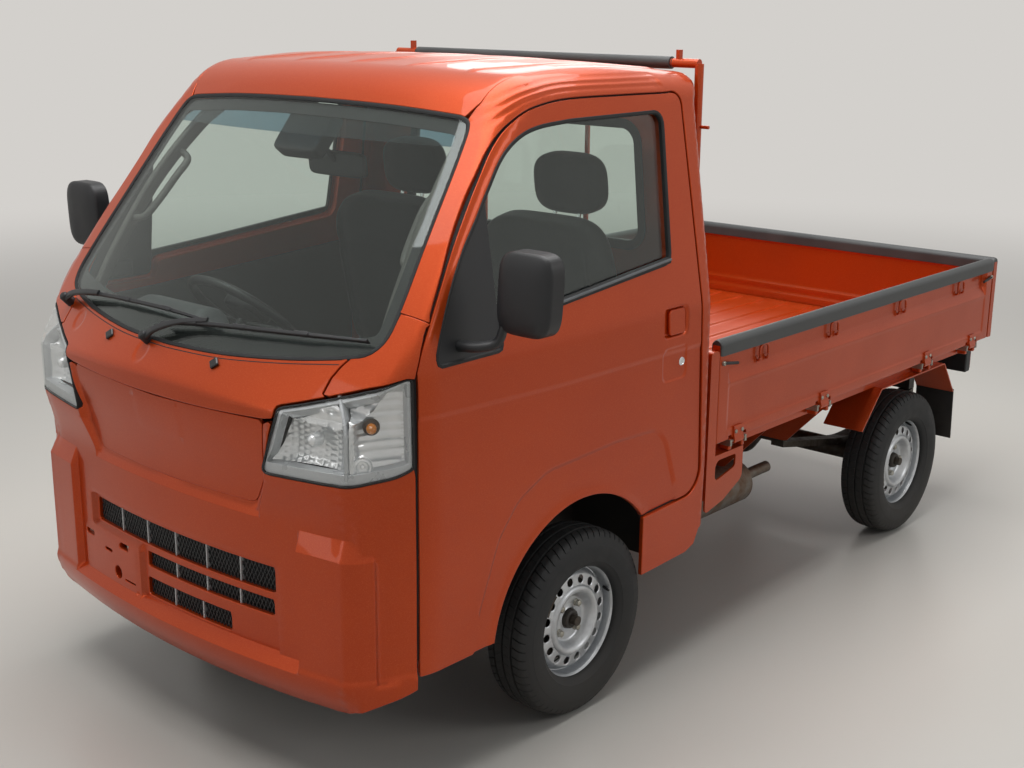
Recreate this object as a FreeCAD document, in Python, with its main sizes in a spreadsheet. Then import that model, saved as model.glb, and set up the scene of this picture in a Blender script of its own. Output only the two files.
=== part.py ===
"""Kei truck: a small cab-over pickup with a drop-side load bed.

Row frame: +X is the vehicle's left, +Y its rear and +Z up. The origin is the middle of the
footprint, on the road. Every length is in millimetres and every angle in degrees.
"""
import FreeCAD, Part
import math
import os
import Sketcher

document = FreeCAD.newDocument("kei_truck")
sheet = document.addObject("Spreadsheet::Sheet", "Sizes")
Vector = FreeCAD.Vector

# Columns: name, value, what it measures.
SIZES = (
    ("overall_length", 3395, "front of the nose to the back of the tail gate's hinges"),
    ("body_width", 1475, "outer faces of the cab and of the side gates' hinges"),
    ("wheelbase", 1900, "front axle to rear axle"),
    ("front_overhang", 850, "nose to front axle"),
    ("wheel_track", 1305, "wheel middle to wheel middle, both axles"),
    ("tyre_diameter", 528, "outside of the tread"),
    ("tyre_width", 145, "sidewall to sidewall"),
    ("rim_seat_radius", 152, "where the tyre's beads sit"),
    ("rim_flange_radius", 168, "edge of the rim"),
    ("rim_width", 114, "outside of one flange to outside of the other"),
    ("fit_clearance", 0.3, "between pieces seated on each other"),
    ("shaft_clearance", 0.08, "radial, shaft in its hole"),
    ("spindle_radius", 14, "stub axle through the hub"),
    ("hub_reach", 44, "hub's half length"),
    # cab
    ("cab_length", 1392, "nose to the cab's back"),
    ("sill_height", 338, "bottom of the cab's sides"),
    ("bumper_top", 831, "bumper's upper edge"),
    ("bumper_bottom", 235, "bumper's lower edge"),
    ("bumper_wall", 16, "bumper moulding"),
    ("nose_height", 1046, "top of the upright nose"),
    ("screen_foot", 1072, "windscreen's lower edge at the middle"),
    ("screen_setback", 60, "nose to the windscreen's foot"),
    ("screen_lean", 39.7, "windscreen's lean back from upright, degrees"),
    ("screen_radius", 2900, "windscreen's curve across the cab"),
    ("nose_radius", 3125, "nose's curve across the cab"),
    ("header_height", 1735, "where the windscreen's line meets the roof's"),
    ("roof_height", 1757, "crown of the roof"),
    ("shoulder_height", 1080, "where the cab's sides start to lean in"),
    ("side_lean", 107, "how far the sides lean in from shoulder to roof"),
    ("side_wall", 50, "whole door or pillar"),
    ("front_wall", 45, "whole nose and windscreen frame"),
    ("roof_wall", 28, "roof with its lining"),
    ("back_wall", 24, "cab's back"),
    ("panel_seam", 0.6, "between panels of the cab"),
    ("glass_inset", 14, "door glass behind the door's face"),
    ("screen_inset", 3, "windscreen behind its frame's face"),
    ("glass_thickness", 4, "every pane"),
    ("arch_radius", 345, "front wheel opening"),
    ("arch_setback", 25, "front wheel opening's middle ahead of the axle"),
    ("arch_middle", 290, "front wheel opening's middle above the road"),
    ("side_seam", 600, "seam of roof and back with the cab's sides, from the middle"),
    # doors
    ("door_front", 220, "nose to the middle of the door's front gap"),
    ("door_gap", 10, "around the door"),
    ("hinge_depth", 20, "door's hinge axis behind its face"),
    ("hinge_setback", 60, "door's hinge axis behind its front edge"),
    ("hinge_pin_radius", 5, "door hinges"),
    ("hinge_barrel_radius", 9, "door hinges"),
    ("door_skin", 8, "door's face beside its hinges"),
    # floor and chassis
    ("floor_height", 430, "footwell floor"),
    ("floor_sheet", 20, "floor and wheel house walls"),
    ("seat_platform", 660, "floor under the seats"),
    ("cab_floor_half", 640, "footwell floor's half width"),
    ("house_inset", 247.5, "wheel house's inner wall inboard of the wheel's middle"),
    ("rail_inset", 262.5, "frame rail's outer face inboard of the wheel's middle"),
    ("rail_width", 60, "frame rail"),
    ("rail_depth", 100, "frame rail"),
    ("rail_rear_top", 520, "frame rail's top behind the cab"),
    ("kingpin_inset", 117.5, "steering axis inboard of the wheel's middle"),
    ("strut_radius", 34, "suspension strut with its spring"),
    ("knuckle_radius", 24, "knuckle's upright"),
    ("arm_height", 200, "top of the lower suspension arms"),
    ("axle_radius", 35, "rear axle tube"),
    ("spring_inset", 187.5, "leaf spring's middle inboard of the wheel's middle"),
    ("spring_width", 50, "leaf spring"),
    ("spring_reach", 480, "axle to the leaf spring's eye"),
    # load bed
    ("cab_to_bed", 10, "cab's back to the bed's front wall"),
    ("bed_wall", 42, "bed's front wall"),
    ("bed_floor_top", 663, "loading height"),
    ("bed_sheet", 12, "ribbed floor"),
    ("bed_sill_bottom", 600, "cross bearers' lower face"),
    ("bed_sill_width", 45, "sills round the bed's floor"),
    ("gate_thickness", 32, "side gates and tail gate"),
    ("gate_bottom", 640, "gates' lower edge"),
    ("gate_top", 953, "gates' upper edge, pad included"),
    ("gate_gap", 5, "between gates, and gate to bed"),
    ("gate_pin_drop", 8, "gate's hinge axis below its lower edge"),
    ("gate_pin_radius", 4, "gate hinges"),
    ("gate_barrel_radius", 8, "gate hinges; their axes lie in the gates' outer faces"),
    ("gate_notch_radius", 26, "room in the gates' lower edges for the bed's hinge ears"),
    ("guard_bar_radius", 13, "guard frame's tube"),
    ("guard_height", 1748, "guard frame's top bar, upper side"),
    ("guard_hook_top", 1772, "guard frame's end hooks"),
    ("guard_half", 607, "guard frame's posts from the middle"),
    ("mirror_reach", 232.5, "mirror's outer edge out from the cab's side"),
)


class Size:
    """A number worked out from the sheet, with the expression that gives it."""

    def __init__(self, value, text=None):
        self.value = float(value)
        self.text = repr(self.value) if text is None else text

    def _with(self, other, sign, value):
        return Size(value, f"({self.text} {sign} {as_size(other).text})")

    def __add__(self, other):
        return self._with(other, "+", self.value + as_size(other).value)

    def __sub__(self, other):
        return self._with(other, "-", self.value - as_size(other).value)

    def __mul__(self, other):
        return self._with(other, "*", self.value * as_size(other).value)

    def __truediv__(self, other):
        return self._with(other, "/", self.value / as_size(other).value)

    def __radd__(self, other):
        return as_size(other) + self

    def __rsub__(self, other):
        return as_size(other) - self

    def __rmul__(self, other):
        return as_size(other) * self

    def __neg__(self):
        return as_size(0) - self

    def sine(self):
        return Size(math.sin(math.radians(self.value)), f"sin({self.text})")

    def cosine(self):
        return Size(math.cos(math.radians(self.value)), f"cos({self.text})")


def as_size(value):
    """The value as a Size."""
    return value if isinstance(value, Size) else Size(value)


class Sheet:
    """Reads a named size as a Size bound to its cell."""

    def __init__(self):
        self.values = {}
        for row, (name, value, meaning) in enumerate(SIZES, start=1):
            sheet.set(f"A{row}", meaning)
            sheet.set(f"B{row}", str(value))
            sheet.setAlias(f"B{row}", name)
            self.values[name] = Size(value, f"Sizes.{name}")

    def __getattr__(self, name):
        return self.values[name]


s = Sheet()
document.recompute()

NODES = []
X_AXIS = Vector(1, 0, 0)
Y_AXIS = Vector(0, 1, 0)
Z_AXIS = Vector(0, 0, 1)
PLANES = {"top": "XY_Plane", "front": "XZ_Plane", "side": "YZ_Plane"}
TURNS = {
    "X": FreeCAD.Rotation(Y_AXIS, 90),
    "Y": FreeCAD.Rotation(X_AXIS, -90),
    "Z": FreeCAD.Rotation(),
}


# ---------------------------------------------------------------- building blocks
def bind(thing, prop, value):
    """Ties one property to the expression of a size."""
    thing.setExpression(prop, as_size(value).text)


def place(thing, x, y, z):
    """Ties a thing's position."""
    for axis, value in zip("xyz", (x, y, z)):
        bind(thing, f"Placement.Base.{axis}", value)
    return thing


def hold(sketch, element, point, across, up):
    """Dimensions one sketch point from the sketch's origin."""
    for kind, value in (("DistanceX", across), ("DistanceY", up)):
        index = sketch.addConstraint(Sketcher.Constraint(kind, -1, 1, element, point, value.value))
        sketch.setExpression(f"Constraints[{index}]", value.text)


def outline(sketch, corners):
    """Closes straight sides through corners (across, up) or (across, up, rounding radius)."""
    corners = [tuple(as_size(part) for part in corner) for corner in corners]
    points = [Vector(corner[0].value, corner[1].value, 0) for corner in corners]
    joins = []
    for index, corner in enumerate(corners):
        here = points[index]
        if len(corner) == 2:
            joins.append((here, here, None, 0))
            continue
        back = (points[index - 1] - here).normalize()
        ahead = (points[(index + 1) % len(points)] - here).normalize()
        half = back.getAngle(ahead) / 2
        reach = corner[2].value / math.tan(half)
        middle = here + (back + ahead).normalize() * (corner[2].value / math.sin(half))
        turn = (-back).cross(ahead).z
        joins.append((here + back * reach, here + ahead * reach, middle, turn))
    sides = []
    for index, join in enumerate(joins):
        after = joins[(index + 1) % len(joins)]
        sides.append(sketch.addGeometry(Part.LineSegment(join[1], after[0]), False))
    for index, corner in enumerate(corners):
        first, last, middle, turn = joins[index]
        before = sides[index - 1]
        after = sides[index]
        if middle is None:
            sketch.addConstraint(Sketcher.Constraint("Coincident", before, 2, after, 1))
            hold(sketch, after, 1, corner[0], corner[1])
            continue
        start, end = (first, last) if turn > 0 else (last, first)
        angles = [math.atan2(point.y - middle.y, point.x - middle.x) for point in (start, end)]
        circle = Part.Circle(middle, Z_AXIS, corner[2].value)
        arc = sketch.addGeometry(Part.ArcOfCircle(circle, angles[0], angles[1]), False)
        peak = sketch.addGeometry(Part.Point(points[index]), True)
        hold(sketch, peak, 1, corner[0], corner[1])
        sketch.addConstraint(Sketcher.Constraint("PointOnObject", peak, 1, before))
        sketch.addConstraint(Sketcher.Constraint("PointOnObject", peak, 1, after))
        near, far = (1, 2) if turn > 0 else (2, 1)
        sketch.addConstraint(Sketcher.Constraint("Tangent", before, 2, arc, near))
        sketch.addConstraint(Sketcher.Constraint("Tangent", arc, far, after, 1))
        index = sketch.addConstraint(Sketcher.Constraint("Radius", arc, corner[2].value))
        sketch.setExpression(f"Constraints[{index}]", corner[2].text)


def sketch_in(body, plane, level):
    """An empty sketch on one of the body's planes, moved along that plane's normal."""
    sketch = body.newObject("Sketcher::SketchObject", "Outline")
    support = [part for part in body.Origin.OriginFeatures if part.Role == PLANES[plane]][0]
    sketch.AttachmentSupport = [(support, "")]
    sketch.MapMode = "FlatFace"
    bind(sketch, "AttachmentOffset.Base.z", level)
    return sketch


def slab(plane, corners, low, high, holes=()):
    """A flat outline given thickness from low to high along the plane's row axis."""
    body = document.addObject("PartDesign::Body", "Slab")
    low, high = as_size(low), as_size(high)
    # The front plane's normal is -Y, so its outline starts from the high side.
    sketch = sketch_in(body, plane, -high if plane == "front" else low)
    for chain in (corners,) + tuple(holes):
        outline(sketch, chain)
    pad = body.newObject("PartDesign::Pad", "Pad")
    pad.Profile = sketch
    bind(pad, "Length", high - low)
    return body


def turned(corners):
    """Corners (along X, radius) turned about the X axis."""
    body = document.addObject("PartDesign::Body", "Turned")
    sketch = sketch_in(body, "front", 0)
    outline(sketch, corners)
    spin = body.newObject("PartDesign::Revolution", "Spin")
    spin.Profile = sketch
    spin.ReferenceAxis = (sketch, ["H_Axis"])
    spin.Angle = 360
    return body


def box(x_low, x_high, y_low, y_high, z_low, z_high):
    """A block between two corners."""
    block = document.addObject("Part::Box", "Block")
    bind(block, "Length", as_size(x_high) - x_low)
    bind(block, "Width", as_size(y_high) - y_low)
    bind(block, "Height", as_size(z_high) - z_low)
    return place(block, x_low, y_low, z_low)


def rod(axis, radius, x, y, z, length):
    """A round bar from a point along +X, +Y or +Z."""
    bar = document.addObject("Part::Cylinder", "Bar")
    bar.Placement = FreeCAD.Placement(Vector(), TURNS[axis])
    bind(bar, "Radius", radius)
    bind(bar, "Height", length)
    return place(bar, x, y, z)


def fuse(*parts):
    """One solid of several that meet."""
    whole = document.addObject("Part::MultiFuse", "Joined")
    whole.Shapes = list(parts)
    return whole


def common(*parts):
    """What all the parts share."""
    shared = document.addObject("Part::MultiCommon", "Shared")
    shared.Shapes = list(parts)
    return shared


def cut(base, *tools):
    """The base with every tool taken out."""
    rest = document.addObject("Part::Cut", "Rest")
    rest.Base = base
    rest.Tool = tools[0] if len(tools) == 1 else fuse(*tools)
    return rest


def mirrored(part):
    """The part on the vehicle's other side."""
    twin = document.addObject("Part::Mirroring", "Twin")
    twin.Source = part
    twin.Normal = X_AXIS
    return twin


def both(part):
    """The part and its twin."""
    return part, mirrored(part)


def node(name, *parts):
    """Names a finished sub-part; several separate solids become one compound."""
    piece = parts[0]
    if len(parts) > 1:
        piece = document.addObject("Part::Compound", name)
        piece.Links = list(parts)
    piece.Label = name
    NODES.append(piece)
    return piece


def pair(name, left):
    """Names a left-hand sub-part and makes its right-hand twin."""
    node(f"{name}_left", left)
    node(f"{name}_right", mirrored(left))


# ---------------------------------------------------------------- places shared by many pieces
front = -s.overall_length / 2
rear = s.overall_length / 2
side = s.body_width / 2
front_axle = front + s.front_overhang
rear_axle = front_axle + s.wheelbase
hub = s.tyre_diameter / 2
wheel_middle = s.wheel_track / 2
rail_outer = wheel_middle - s.rail_inset
rail_inner = rail_outer - s.rail_width
kingpin = wheel_middle - s.kingpin_inset
spring_middle = wheel_middle - s.spring_inset
house_wall_x = wheel_middle - s.house_inset
cab_back = front + s.cab_length
arch_y = front_axle - s.arch_setback
door_y = front + s.door_front
FAR = 900          # past any face of the vehicle sideways, for tools that cut right through
BELOW = 200        # below the cab, for the same use
ABOVE = 1900       # above the cab


# ---------------------------------------------------------------- cab shell
def cab_form(inset_front, inset_side, inset_roof, inset_back, low):
    """The cab's outer form, or the same moved inwards: five profiles that trim each other."""
    f, w, r, b = (as_size(inset) for inset in (inset_front, inset_side, inset_roof, inset_back))
    steep = s.screen_lean.cosine()
    run = s.screen_lean.sine() / steep
    foot_y = front + s.screen_setback + f / steep
    header_y = foot_y + (s.header_height - s.screen_foot - r) * run
    profile = slab("side", (
        (front + f, low),
        (front + f, s.nose_height - f / 3, 30),
        (foot_y, s.screen_foot - f / 3),
        (header_y, s.header_height - r, 200),
        (front + 1000, s.roof_height - r, 2500),
        (cab_back + 40 - b, s.roof_height - 33 - r),
        (cab_back + 40 - b, s.roof_height - 55 - r),
        (cab_back - b, s.roof_height - 115 - r),
        (cab_back - b, low),
    ), -FAR, FAR)
    eaves = side - s.side_lean - w
    section = slab("front", (
        (-side + w + 10, BELOW), (side - w - 10, BELOW),
        (side - w, 600, 1500), (side - 5 - w, s.shoulder_height, 300),
        (eaves, s.header_height + 8 - r, 105),
        (0, s.roof_height - r, 6000),
        (-eaves, s.header_height + 8 - r, 105),
        (-side + 5 + w, s.shoulder_height, 300), (-side + w, 600, 1500),
    ), front - 10, cab_back + 100)
    corner_y = front + 251 + w * 0.24
    plan = slab("top", (
        (-side + w, corner_y, 150), (-side + 129 + w * 1.12, front - 5),
        (side - 129 - w * 1.12, front - 5), (side - w, corner_y, 150),
        (side - w, cab_back + 100), (-side + w, cab_back + 100),
    ), BELOW, ABOVE)
    nose = rod("Z", s.nose_radius - f, 0, front + s.nose_radius, BELOW, ABOVE)
    screen = document.addObject("Part::Cylinder", "ScreenCurve")
    screen.Placement = FreeCAD.Placement(Vector(), FreeCAD.Rotation(X_AXIS, 0))
    screen.Placement.Rotation = FreeCAD.Rotation(X_AXIS, -s.screen_lean.value)
    screen.setExpression("Placement.Rotation.Angle", f"{s.screen_lean.text} * 1deg")
    bind(screen, "Radius", s.screen_radius - f)
    bind(screen, "Height", 4 * FAR)
    place(screen, 0,
          front + s.screen_setback + s.screen_radius * steep - 2 * FAR * s.screen_lean.sine(),
          s.screen_foot - s.screen_radius * s.screen_lean.sine() - 2 * FAR * steep)
    return common(profile, section, plan, nose, screen)


outer = cab_form(0, 0, 0, 0, s.sill_height)
inner = cab_form(s.front_wall, s.side_wall, s.roof_wall, s.back_wall, BELOW)
shell = cut(outer, inner)

screen_opening = slab("front", (
    (-side + 98, s.screen_foot + 52, 40), (0, s.screen_foot, 3000), (side - 98, s.screen_foot + 52, 40),
    (side - 190, s.header_height - 93, 70), (0, s.header_height - 73, 4000),
    (-side + 190, s.header_height - 93, 70),
), front - 10, front + 700)

lamp_bottom = s.bumper_top
lamp_opening = slab("front", (
    (side - 352, lamp_bottom), (side + 20, lamp_bottom + 14), (side + 20, s.nose_height + 32),
    (side - 298, s.nose_height - 42, 12),
), front - 10, door_y - s.door_gap / 2)

arch = rod("X", s.arch_radius, -FAR, arch_y, s.arch_middle, 2 * FAR)

# Columns: distance behind the door's front line, height, rounding, way inwards along Y and Z.
DOOR_CORNERS = (
    (0, s.sill_height, None, 1, 0),
    (0, s.shoulder_height + 25, 120, 1, 0),
    (382, s.header_height - 71, 270, 1.0, -1),
    (1099, s.header_height - 67, 75, -1, -1),
    (1139, s.sill_height + 184, 75, -1, 1),
    (868, s.sill_height + 174, None, 0, 1),
    (868, s.sill_height, None, 0, 0),
)


def door_outline(inwards):
    """The door's edge in side view, moved inwards."""
    corners = []
    for back, height, radius, way_y, way_z in DOOR_CORNERS:
        corner = (door_y + back + inwards * way_y, height + inwards * way_z)
        corners.append(corner if radius is None else corner + (radius,))
    return corners


door_opening = slab("side", door_outline(-s.door_gap / 2), side - 260, side + 40)
door_block = slab("side", door_outline(s.door_gap / 2), side - 260, side + 40)
window_opening = slab("side", (
    (door_y + 68, s.shoulder_height + 16, 10), (door_y + 193, s.shoulder_height + 255, 500),
    (door_y + 385, s.header_height - 123, 200), (door_y + 1008, s.header_height - 117, 25),
    (door_y + 986, s.shoulder_height + 135, 22), (door_y + 283, s.shoulder_height + 66),
    (door_y + 278, s.shoulder_height + 16),
), side - 260, side + 40)

opening_front = door_y - s.door_gap / 2
nose_top = s.shoulder_height + 47

# --- nose, with the bulkhead behind it
nose_zone = box(-FAR, FAR, front - 10, opening_front, s.bumper_top + s.panel_seam, nose_top)
bulkhead = common(box(-side, side, front + 96, front + 108, s.floor_height, s.nose_height + 14), inner)
lamp_shelf = box(-350, 350, front + 30, front + 100, s.bumper_top + s.panel_seam, s.bumper_top + 13)
nose_skin = cut(common(shell, nose_zone), screen_opening, *both(lamp_opening))
node("front_panel", fuse(nose_skin, lamp_shelf, bulkhead))
left_lamp = common(shell, cut(lamp_opening, box(0, FAR, front - 20, rear, BELOW, s.bumper_top + s.panel_seam)))
node("headlamps", *both(left_lamp))

# --- cab sides: pillars, roof rail and sill, with the hinge posts
post_inner = side - 137
post_outer = side - 97
hinge_x = side - s.hinge_depth
hinge_y = door_y + s.door_gap / 2 + s.hinge_setback
HINGE_HEIGHTS = (s.sill_height + 190, s.sill_height + 600)
pillar_zone = box(500, FAR, front - 10, front + 800, nose_top + s.panel_seam, s.header_height - 135)
rail_zone = box(s.side_seam, FAR, front - 10, cab_back + 100, s.header_height - 135, ABOVE)
rear_zone = box(s.side_seam, FAR, opening_front, cab_back + 100, BELOW, s.header_height - 134)
side_skin = common(shell, fuse(pillar_zone, rail_zone, rear_zone))
side_skin = cut(side_skin, door_opening, screen_opening, arch)
post = box(post_inner, post_outer, opening_front - 18, hinge_y + 10, s.floor_height, s.shoulder_height + 20)
pillar_foot = cut(box(post_inner, post_outer + 20, opening_front - 12, opening_front - 2,
                      s.shoulder_height, nose_top + 50), nose_skin)
fixed_hinges = []
for height in HINGE_HEIGHTS:
    fixed_hinges.append(box(post_outer - 5, hinge_x, hinge_y - 6, hinge_y + 6, height - 4, height + 4))
    fixed_hinges.append(rod("Z", s.hinge_pin_radius, hinge_x, hinge_y, height - 22, 44))
pair("cab_side", fuse(side_skin, post, pillar_foot, *fixed_hinges))

# --- roof, back and glass
roof_zone = box(-s.side_seam + s.panel_seam, s.side_seam - s.panel_seam, front, cab_back + 100,
                s.header_height - 135 + s.panel_seam, ABOVE)
node("roof_panel", cut(common(shell, roof_zone), screen_opening, *both(door_opening)))
rear_opening = slab("front", (
    (-485, 1210, 40), (485, 1210, 40), (450, 1560, 50), (-450, 1560, 50),
), cab_back - 120, cab_back + 60)
back_zone = box(-s.side_seam + s.panel_seam, s.side_seam - s.panel_seam, cab_back - 60, cab_back + 60,
                s.rail_rear_top + 4, s.header_height - 135)
node("cab_back_panel", cut(common(shell, back_zone), rear_opening))
screen_face = cab_form(s.screen_inset, 0, 0, 0, s.sill_height)
screen_back = cab_form(s.screen_inset + s.glass_thickness, 0, 0, 0, BELOW)
node("windscreen", common(cut(screen_face, screen_back), screen_opening))
pane_middle = cab_back - s.back_wall / 2
pane = box(-FAR, FAR, pane_middle - s.glass_thickness / 2, pane_middle + s.glass_thickness / 2, 900, 1700)
node("rear_window", common(pane, rear_opening))

# ---------------------------------------------------------------- doors
door_half = common(shell, door_block)
pockets = []
barrels = []
for height in HINGE_HEIGHTS:
    pockets.append(box(hinge_x - 60, side - s.door_skin, hinge_y - 90, hinge_y + 14, height - 26, height + 26))
    for low in (height - 21, height + 5):
        sleeve = fuse(
            rod("Z", s.hinge_barrel_radius, hinge_x, hinge_y, low, 16),
            box(hinge_x, side - s.door_skin + 2, hinge_y - 6, hinge_y + 16, low, low + 16))
        bore = rod("Z", s.hinge_pin_radius + s.shaft_clearance, hinge_x, hinge_y, low - 1, 18)
        barrels.append(cut(sleeve, bore))
# The front edge's inner corner is cut back, so that it swings in past the post.
swing_room = box(side - 260, hinge_x - 34, door_y - 40, hinge_y, BELOW, s.shoulder_height + 120)
door = fuse(cut(door_half, arch, window_opening, swing_room, *pockets), *barrels)
pair("door", door)
glass_face = cab_form(0, s.glass_inset, 0, 0, s.sill_height)
glass_back = cab_form(0, s.glass_inset + s.glass_thickness, 0, 0, BELOW)
pair("door_glass", common(cut(glass_face, glass_back), window_opening))

mirror_outer = side + s.mirror_reach
mirror_y = door_y + 180
housing = slab("top", (
    (mirror_outer - 165, mirror_y - 30, 20), (mirror_outer, mirror_y - 10, 25),
    (mirror_outer - 5, mirror_y + 35, 15), (mirror_outer - 165, mirror_y + 30, 10),
), s.shoulder_height + 90, s.shoulder_height + 285)
stalk = box(side - 60, mirror_outer - 120, mirror_y - 25, mirror_y + 5,
            s.shoulder_height + 38, s.shoulder_height + 66)
riser = box(mirror_outer - 150, mirror_outer - 120, mirror_y - 25, mirror_y + 5,
            s.shoulder_height + 38, s.shoulder_height + 92)
stand_off = cab_form(0, s.glass_inset - s.fit_clearance, 0, 0, BELOW)
pair("mirror", cut(fuse(housing, stalk, riser), stand_off))


# ---------------------------------------------------------------- bumper
def bumper_form(inset, top, back):
    """The bumper's outer form, or the same moved inwards."""
    profile = slab("side", (
        (front + 5 + inset, top), (front + 5 + inset, s.bumper_bottom + 95, 40),
        (front + 58 + inset, s.bumper_bottom + inset, 15), (back, s.bumper_bottom + inset),
        (back, top),
    ), -FAR, FAR)
    section = slab("front", (
        (-side + 90 + inset, BELOW), (side - 90 - inset, BELOW),
        (side - 8 - inset, s.bumper_bottom + 110, 60), (side - 2 - inset, top),
        (-side + 2 + inset, top), (-side + 8 + inset, s.bumper_bottom + 110, 60),
    ), front - 10, back)
    corner_y = front + 251 + inset * 0.24
    plan = slab("top", (
        (-side + inset, corner_y, 150), (-side + 129 + inset * 1.12, front - 5),
        (side - 129 - inset * 1.12, front - 5), (side - inset, corner_y, 150),
        (side - inset, cab_back), (-side + inset, cab_back),
    ), BELOW, ABOVE)
    nose = rod("Z", s.nose_radius - 5 - inset, 0, front + s.nose_radius, BELOW, ABOVE)
    return common(profile, section, plan, nose)


bumper_back = opening_front - 2
bumper_shell = cut(
    bumper_form(as_size(0), s.bumper_top, bumper_back),
    bumper_form(s.bumper_wall, s.bumper_top + 20, bumper_back + 30))
# Columns: left edge, right edge, lower edge, upper edge, number of openings.
GRILLE_ROWS = (
    (-400, 430, 556, 612, 7),
    (-108, 420, 480, 522, 4),
    (-112, 242, 398, 436, 3),
)
GRILLE_BAR = 12
openings = []
for low_x, high_x, low_z, high_z, count in GRILLE_ROWS:
    pitch = (high_x - low_x + GRILLE_BAR) / count
    for index in range(count):
        x = low_x + index * pitch
        openings.append(box(x, x + pitch - GRILLE_BAR, front - 10, front + 90, low_z, high_z))
# A number plate is held by two screws, left of the grille.
PLATE_X = -285
PLATE_Z = 500
PLATE_SPACING = 210
# The plate's flat seat is let into the curved face.
plate_face_y = front + 23.5
plate_low, plate_high = PLATE_Z - 45, PLATE_Z + 45
plate_start, plate_stop = PLATE_X - 140, PLATE_X + 140
plate_seat = box(plate_start, plate_stop, plate_face_y, plate_face_y + s.bumper_wall, plate_low, plate_high)
plate_room = box(plate_start, plate_stop, front - 10, plate_face_y, plate_low, plate_high)
plate_holes = []
for way in (-0.5, 0.5):
    plate_holes.append(rod("Y", 3.5, PLATE_X + PLATE_SPACING * way, front - 10, PLATE_Z, 80))
node("front_bumper", cut(fuse(cut(bumper_shell, plate_room, *openings), plate_seat), *plate_holes))

# ---------------------------------------------------------------- cab inside
platform_low = s.seat_platform - s.floor_sheet
house_front = arch_y - s.arch_radius - 8
house_rear = arch_y + s.arch_radius
inside_back = cab_back - s.back_wall
floor_bottom = s.floor_height - s.floor_sheet
footwell = box(-s.cab_floor_half, s.cab_floor_half, front + 108, house_front, floor_bottom, s.floor_height)
riser = box(-s.cab_floor_half, s.cab_floor_half, house_front, house_front + 8, floor_bottom, s.seat_platform)
platform = box(-side + 72, side - 72, house_front, inside_back, platform_low, s.seat_platform)
house_wall = box(house_wall_x, house_wall_x + 8, house_front, house_rear + 8,
                 floor_bottom - 50, s.seat_platform)
house_end = box(house_wall_x, side - 72, house_rear, house_rear + 8, floor_bottom - 50, s.seat_platform)
node("cab_floor", fuse(footwell, riser, platform, *both(house_wall), *both(house_end)))

SEAT_MIDDLE = 320
SEAT_HALF = 230
seat_front = front + 660
seat_back = front + 1150
cushion = slab("side", (
    (seat_front, s.seat_platform + s.fit_clearance, 10), (seat_front - 25, s.seat_platform + 90, 50),
    (seat_front + 30, s.seat_platform + 135, 40), (seat_back, s.seat_platform + 110),
    (seat_back, s.seat_platform + s.fit_clearance),
), SEAT_MIDDLE - SEAT_HALF, SEAT_MIDDLE + SEAT_HALF)
backrest = slab("side", (
    (seat_back - 40, s.seat_platform + 60), (seat_back + 40, s.seat_platform + 620, 40),
    (seat_back + 125, s.seat_platform + 610, 30), (seat_back + 75, s.seat_platform + 60, 30),
), SEAT_MIDDLE - SEAT_HALF + 10, SEAT_MIDDLE + SEAT_HALF - 10)
headrest = slab("side", (
    (seat_back + 45, s.seat_platform + 600), (seat_back + 40, s.seat_platform + 830, 35),
    (seat_back + 120, s.seat_platform + 830, 35), (seat_back + 115, s.seat_platform + 600),
), SEAT_MIDDLE - 125, SEAT_MIDDLE + 125)
node("seats", *both(fuse(cushion, backrest, headrest)))

# --- steering wheel on a shaft that leans back towards the driver
COLUMN_LEAN = 42
WHEEL_SPREAD = 178
wheel_y = front + 545
wheel_z = s.nose_height - 26


def on_column(part, distance):
    """Sets a part that is made along Z on the steering axis, this far below the wheel's middle."""
    slope = Size(COLUMN_LEAN)
    part.Placement = FreeCAD.Placement(Vector(), FreeCAD.Rotation(X_AXIS, -COLUMN_LEAN))
    return place(part, -SEAT_MIDDLE, wheel_y - distance * slope.sine(), wheel_z - distance * slope.cosine())


def column_bar(radius, start, end):
    """A round bar on the steering axis, between two distances below the wheel's middle."""
    bar = document.addObject("Part::Cylinder", "ColumnBar")
    bind(bar, "Radius", radius)
    bind(bar, "Height", as_size(start) - end)
    return on_column(bar, start)


SHAFT_RADIUS = 9
COLUMN_RADIUS = 20
COLUMN_END = 620
rim = document.addObject("Part::Torus", "SteeringRim")
rim.Radius1 = WHEEL_SPREAD
rim.Radius2 = 14
on_column(rim, 0)
boss = cut(column_bar(42, 62, 8), column_bar(as_size(SHAFT_RADIUS) + s.shaft_clearance, 70, 16))
spokes = []
for turn in (0, 90, 180):
    spoke = document.addObject("Part::Box", "Spoke")
    spoke.Length = WHEEL_SPREAD - 30
    spoke.Width = 36
    spoke.Height = 14
    angle = FreeCAD.Rotation(X_AXIS, -COLUMN_LEAN).multiply(FreeCAD.Rotation(Z_AXIS, turn))
    start = angle.multVec(Vector(35, -18, -16))
    spoke.Placement = FreeCAD.Placement(Vector(), angle)
    place(spoke, -SEAT_MIDDLE + start.x, wheel_y + start.y, wheel_z + start.z)
    spokes.append(spoke)
node("steering_wheel", fuse(rim, boss, *spokes))
node("steering_column", fuse(column_bar(SHAFT_RADIUS, 80, 20), column_bar(34, 260, as_size(62) + 5),
                             column_bar(COLUMN_RADIUS, COLUMN_END, 250)))
bulkhead_back = front + 108
dash_half = post_inner - s.fit_clearance
dash_block = slab("side", (
    (bulkhead_back, s.nose_height - 6), (front + 380, s.nose_height + 14, 40),
    (front + 375, s.nose_height - 110, 30), (front + 330, s.nose_height - 200, 30),
    (front + 260, s.nose_height - 330), (bulkhead_back, s.nose_height - 330),
), -dash_half, dash_half)
column_room = column_bar(as_size(COLUMN_RADIUS) + s.fit_clearance, COLUMN_END + 60, 200)
node("dashboard", cut(common(dash_block, inner), column_room))

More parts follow.
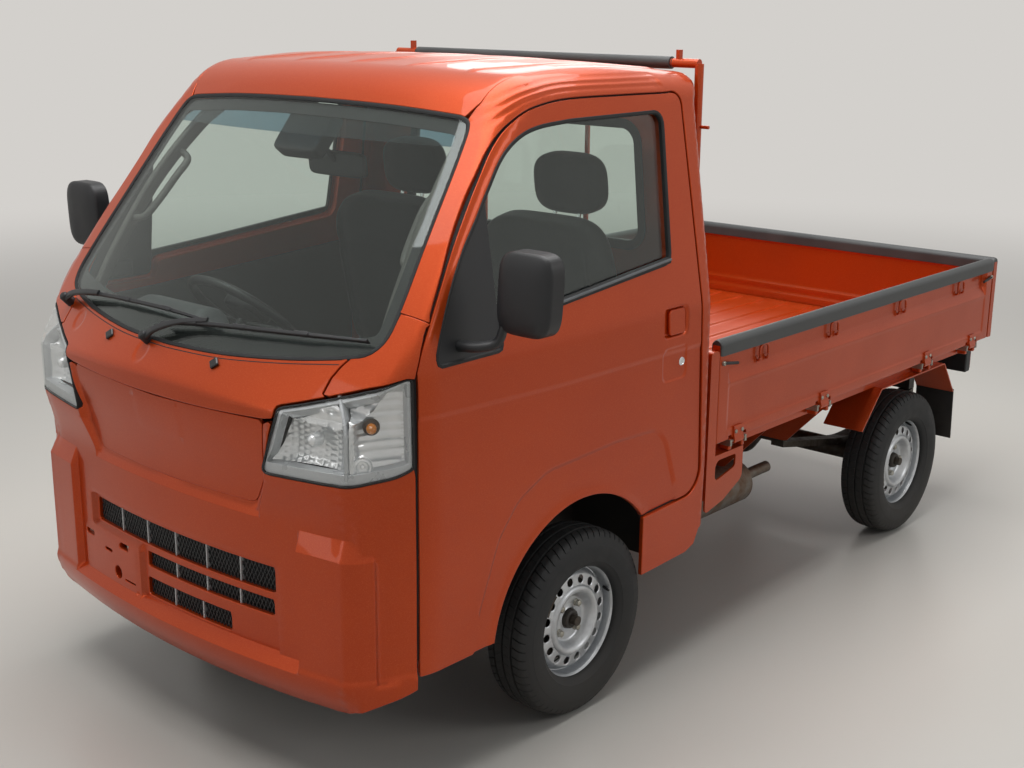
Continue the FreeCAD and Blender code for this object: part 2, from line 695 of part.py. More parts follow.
# ---------------------------------------------------------------- chassis
rail_front_top = floor_bottom
rail_rear_low = s.rail_rear_top - s.rail_depth
rail = slab("side", (
    (front + 112, rail_front_top - s.rail_depth), (arch_y + 310, rail_front_top - s.rail_depth, 150),
    (arch_y + 490, rail_rear_low, 150), (rear - 60, rail_rear_low), (rear - 60, s.rail_rear_top),
    (arch_y + 460, s.rail_rear_top, 150), (arch_y + 280, rail_front_top, 150), (front + 112, rail_front_top),
), rail_inner, rail_outer)
node("frame_rails", *both(rail))
cross_members = [
    box(-rail_inner, rail_inner, front + 112, front + 162, rail_front_top - 80, rail_front_top - 20)]
for y in (cab_back + 60, cab_back + 700, rear - 120):
    cross_members.append(box(-rail_inner, rail_inner, y, y + 50, rail_rear_low + 20, s.rail_rear_top - 10))
node("frame_cross_members", *cross_members)
hangers = []
for way in (-1, 1):
    eye_y = rear_axle + s.spring_reach * way
    hangers.extend(both(box(rail_outer, spring_middle + s.spring_width / 2, eye_y - 22, eye_y + 22, 412, 500)))
node("spring_hangers", *hangers)

# --- front suspension: cross member, lower arms and struts
arm_low = s.arm_height - 20
sub_frame = fuse(
    box(-rail_outer, rail_outer, front_axle - 40, front_axle + 40, s.arm_height, s.arm_height + 60),
    *both(box(rail_inner, rail_outer, front_axle - 40, front_axle + 40, s.arm_height + 40,
              rail_front_top - s.rail_depth)),
    *both(slab("top", (
        (rail_inner, front_axle - 85), (kingpin, front_axle - 24, 12),
        (kingpin + 18, front_axle), (kingpin, front_axle + 24, 12),
        (rail_inner, front_axle + 85),
    ), arm_low, s.arm_height)))
knuckle_top = hub + 171
strut = rod("Z", s.strut_radius, kingpin, front_axle, knuckle_top + s.fit_clearance,
            platform_low - knuckle_top - s.fit_clearance)
rack_half = kingpin - 195
rack = rod("X", 18, -rack_half, front_axle + 56, s.arm_height + 30, rack_half * 2)
node("front_suspension", fuse(sub_frame, rack), *both(strut))


def stub_axle(inner_x):
    """Backing plate and spindle that carry one wheel on the vehicle's left."""
    plate_x = wheel_middle - s.hub_reach - 5
    return (
        rod("X", 105, plate_x - 7, 0, hub, 7),
        rod("X", s.spindle_radius, inner_x, 0, hub, wheel_middle + s.hub_reach - inner_x),
    )


plate, spindle = stub_axle(kingpin)
for part in (plate, spindle):
    bind(part, "Placement.Base.y", front_axle)
upright = rod("Z", s.knuckle_radius, kingpin, front_axle, s.arm_height + s.fit_clearance,
              knuckle_top - s.arm_height - s.fit_clearance)
carrier = box(kingpin, wheel_middle - s.hub_reach - 8, front_axle - 30, front_axle + 30, hub - 45, hub + 45)
steer_arm = box(kingpin - 15, kingpin + 5, front_axle, front_axle + 110, hub - 34, hub - 20)
pair("knuckle", fuse(upright, carrier, plate, spindle, steer_arm))

# --- rear axle and leaf springs
plate, spindle = stub_axle(as_size(300))
for part in (plate, spindle):
    bind(part, "Placement.Base.y", rear_axle)
tube_end = wheel_middle - s.hub_reach - 8
tube = rod("X", s.axle_radius, -tube_end, rear_axle, hub, tube_end * 2)
CASE_RADIUS = 105
drive_case = place(turned((
    (-80, 30), (-80, 60, 18), (-45, CASE_RADIUS, 30), (45, CASE_RADIUS, 30), (80, 60, 18), (80, 30),
)), 0, rear_axle, hub)
node("rear_axle", fuse(tube, drive_case, *both(plate), *both(spindle)))
spring_low = hub + s.axle_radius + s.fit_clearance
spring_x = spring_middle - s.spring_width / 2
leaf = slab("side", (
    (rear_axle - s.spring_reach - 20, 391), (rear_axle - 60, spring_low, 500),
    (rear_axle + 60, spring_low, 500),
    (rear_axle + s.spring_reach + 20, 391), (rear_axle + s.spring_reach + 20, 411.7),
    (rear_axle + 60, spring_low + 28, 500), (rear_axle - 60, spring_low + 28, 500),
    (rear_axle - s.spring_reach - 20, 411.7),
), spring_x, spring_x + s.spring_width)
node("leaf_springs", *both(leaf))

# --- engine and gearbox as one plain block, with the shaft to the rear axle
engine = box(-210, 210, front_axle - 190, front_axle + 290, 280, platform_low - 25)
engine_arms = box(-rail_inner, rail_inner, front_axle + 120, front_axle + 160, 345, 385)
shaft_start = front_axle + 280
shaft_end = rear_axle - CASE_RADIUS - s.fit_clearance
shaft = rod("Y", 28, 0, shaft_start, hub + 30, shaft_end - shaft_start)
node("engine_and_shaft", fuse(engine, engine_arms, shaft))

spring_front = rear_axle - s.spring_reach
node("fuel_tank", slab("front", (
    (-side + 75, 270, 30), (-rail_outer, 270, 30), (-rail_outer, 480), (-side + 75, 480, 30),
), cab_back + 120, spring_front - 258))
EXHAUST_HEIGHT = 352
muffler_start = cab_back + 160
pipe_start = cab_back - 60
muffler = fuse(
    rod("Y", 72, spring_middle + 30, muffler_start, EXHAUST_HEIGHT, spring_front - 338 - muffler_start),
    rod("Y", 19, spring_middle + 30, pipe_start, EXHAUST_HEIGHT, spring_front - 138 - pipe_start),
    box(rail_outer, spring_middle + 30, cab_back + 300, cab_back + 330,
        EXHAUST_HEIGHT + 50, EXHAUST_HEIGHT + 100))
node("exhaust", muffler)

# ---------------------------------------------------------------- wheels
crown = s.tyre_diameter / 2
bulge = s.tyre_width / 2
flange_in = s.rim_width / 2 - 6
bead = flange_in - 0.5
tyre_foot = s.rim_seat_radius + s.fit_clearance * 1.5
TYRE_HALF = (
    (bead, tyre_foot, None), (bead, s.rim_flange_radius + 1.5, None),
    (bulge, s.rim_flange_radius + 14, 14), (bulge, crown - 22, 20), (bulge - 14, crown, 18),
)
CAVITY_HALF = (
    (bulge - 22, crown - 13, 12), (bulge - 11, crown - 36, 12), (bulge - 12, s.rim_flange_radius + 36, 14),
    (bead - 12, s.rim_flange_radius + 8, 8), (bead - 14, tyre_foot, None),
)


def loop_of(half, way):
    """One half of a section, on the side given by way."""
    corners = []
    for along, radius, rounding in half:
        corner = (along * way, radius)
        corners.append(corner if rounding is None else corner + (rounding,))
    return corners


tyre_section = (
    loop_of(TYRE_HALF, 1) + loop_of(TYRE_HALF, -1)[::-1]
    + loop_of(CAVITY_HALF, -1)[::-1] + loop_of(CAVITY_HALF, 1))
flange_out = s.rim_width / 2
seat = s.rim_seat_radius
bore_radius = s.spindle_radius + s.shaft_clearance
reach = s.hub_reach
# Rim, disc, hub and brake drum in one section: distance outboard of the wheel's middle, radius.
RIM_SECTION = (
    (-flange_out, s.rim_flange_radius), (-flange_in - 1, s.rim_flange_radius), (-flange_in, seat),
    (-34, seat), (-26, seat - 11), (14, seat - 11), (24, seat), (flange_in, seat),
    (flange_in + 1, s.rim_flange_radius), (flange_out, s.rim_flange_radius), (flange_out, seat - 5),
    (28, seat - 5), (20, seat - 16), (34, seat - 30), (40, seat - 54, 15), (26, seat - 90, 10),
    (26, 30), (reach, 30), (reach, bore_radius), (-reach, bore_radius), (-reach, 100), (-8, 100),
    (-8, 40), (18, 40), (18, seat - 88, 10), (32, seat - 56, 15), (26, seat - 34), (10, seat - 17),
    (-29, seat - 17), (-38, seat - 5), (-flange_out, seat - 5),
)
# Columns: name, side of the vehicle (1 is left), axle.
WHEELS = (
    ("front_left", 1, front_axle), ("front_right", -1, front_axle),
    ("rear_left", 1, rear_axle), ("rear_right", -1, rear_axle),
)
for name, way, axle in WHEELS:
    tyre = turned(tyre_section)
    node(f"tyre_{name}", place(tyre, wheel_middle * way, axle, hub))
    rim_part = turned([(as_size(corner[0]) * way,) + corner[1:] for corner in RIM_SECTION])
    node(f"rim_{name}", place(rim_part, wheel_middle * way, axle, hub))

# ---------------------------------------------------------------- load bed
bed_front = cab_back + s.cab_to_bed
bed_inside = bed_front + s.bed_wall
gate_face = side - s.gate_barrel_radius
tail_face = rear - s.gate_barrel_radius
tail_inner = tail_face - s.gate_thickness
side_gate_rear = tail_inner - s.gate_gap
floor_rear = tail_inner - s.gate_gap - 2
floor_half = gate_face - s.gate_thickness - s.gate_gap - 0.5
sheet_low = s.bed_floor_top - s.bed_sheet
node("bed_floor", box(-floor_half, floor_half, bed_inside, floor_rear, sheet_low, s.bed_floor_top))
node("bed_front_wall",
     box(-gate_face, gate_face, bed_front, bed_inside, s.bed_sill_bottom + 2, s.gate_top - 28))

# The underframe: runners on the frame rails, bearers across them, sills round the edge.
runner = box(rail_inner, rail_outer, bed_inside, floor_rear, s.rail_rear_top, s.bed_sill_bottom)
node("bed_runners", *both(runner))
sill_inner = floor_half - s.bed_sill_width
sill_front = floor_rear - s.bed_sill_width
side_sill = box(sill_inner, floor_half, bed_inside, floor_rear, s.bed_sill_bottom, sheet_low)
rear_sill = box(-sill_inner, sill_inner, sill_front, floor_rear, s.bed_sill_bottom, sheet_low)
node("bed_sills", *both(side_sill), rear_sill)
BEARERS = 5
BEARER_WIDTH = 55
bearer_pitch = (floor_rear - bed_inside - 200) / (BEARERS - 1)
bearers = []
for index in range(BEARERS):
    y = bed_inside + 60 + bearer_pitch * index
    bearers.append(box(-sill_inner, sill_inner, y, y + BEARER_WIDTH, s.bed_sill_bottom, sheet_low))
node("bed_bearers", *bearers)
# Outriggers carry the floor's edge from the frame rails.
# The fuel tank keeps the right-hand front one further back.
outriggers = []
for y, mirror_it in ((cab_back + 430, False), (spring_front - 238, True), (spring_front - 58, False),
                     (spring_front - 58, True)):
    outrigger = slab("front", (
        (rail_outer, rail_rear_low + 10), (rail_outer + 130, rail_rear_low + 10, 30),
        (floor_half - 10, s.bed_sill_bottom), (rail_outer, s.bed_sill_bottom),
    ), y, y + 6)
    outriggers.append(mirrored(outrigger) if mirror_it else outrigger)
node("bed_outriggers", *outriggers)
plate_face = side - 11
plate_top = s.bed_sill_bottom + 2
corner_plate = slab("side", (
    (bed_front + 4, 430, 12), (bed_front + 100, 452, 40), (bed_front + 200, 500, 30),
    (bed_front + 200, plate_top), (bed_front + 4, plate_top),
), plate_face - 6, plate_face, holes=((
    (bed_front + 50, 520, 15), (bed_front + 160, 545, 15), (bed_front + 160, 585, 8),
    (bed_front + 50, 585, 25),
),))
plate_root = box(floor_half, plate_face, bed_front + 4, bed_front + 200, plate_top - 6, plate_top)
plate_leg = box(floor_half - 30, plate_face, bed_front + 4, bed_front + 10, 470, plate_top)
node("corner_plates", *both(fuse(corner_plate, plate_root, plate_leg)))

# --- gate hinges: the bed holds the pins, the gates hold the barrels
pin_z = s.gate_bottom - s.gate_pin_drop
gate_length = side_gate_rear - bed_inside - s.gate_gap
SIDE_HINGES = (0.035, 0.305, 0.7, 0.9)       # shares of the gate's length
TAIL_HINGES = (-560, -190, 190, 560)
PIN_LENGTH = 90
EAR = 10
hinge_pins = []
side_barrels = []
side_notches = []
tail_barrels = []
tail_notches = []
ear_low = pin_z - 14
ear_high = pin_z + 6
bore_size = s.gate_pin_radius + s.shaft_clearance
span = PIN_LENGTH - 2 * EAR - 2
for share in SIDE_HINGES:
    y = bed_inside + s.gate_gap + gate_length * share
    ears = []
    for ear_y in (y, y + PIN_LENGTH - EAR):
        ears.append(box(floor_half, gate_face + 5, ear_y, ear_y + EAR, ear_low, ear_high))
        side_notches.append(rod("Y", s.gate_notch_radius, gate_face, ear_y - 5, pin_z, EAR + 10))
    hinge_pins.extend(both(fuse(rod("Y", s.gate_pin_radius, gate_face, y, pin_z, PIN_LENGTH), *ears)))
    start = y + EAR + 1
    sleeve = fuse(rod("Y", s.gate_barrel_radius, gate_face, start, pin_z, span),
                  box(gate_face - 7, gate_face, start, start + span, pin_z, s.gate_bottom + 2))
    side_barrels.append(cut(sleeve, rod("Y", bore_size, gate_face, start - 1, pin_z, span + 2)))
for x in TAIL_HINGES:
    start = x - PIN_LENGTH / 2
    ears = []
    for ear_x in (start, start + PIN_LENGTH - EAR):
        ears.append(box(ear_x, ear_x + EAR, floor_rear, tail_face + 5, ear_low, ear_high))
        tail_notches.append(rod("X", s.gate_notch_radius, ear_x - 5, tail_face, pin_z, EAR + 10))
    hinge_pins.append(fuse(rod("X", s.gate_pin_radius, start, tail_face, pin_z, PIN_LENGTH), *ears))
    inner_start = start + EAR + 1
    sleeve = fuse(rod("X", s.gate_barrel_radius, inner_start, tail_face, pin_z, span),
                  box(inner_start, inner_start + span, tail_face - 7, tail_face, pin_z, s.gate_bottom + 2))
    tail_barrels.append(cut(sleeve, rod("X", bore_size, inner_start - 1, tail_face, pin_z, span + 2)))
node("gate_hinge_pins", *hinge_pins)

side_gate = box(gate_face - s.gate_thickness, gate_face, bed_inside + s.gate_gap, side_gate_rear,
                s.gate_bottom, s.gate_top)
# The gates are pressed sheet: their outer faces are stepped in between the upper rail and the foot.
gate_step = box(gate_face - 12, gate_face + 10, bed_inside + s.gate_gap + 40, side_gate_rear - 30,
                s.gate_bottom + 55, s.gate_top - 118)
pair("side_gate", fuse(cut(side_gate, gate_step, *side_notches), *side_barrels))
tail_gate = box(-gate_face, gate_face, tail_inner, tail_face, s.gate_bottom, s.gate_top)
tail_step = box(-gate_face + 60, gate_face - 60, tail_face - 12, tail_face + 10,
                s.gate_bottom + 55, s.gate_top - 118)
node("tail_gate", fuse(cut(tail_gate, tail_step, *tail_notches), *tail_barrels))

# --- guard frame behind the cab
guard_r = s.guard_bar_radius
guard_y = bed_inside + guard_r
bar_z = s.guard_height - guard_r
post_foot = s.bed_floor_top + 40
posts = both(rod("Z", guard_r, s.guard_half, guard_y, post_foot, bar_z - post_foot))
clamps = []
for low in (post_foot + 20, s.gate_top - 90):
    clamps.extend(both(box(s.guard_half - 22, s.guard_half + 22, bed_inside, bed_inside + 6, low, low + 40)))
top_bar = rod("X", guard_r, -s.guard_half, guard_y, bar_z, s.guard_half * 2)
cross_bar = rod("X", guard_r - 3, -s.guard_half, guard_y, 1190, s.guard_half * 2)
window_bars = both(rod("Z", guard_r - 5, 210, guard_y, s.gate_top - 40, bar_z - s.gate_top + 40))
hook = box(s.guard_half - 76, s.guard_half - 64, guard_y - 8, guard_y + 8, bar_z, s.guard_hook_top)
side_hook = rod("X", 5, s.guard_half, guard_y, 1560, 40)
node("guard_frame", fuse(*posts, *clamps, top_bar, cross_bar, *window_bars, *both(hook), *both(side_hook)))

# --- rear fenders, flaps and lamps
fender_top = s.bed_sill_bottom
fender_inner = side - 165
fender_outer = side - 14
fender = slab("side", (
    (rear_axle - 375, 470), (rear_axle - 250, fender_top, 20), (rear_axle + 250, fender_top, 20),
    (rear_axle + 350, 470), (rear_axle + 346, 468), (rear_axle + 247, fender_top - 5, 15),
    (rear_axle - 247, fender_top - 5, 15), (rear_axle - 371, 467),
), fender_inner, fender_outer)
node("rear_fenders", *both(fender))
flap = slab("side", (
    (rear_axle + 346, 480), (rear_axle + 352, 478), (rear_axle + 362, 280), (rear_axle + 357, 280),
), fender_inner, fender_outer)
node("mud_flaps", *both(cut(flap, slab("side", (
    (rear_axle + 350, 470), (rear_axle + 300, 545), (rear_axle + 250, 545), (rear_axle + 346, 468),
), 0, FAR))))
tail_lamp = box(side - 235, side - 55, floor_rear - 60, floor_rear - 4,
                s.bed_sill_bottom - 100, s.bed_sill_bottom)
node("tail_lamps", *both(tail_lamp))

# ---------------------------------------------------------------- check and write
document.recompute()
for thing in document.Objects:
    if "Invalid" in thing.State or "Error" in thing.State:
        raise RuntimeError(f"{thing.Label} ({thing.Name}) failed: {thing.State}")
for piece in NODES:
    if piece.Shape.isNull() or not piece.Shape.isValid() or not piece.Shape.Solids:
        raise RuntimeError(f"{piece.Label} has no valid solid")
os.makedirs("parts", exist_ok=True)
for piece in NODES:
    piece.Shape.exportStep(f"parts/{piece.Label}.step")
    extent = piece.Shape.BoundBox
    print(f"{piece.Label:20s} solids {len(piece.Shape.Solids)}  "
          f"x {extent.XMin:8.1f} {extent.XMax:8.1f}  y {extent.YMin:8.1f} {extent.YMax:8.1f}  "
          f"z {extent.ZMin:7.1f} {extent.ZMax:7.1f}")
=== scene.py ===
"""Kei truck: the looks of a small cab-over pickup with a drop-side load bed.

Everything is in metres in the row frame: +X is the vehicle's left, +Y its rear, +Z up, and the
origin lies on the road in the middle of the footprint. The cab's skin is one rounded form,
worked out as distances to a few planes and cylinders, and each panel is a piece of that form cut
to its outline. The other pieces are profiles carried along paths and grids of two parameters.
"""
import logging
import math
from dataclasses import dataclass, field
from enum import Enum
from typing import Callable, Sequence

import bpy
import numpy as np
from mathutils import Matrix, Vector
from mathutils.geometry import delaunay_2d_cdt


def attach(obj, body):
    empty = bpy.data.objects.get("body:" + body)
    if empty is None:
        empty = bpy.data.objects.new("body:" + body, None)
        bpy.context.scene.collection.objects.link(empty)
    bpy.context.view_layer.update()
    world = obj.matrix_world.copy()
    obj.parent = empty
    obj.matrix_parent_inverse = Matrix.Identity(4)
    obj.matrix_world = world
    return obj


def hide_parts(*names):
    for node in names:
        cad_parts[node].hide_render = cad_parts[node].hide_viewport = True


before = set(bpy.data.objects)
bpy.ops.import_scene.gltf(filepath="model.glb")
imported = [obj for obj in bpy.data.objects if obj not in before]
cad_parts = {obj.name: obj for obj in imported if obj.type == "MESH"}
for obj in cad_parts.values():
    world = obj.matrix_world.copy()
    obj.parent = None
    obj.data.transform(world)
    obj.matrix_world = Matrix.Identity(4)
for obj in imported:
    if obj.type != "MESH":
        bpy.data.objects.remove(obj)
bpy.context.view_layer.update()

LOG = logging.getLogger("kei_truck")

Array = np.ndarray
FRONT_Y = -1.6975
MM = 0.001
X_UNIT, Y_UNIT, Z_UNIT = np.eye(3)


# ---------------------------------------------------------------- outlines and vectors

def unit(vectors: Array) -> Array:
    """Each vector divided by its length, with a zero vector left as it is."""
    vectors = np.asarray(vectors, float)
    length = np.linalg.norm(vectors, axis=-1, keepdims=True)
    return vectors / np.where(length > 1e-12, length, 1.0)


def rounded(corners: Sequence[Sequence[float]], closed: bool = True, step: float = 9.0) -> Array:
    """A polyline with its corners turned into arcs.

    Each arc touches both sides of its corner at radius times the tangent of half the turn.

    Args:
        corners: rows of (u, v) or (u, v, radius).
        closed: whether the last corner joins the first.
        step: degrees of turn between the points of an arc.

    Returns:
        Points as an array of rows (u, v).
    """
    points = np.array([c[:2] for c in corners], float)
    count, out = len(points), []
    for i, corner in enumerate(corners):
        radius = corner[2] if len(corner) > 2 else 0.0
        if radius <= 0 or (not closed and i in (0, count - 1)):
            out.append(points[i])
            continue
        before = unit(points[i - 1] - points[i])
        after = unit(points[(i + 1) % count] - points[i])
        turn = math.pi - math.acos(float(np.clip(before @ after, -1, 1)))
        if turn < 0.01:
            out.append(points[i])
            continue
        room = 0.499 * min(np.linalg.norm(points[i - 1] - points[i]),
                           np.linalg.norm(points[(i + 1) % count] - points[i]))
        radius = min(radius, room / math.tan(turn / 2))
        reach = radius * math.tan(turn / 2)
        middle = points[i] + unit(before + after) * (radius / math.cos(turn / 2))
        first, last = points[i] + before * reach - middle, points[i] + after * reach - middle
        pieces = max(2, int(math.degrees(turn) / step))
        for share in np.linspace(0, 1, pieces + 1):
            blend = math.sin((1 - share) * turn) * first + math.sin(share * turn) * last
            out.append(middle + blend / math.sin(turn))
    return np.array(out)


def oblong(u0: float, v0: float, u1: float, v1: float, radius: float,
           step: float = 9.0) -> Array:
    """A rectangle between two corners, with all its corners turned into the same arc."""
    return rounded([(u0, v0, radius), (u1, v0, radius), (u1, v1, radius), (u0, v1, radius)],
                   step=step)


def tapered(half_low: float, low: float, half_high: float, high: float, radii: tuple[float, float],
            step: float = 9.0) -> Array:
    """A section even about its middle, half_low wide at its foot and half_high at its top, with
    one arc at both lower corners and one at both upper ones."""
    return rounded([(-half_low, low, radii[0]), (half_low, low, radii[0]),
                    (half_high, high, radii[1]), (-half_high, high, radii[1])], step=step)


def resampled(points: Array, step: float, closed: bool = True) -> Array:
    """The same polyline with its runs divided, so that no run is longer than step."""
    points = np.asarray(points, float)
    rows = np.vstack([points, points[:1]]) if closed else points
    out = []
    for start, end in zip(rows[:-1], rows[1:]):
        pieces = max(1, int(math.ceil(np.linalg.norm(end - start) / step)))
        out.append(start + (end - start) * np.arange(pieces)[:, None] / pieces)
    joined = np.vstack(out)
    return joined if closed else np.vstack([joined, rows[-1:]])


def evened(points: Array, step: float, closed: bool = True) -> Array:
    """Points at one even spacing, near step, along the polyline's own length."""
    points = np.asarray(points, float)
    rows = np.vstack([points, points[:1]]) if closed else points
    run = np.concatenate([[0.0], np.cumsum(np.linalg.norm(np.diff(rows, axis=0), axis=1))])
    count = max(3, int(round(run[-1] / step)))
    at = np.linspace(0, run[-1], count + 1)
    found = np.stack([np.interp(at, run, rows[:, k]) for k in range(rows.shape[1])], 1)
    return found[:-1] if closed else found


def area_of(loop: Array) -> float:
    """A plane loop's area, positive where it runs anticlockwise."""
    following = np.roll(loop, -1, 0)
    return 0.5 * float(np.sum(loop[:, 0] * following[:, 1] - following[:, 0] * loop[:, 1]))


def tangents(points: Array, closed: bool = True) -> Array:
    """Unit vectors along a polyline, each half way between its two runs."""
    if closed:
        return unit(unit(np.roll(points, -1, 0) - points) + unit(points - np.roll(points, 1, 0)))
    runs = unit(np.diff(points, axis=0))
    return unit(np.vstack([runs[:1], runs[:-1] + runs[1:], runs[-1:]]))


def right_of(line: Array) -> Array:
    """Unit vectors square to an open plane line, to its right."""
    along = tangents(line, False)
    return np.stack([along[:, 1], -along[:, 0]], 1)


def whole_loop(left: Array) -> Array:
    """A loop even about zero from its left half, whose first and last points are shared."""
    return np.vstack([left, left[1:-1][::-1] * [-1, 1]])


def outset(loop: Array, distance: float) -> Array:
    """A plane loop moved outwards by distance along its points' normals."""
    along = tangents(loop)
    outward = np.stack([along[:, 1], -along[:, 0]], 1) * math.copysign(1, area_of(loop))
    return loop + outward * distance


def inside(points: Array, loop: Array) -> Array:
    """Which points lie in a loop, by the crossings of a line from each."""
    u, v = points[:, 0][:, None], points[:, 1][:, None]
    u0, v0 = loop[:, 0], loop[:, 1]
    u1, v1 = np.roll(u0, -1), np.roll(v0, -1)
    spans = (v0 > v) != (v1 > v)
    rise = np.where(np.abs(v1 - v0) < 1e-12, 1e-12, v1 - v0)
    return (np.sum(spans & (u < (u1 - u0) * (v - v0) / rise + u0), 1) % 2).astype(bool)


def apart(points: Array, line: Array, closed: bool = False) -> Array:
    """The shortest distance from each plane point to a polyline."""
    rows = np.vstack([line, line[:1]]) if closed else line
    best = np.full(len(points), 1e9)
    for start, end in zip(rows[:-1], rows[1:]):
        run = end - start
        share = np.clip((points - start) @ run / max(float(run @ run), 1e-12), 0, 1)
        best = np.minimum(best, np.linalg.norm(points - start - share[:, None] * run, axis=1))
    return best


def smooth_step(low: float, high: float, value: Array) -> Array:
    """0 below low, 1 above high, and a smooth cubic between."""
    share = np.clip((value - low) / (high - low), 0, 1)
    return share * share * (3 - 2 * share)


# ---------------------------------------------------------------- meshes

@dataclass
class Shape:
    """Points, faces and, where they are known exactly, the surface's normals."""

    points: Array
    faces: list
    normals: Array | None = None

    def moved(self, offset: Sequence[float]) -> "Shape":
        """The same shape further on by offset."""
        return Shape(self.points + np.asarray(offset, float), self.faces, self.normals)

    def mirrored(self) -> "Shape":
        """The same shape on the vehicle's other side, with its faces turned the right way."""
        flip = np.array([-1.0, 1.0, 1.0])
        normals = None if self.normals is None else self.normals * flip
        return Shape(self.points * flip, [tuple(f)[::-1] for f in self.faces], normals)

    def turned(self, axis: Sequence[float], angle: float, centre: Sequence[float]) -> "Shape":
        """The same shape turned by angle, in radians, about a line through centre."""
        a, c, s = unit(np.asarray(axis, float)), math.cos(angle), math.sin(angle)
        cross = np.array([[0, -a[2], a[1]], [a[2], 0, -a[0]], [-a[1], a[0], 0]])
        turn = np.eye(3) * c + s * cross + (1 - c) * np.outer(a, a)
        middle = np.asarray(centre, float)
        normals = None if self.normals is None else self.normals @ turn.T
        return Shape((self.points - middle) @ turn.T + middle, self.faces, normals)


def joined(*shapes: Shape) -> Shape:
    """Several shapes as one. The normals are kept only if every shape has them."""
    points, faces, start = [], [], 0
    for shape in shapes:
        points.append(shape.points)
        faces += [tuple(int(i) + start for i in f) for f in shape.faces]
        start += len(shape.points)
    known = all(s.normals is not None for s in shapes)
    normals = np.vstack([s.normals for s in shapes]) if known else None
    return Shape(np.vstack(points), faces, normals)


def outward(shape: Shape) -> Shape:
    """The same closed shape with every face turned outwards.

    Its signed volume is the sum over fans of triangles of a . (b x c) / 6; below zero the faces
    look inwards and are reversed.
    """
    volume = 0.0
    for face in shape.faces:
        rows = shape.points[list(face)] - shape.points[0]
        volume += float(np.einsum("ij,ij->", np.broadcast_to(rows[0], rows[1:-1].shape),
                                  np.cross(rows[1:-1], rows[2:])))
    if volume < 0:
        return Shape(shape.points, [face[::-1] for face in shape.faces], shape.normals)
    return shape


def grid(points: Array, round_u: bool = False, round_v: bool = False,
         caps: bool = False) -> Shape:
    """A net of four-sided faces over an array of points.

    Args:
        points: array (rows, columns, 3). A face's way out is row direction cross column direction.
        round_u: whether the last row joins the first.
        round_v: whether the last column joins the first.
        caps: whether the first and last rows are closed by a face each.

    Returns:
        The net as a shape.
    """
    rows, columns = points.shape[:2]
    index = np.arange(rows * columns).reshape(rows, columns)
    if round_u:
        index = np.vstack([index, index[:1]])
    if round_v:
        index = np.hstack([index, index[:, :1]])
    quads = np.stack([index[:-1, :-1], index[1:, :-1], index[1:, 1:], index[:-1, 1:]], -1)
    faces = [tuple(q) for q in quads.reshape(-1, 4).tolist()]
    if caps:
        ring = index[0, :columns].tolist()
        faces.append(tuple(ring))
        faces.append(tuple((ring[0] + (rows - 1) * columns + k for k in reversed(range(columns)))))
    return Shape(points.reshape(-1, 3), faces)


def solid_of(net: Array) -> Shape:
    """A net that is round in its columns, with both ends capped and its faces outwards."""
    return outward(grid(np.asarray(net), False, True, True))


def carried(path: Array, across: Array, up: Array, profile: Array, round_path: bool = False,
            round_profile: bool = True, caps: bool = True) -> Shape:
    """A profile carried along a path.

    A point is path + across times the profile's first number + up times its second.

    Args:
        path: points (n, 3).
        across: unit vectors (n, 3) or one vector.
        up: unit vectors (n, 3) or one vector.
        profile: points (k, 2), or (n, k, 2) where it changes along the path.
        round_path: whether the path closes on itself.
        round_profile: whether the profile closes on itself.
        caps: whether an open path's ends are closed.

    Returns:
        The swept shape, with its faces outwards.
    """
    path = np.asarray(path, float)
    across = np.broadcast_to(np.asarray(across, float), path.shape)
    up = np.broadcast_to(np.asarray(up, float), path.shape)
    profile = np.asarray(profile, float)
    if profile.ndim == 2:
        profile = np.broadcast_to(profile, (len(path),) + profile.shape)
    net = (path[:, None] + across[:, None] * profile[..., :1] + up[:, None] * profile[..., 1:])
    shape = grid(net, round_path, round_profile, caps and not round_path and round_profile)
    along = tangents(path, round_path)
    middle = len(path) // 2
    turn = float(np.dot(np.cross(across[middle], up[middle]), along[middle]))
    if turn * (area_of(profile[middle]) if round_profile else 1.0) > 0:
        shape.faces = [f[::-1] for f in shape.faces]
    return shape


def circle(radius: float, count: int = 16, squeeze: float = 1.0) -> Array:
    """Points of a circle, or of an ellipse whose second axis is squeezed."""
    turn = np.arange(count) * 2 * math.pi / count
    return np.stack([np.cos(turn) * radius, np.sin(turn) * radius * squeeze], 1)


def frames_along(path: Array, hint: Sequence[float] = (0, 0, 1)) -> tuple[Array, Array]:
    """Two unit vectors square to a path, the second as near to hint as it can be."""
    along = tangents(path, False)
    across = unit(np.cross(along, np.asarray(hint, float)))
    weak = np.linalg.norm(np.cross(along, np.asarray(hint, float)), axis=1) < 1e-3
    across[weak] = unit(np.cross(along[weak], [0.3, 1.0, 0.1]))
    return across, np.cross(across, along)


def tube(path: Array, radius: float | Array, count: int = 14,
         hint: Sequence[float] = (0, 0, 1), end_roll: int = 3) -> Shape:
    """A round bar along a path, with its ends rounded over a third of its radius."""
    path = np.asarray(path, float)
    size = np.broadcast_to(np.asarray(radius, float), (len(path),)).copy()
    along = tangents(path, False)
    turn = np.linspace(0, math.pi / 2, end_roll + 1)[:-1]
    roll = size[0] / 3
    sink = roll * (1 - np.cos(turn))[:, None]
    body = np.vstack([path[0] + along[0] * sink, path[0] + along[0] * roll, path[1:-1],
                      path[-1] - along[-1] * roll, (path[-1] - along[-1] * sink)[::-1]])
    rise = roll * np.sin(turn) - roll
    size = np.concatenate([size[0] + rise, size, (size[-1] + rise)[::-1]])
    across, up = frames_along(body, hint)
    profile = circle(1.0, count)[None] * size[:, None, None]
    return outward(carried(body, across, up, profile))


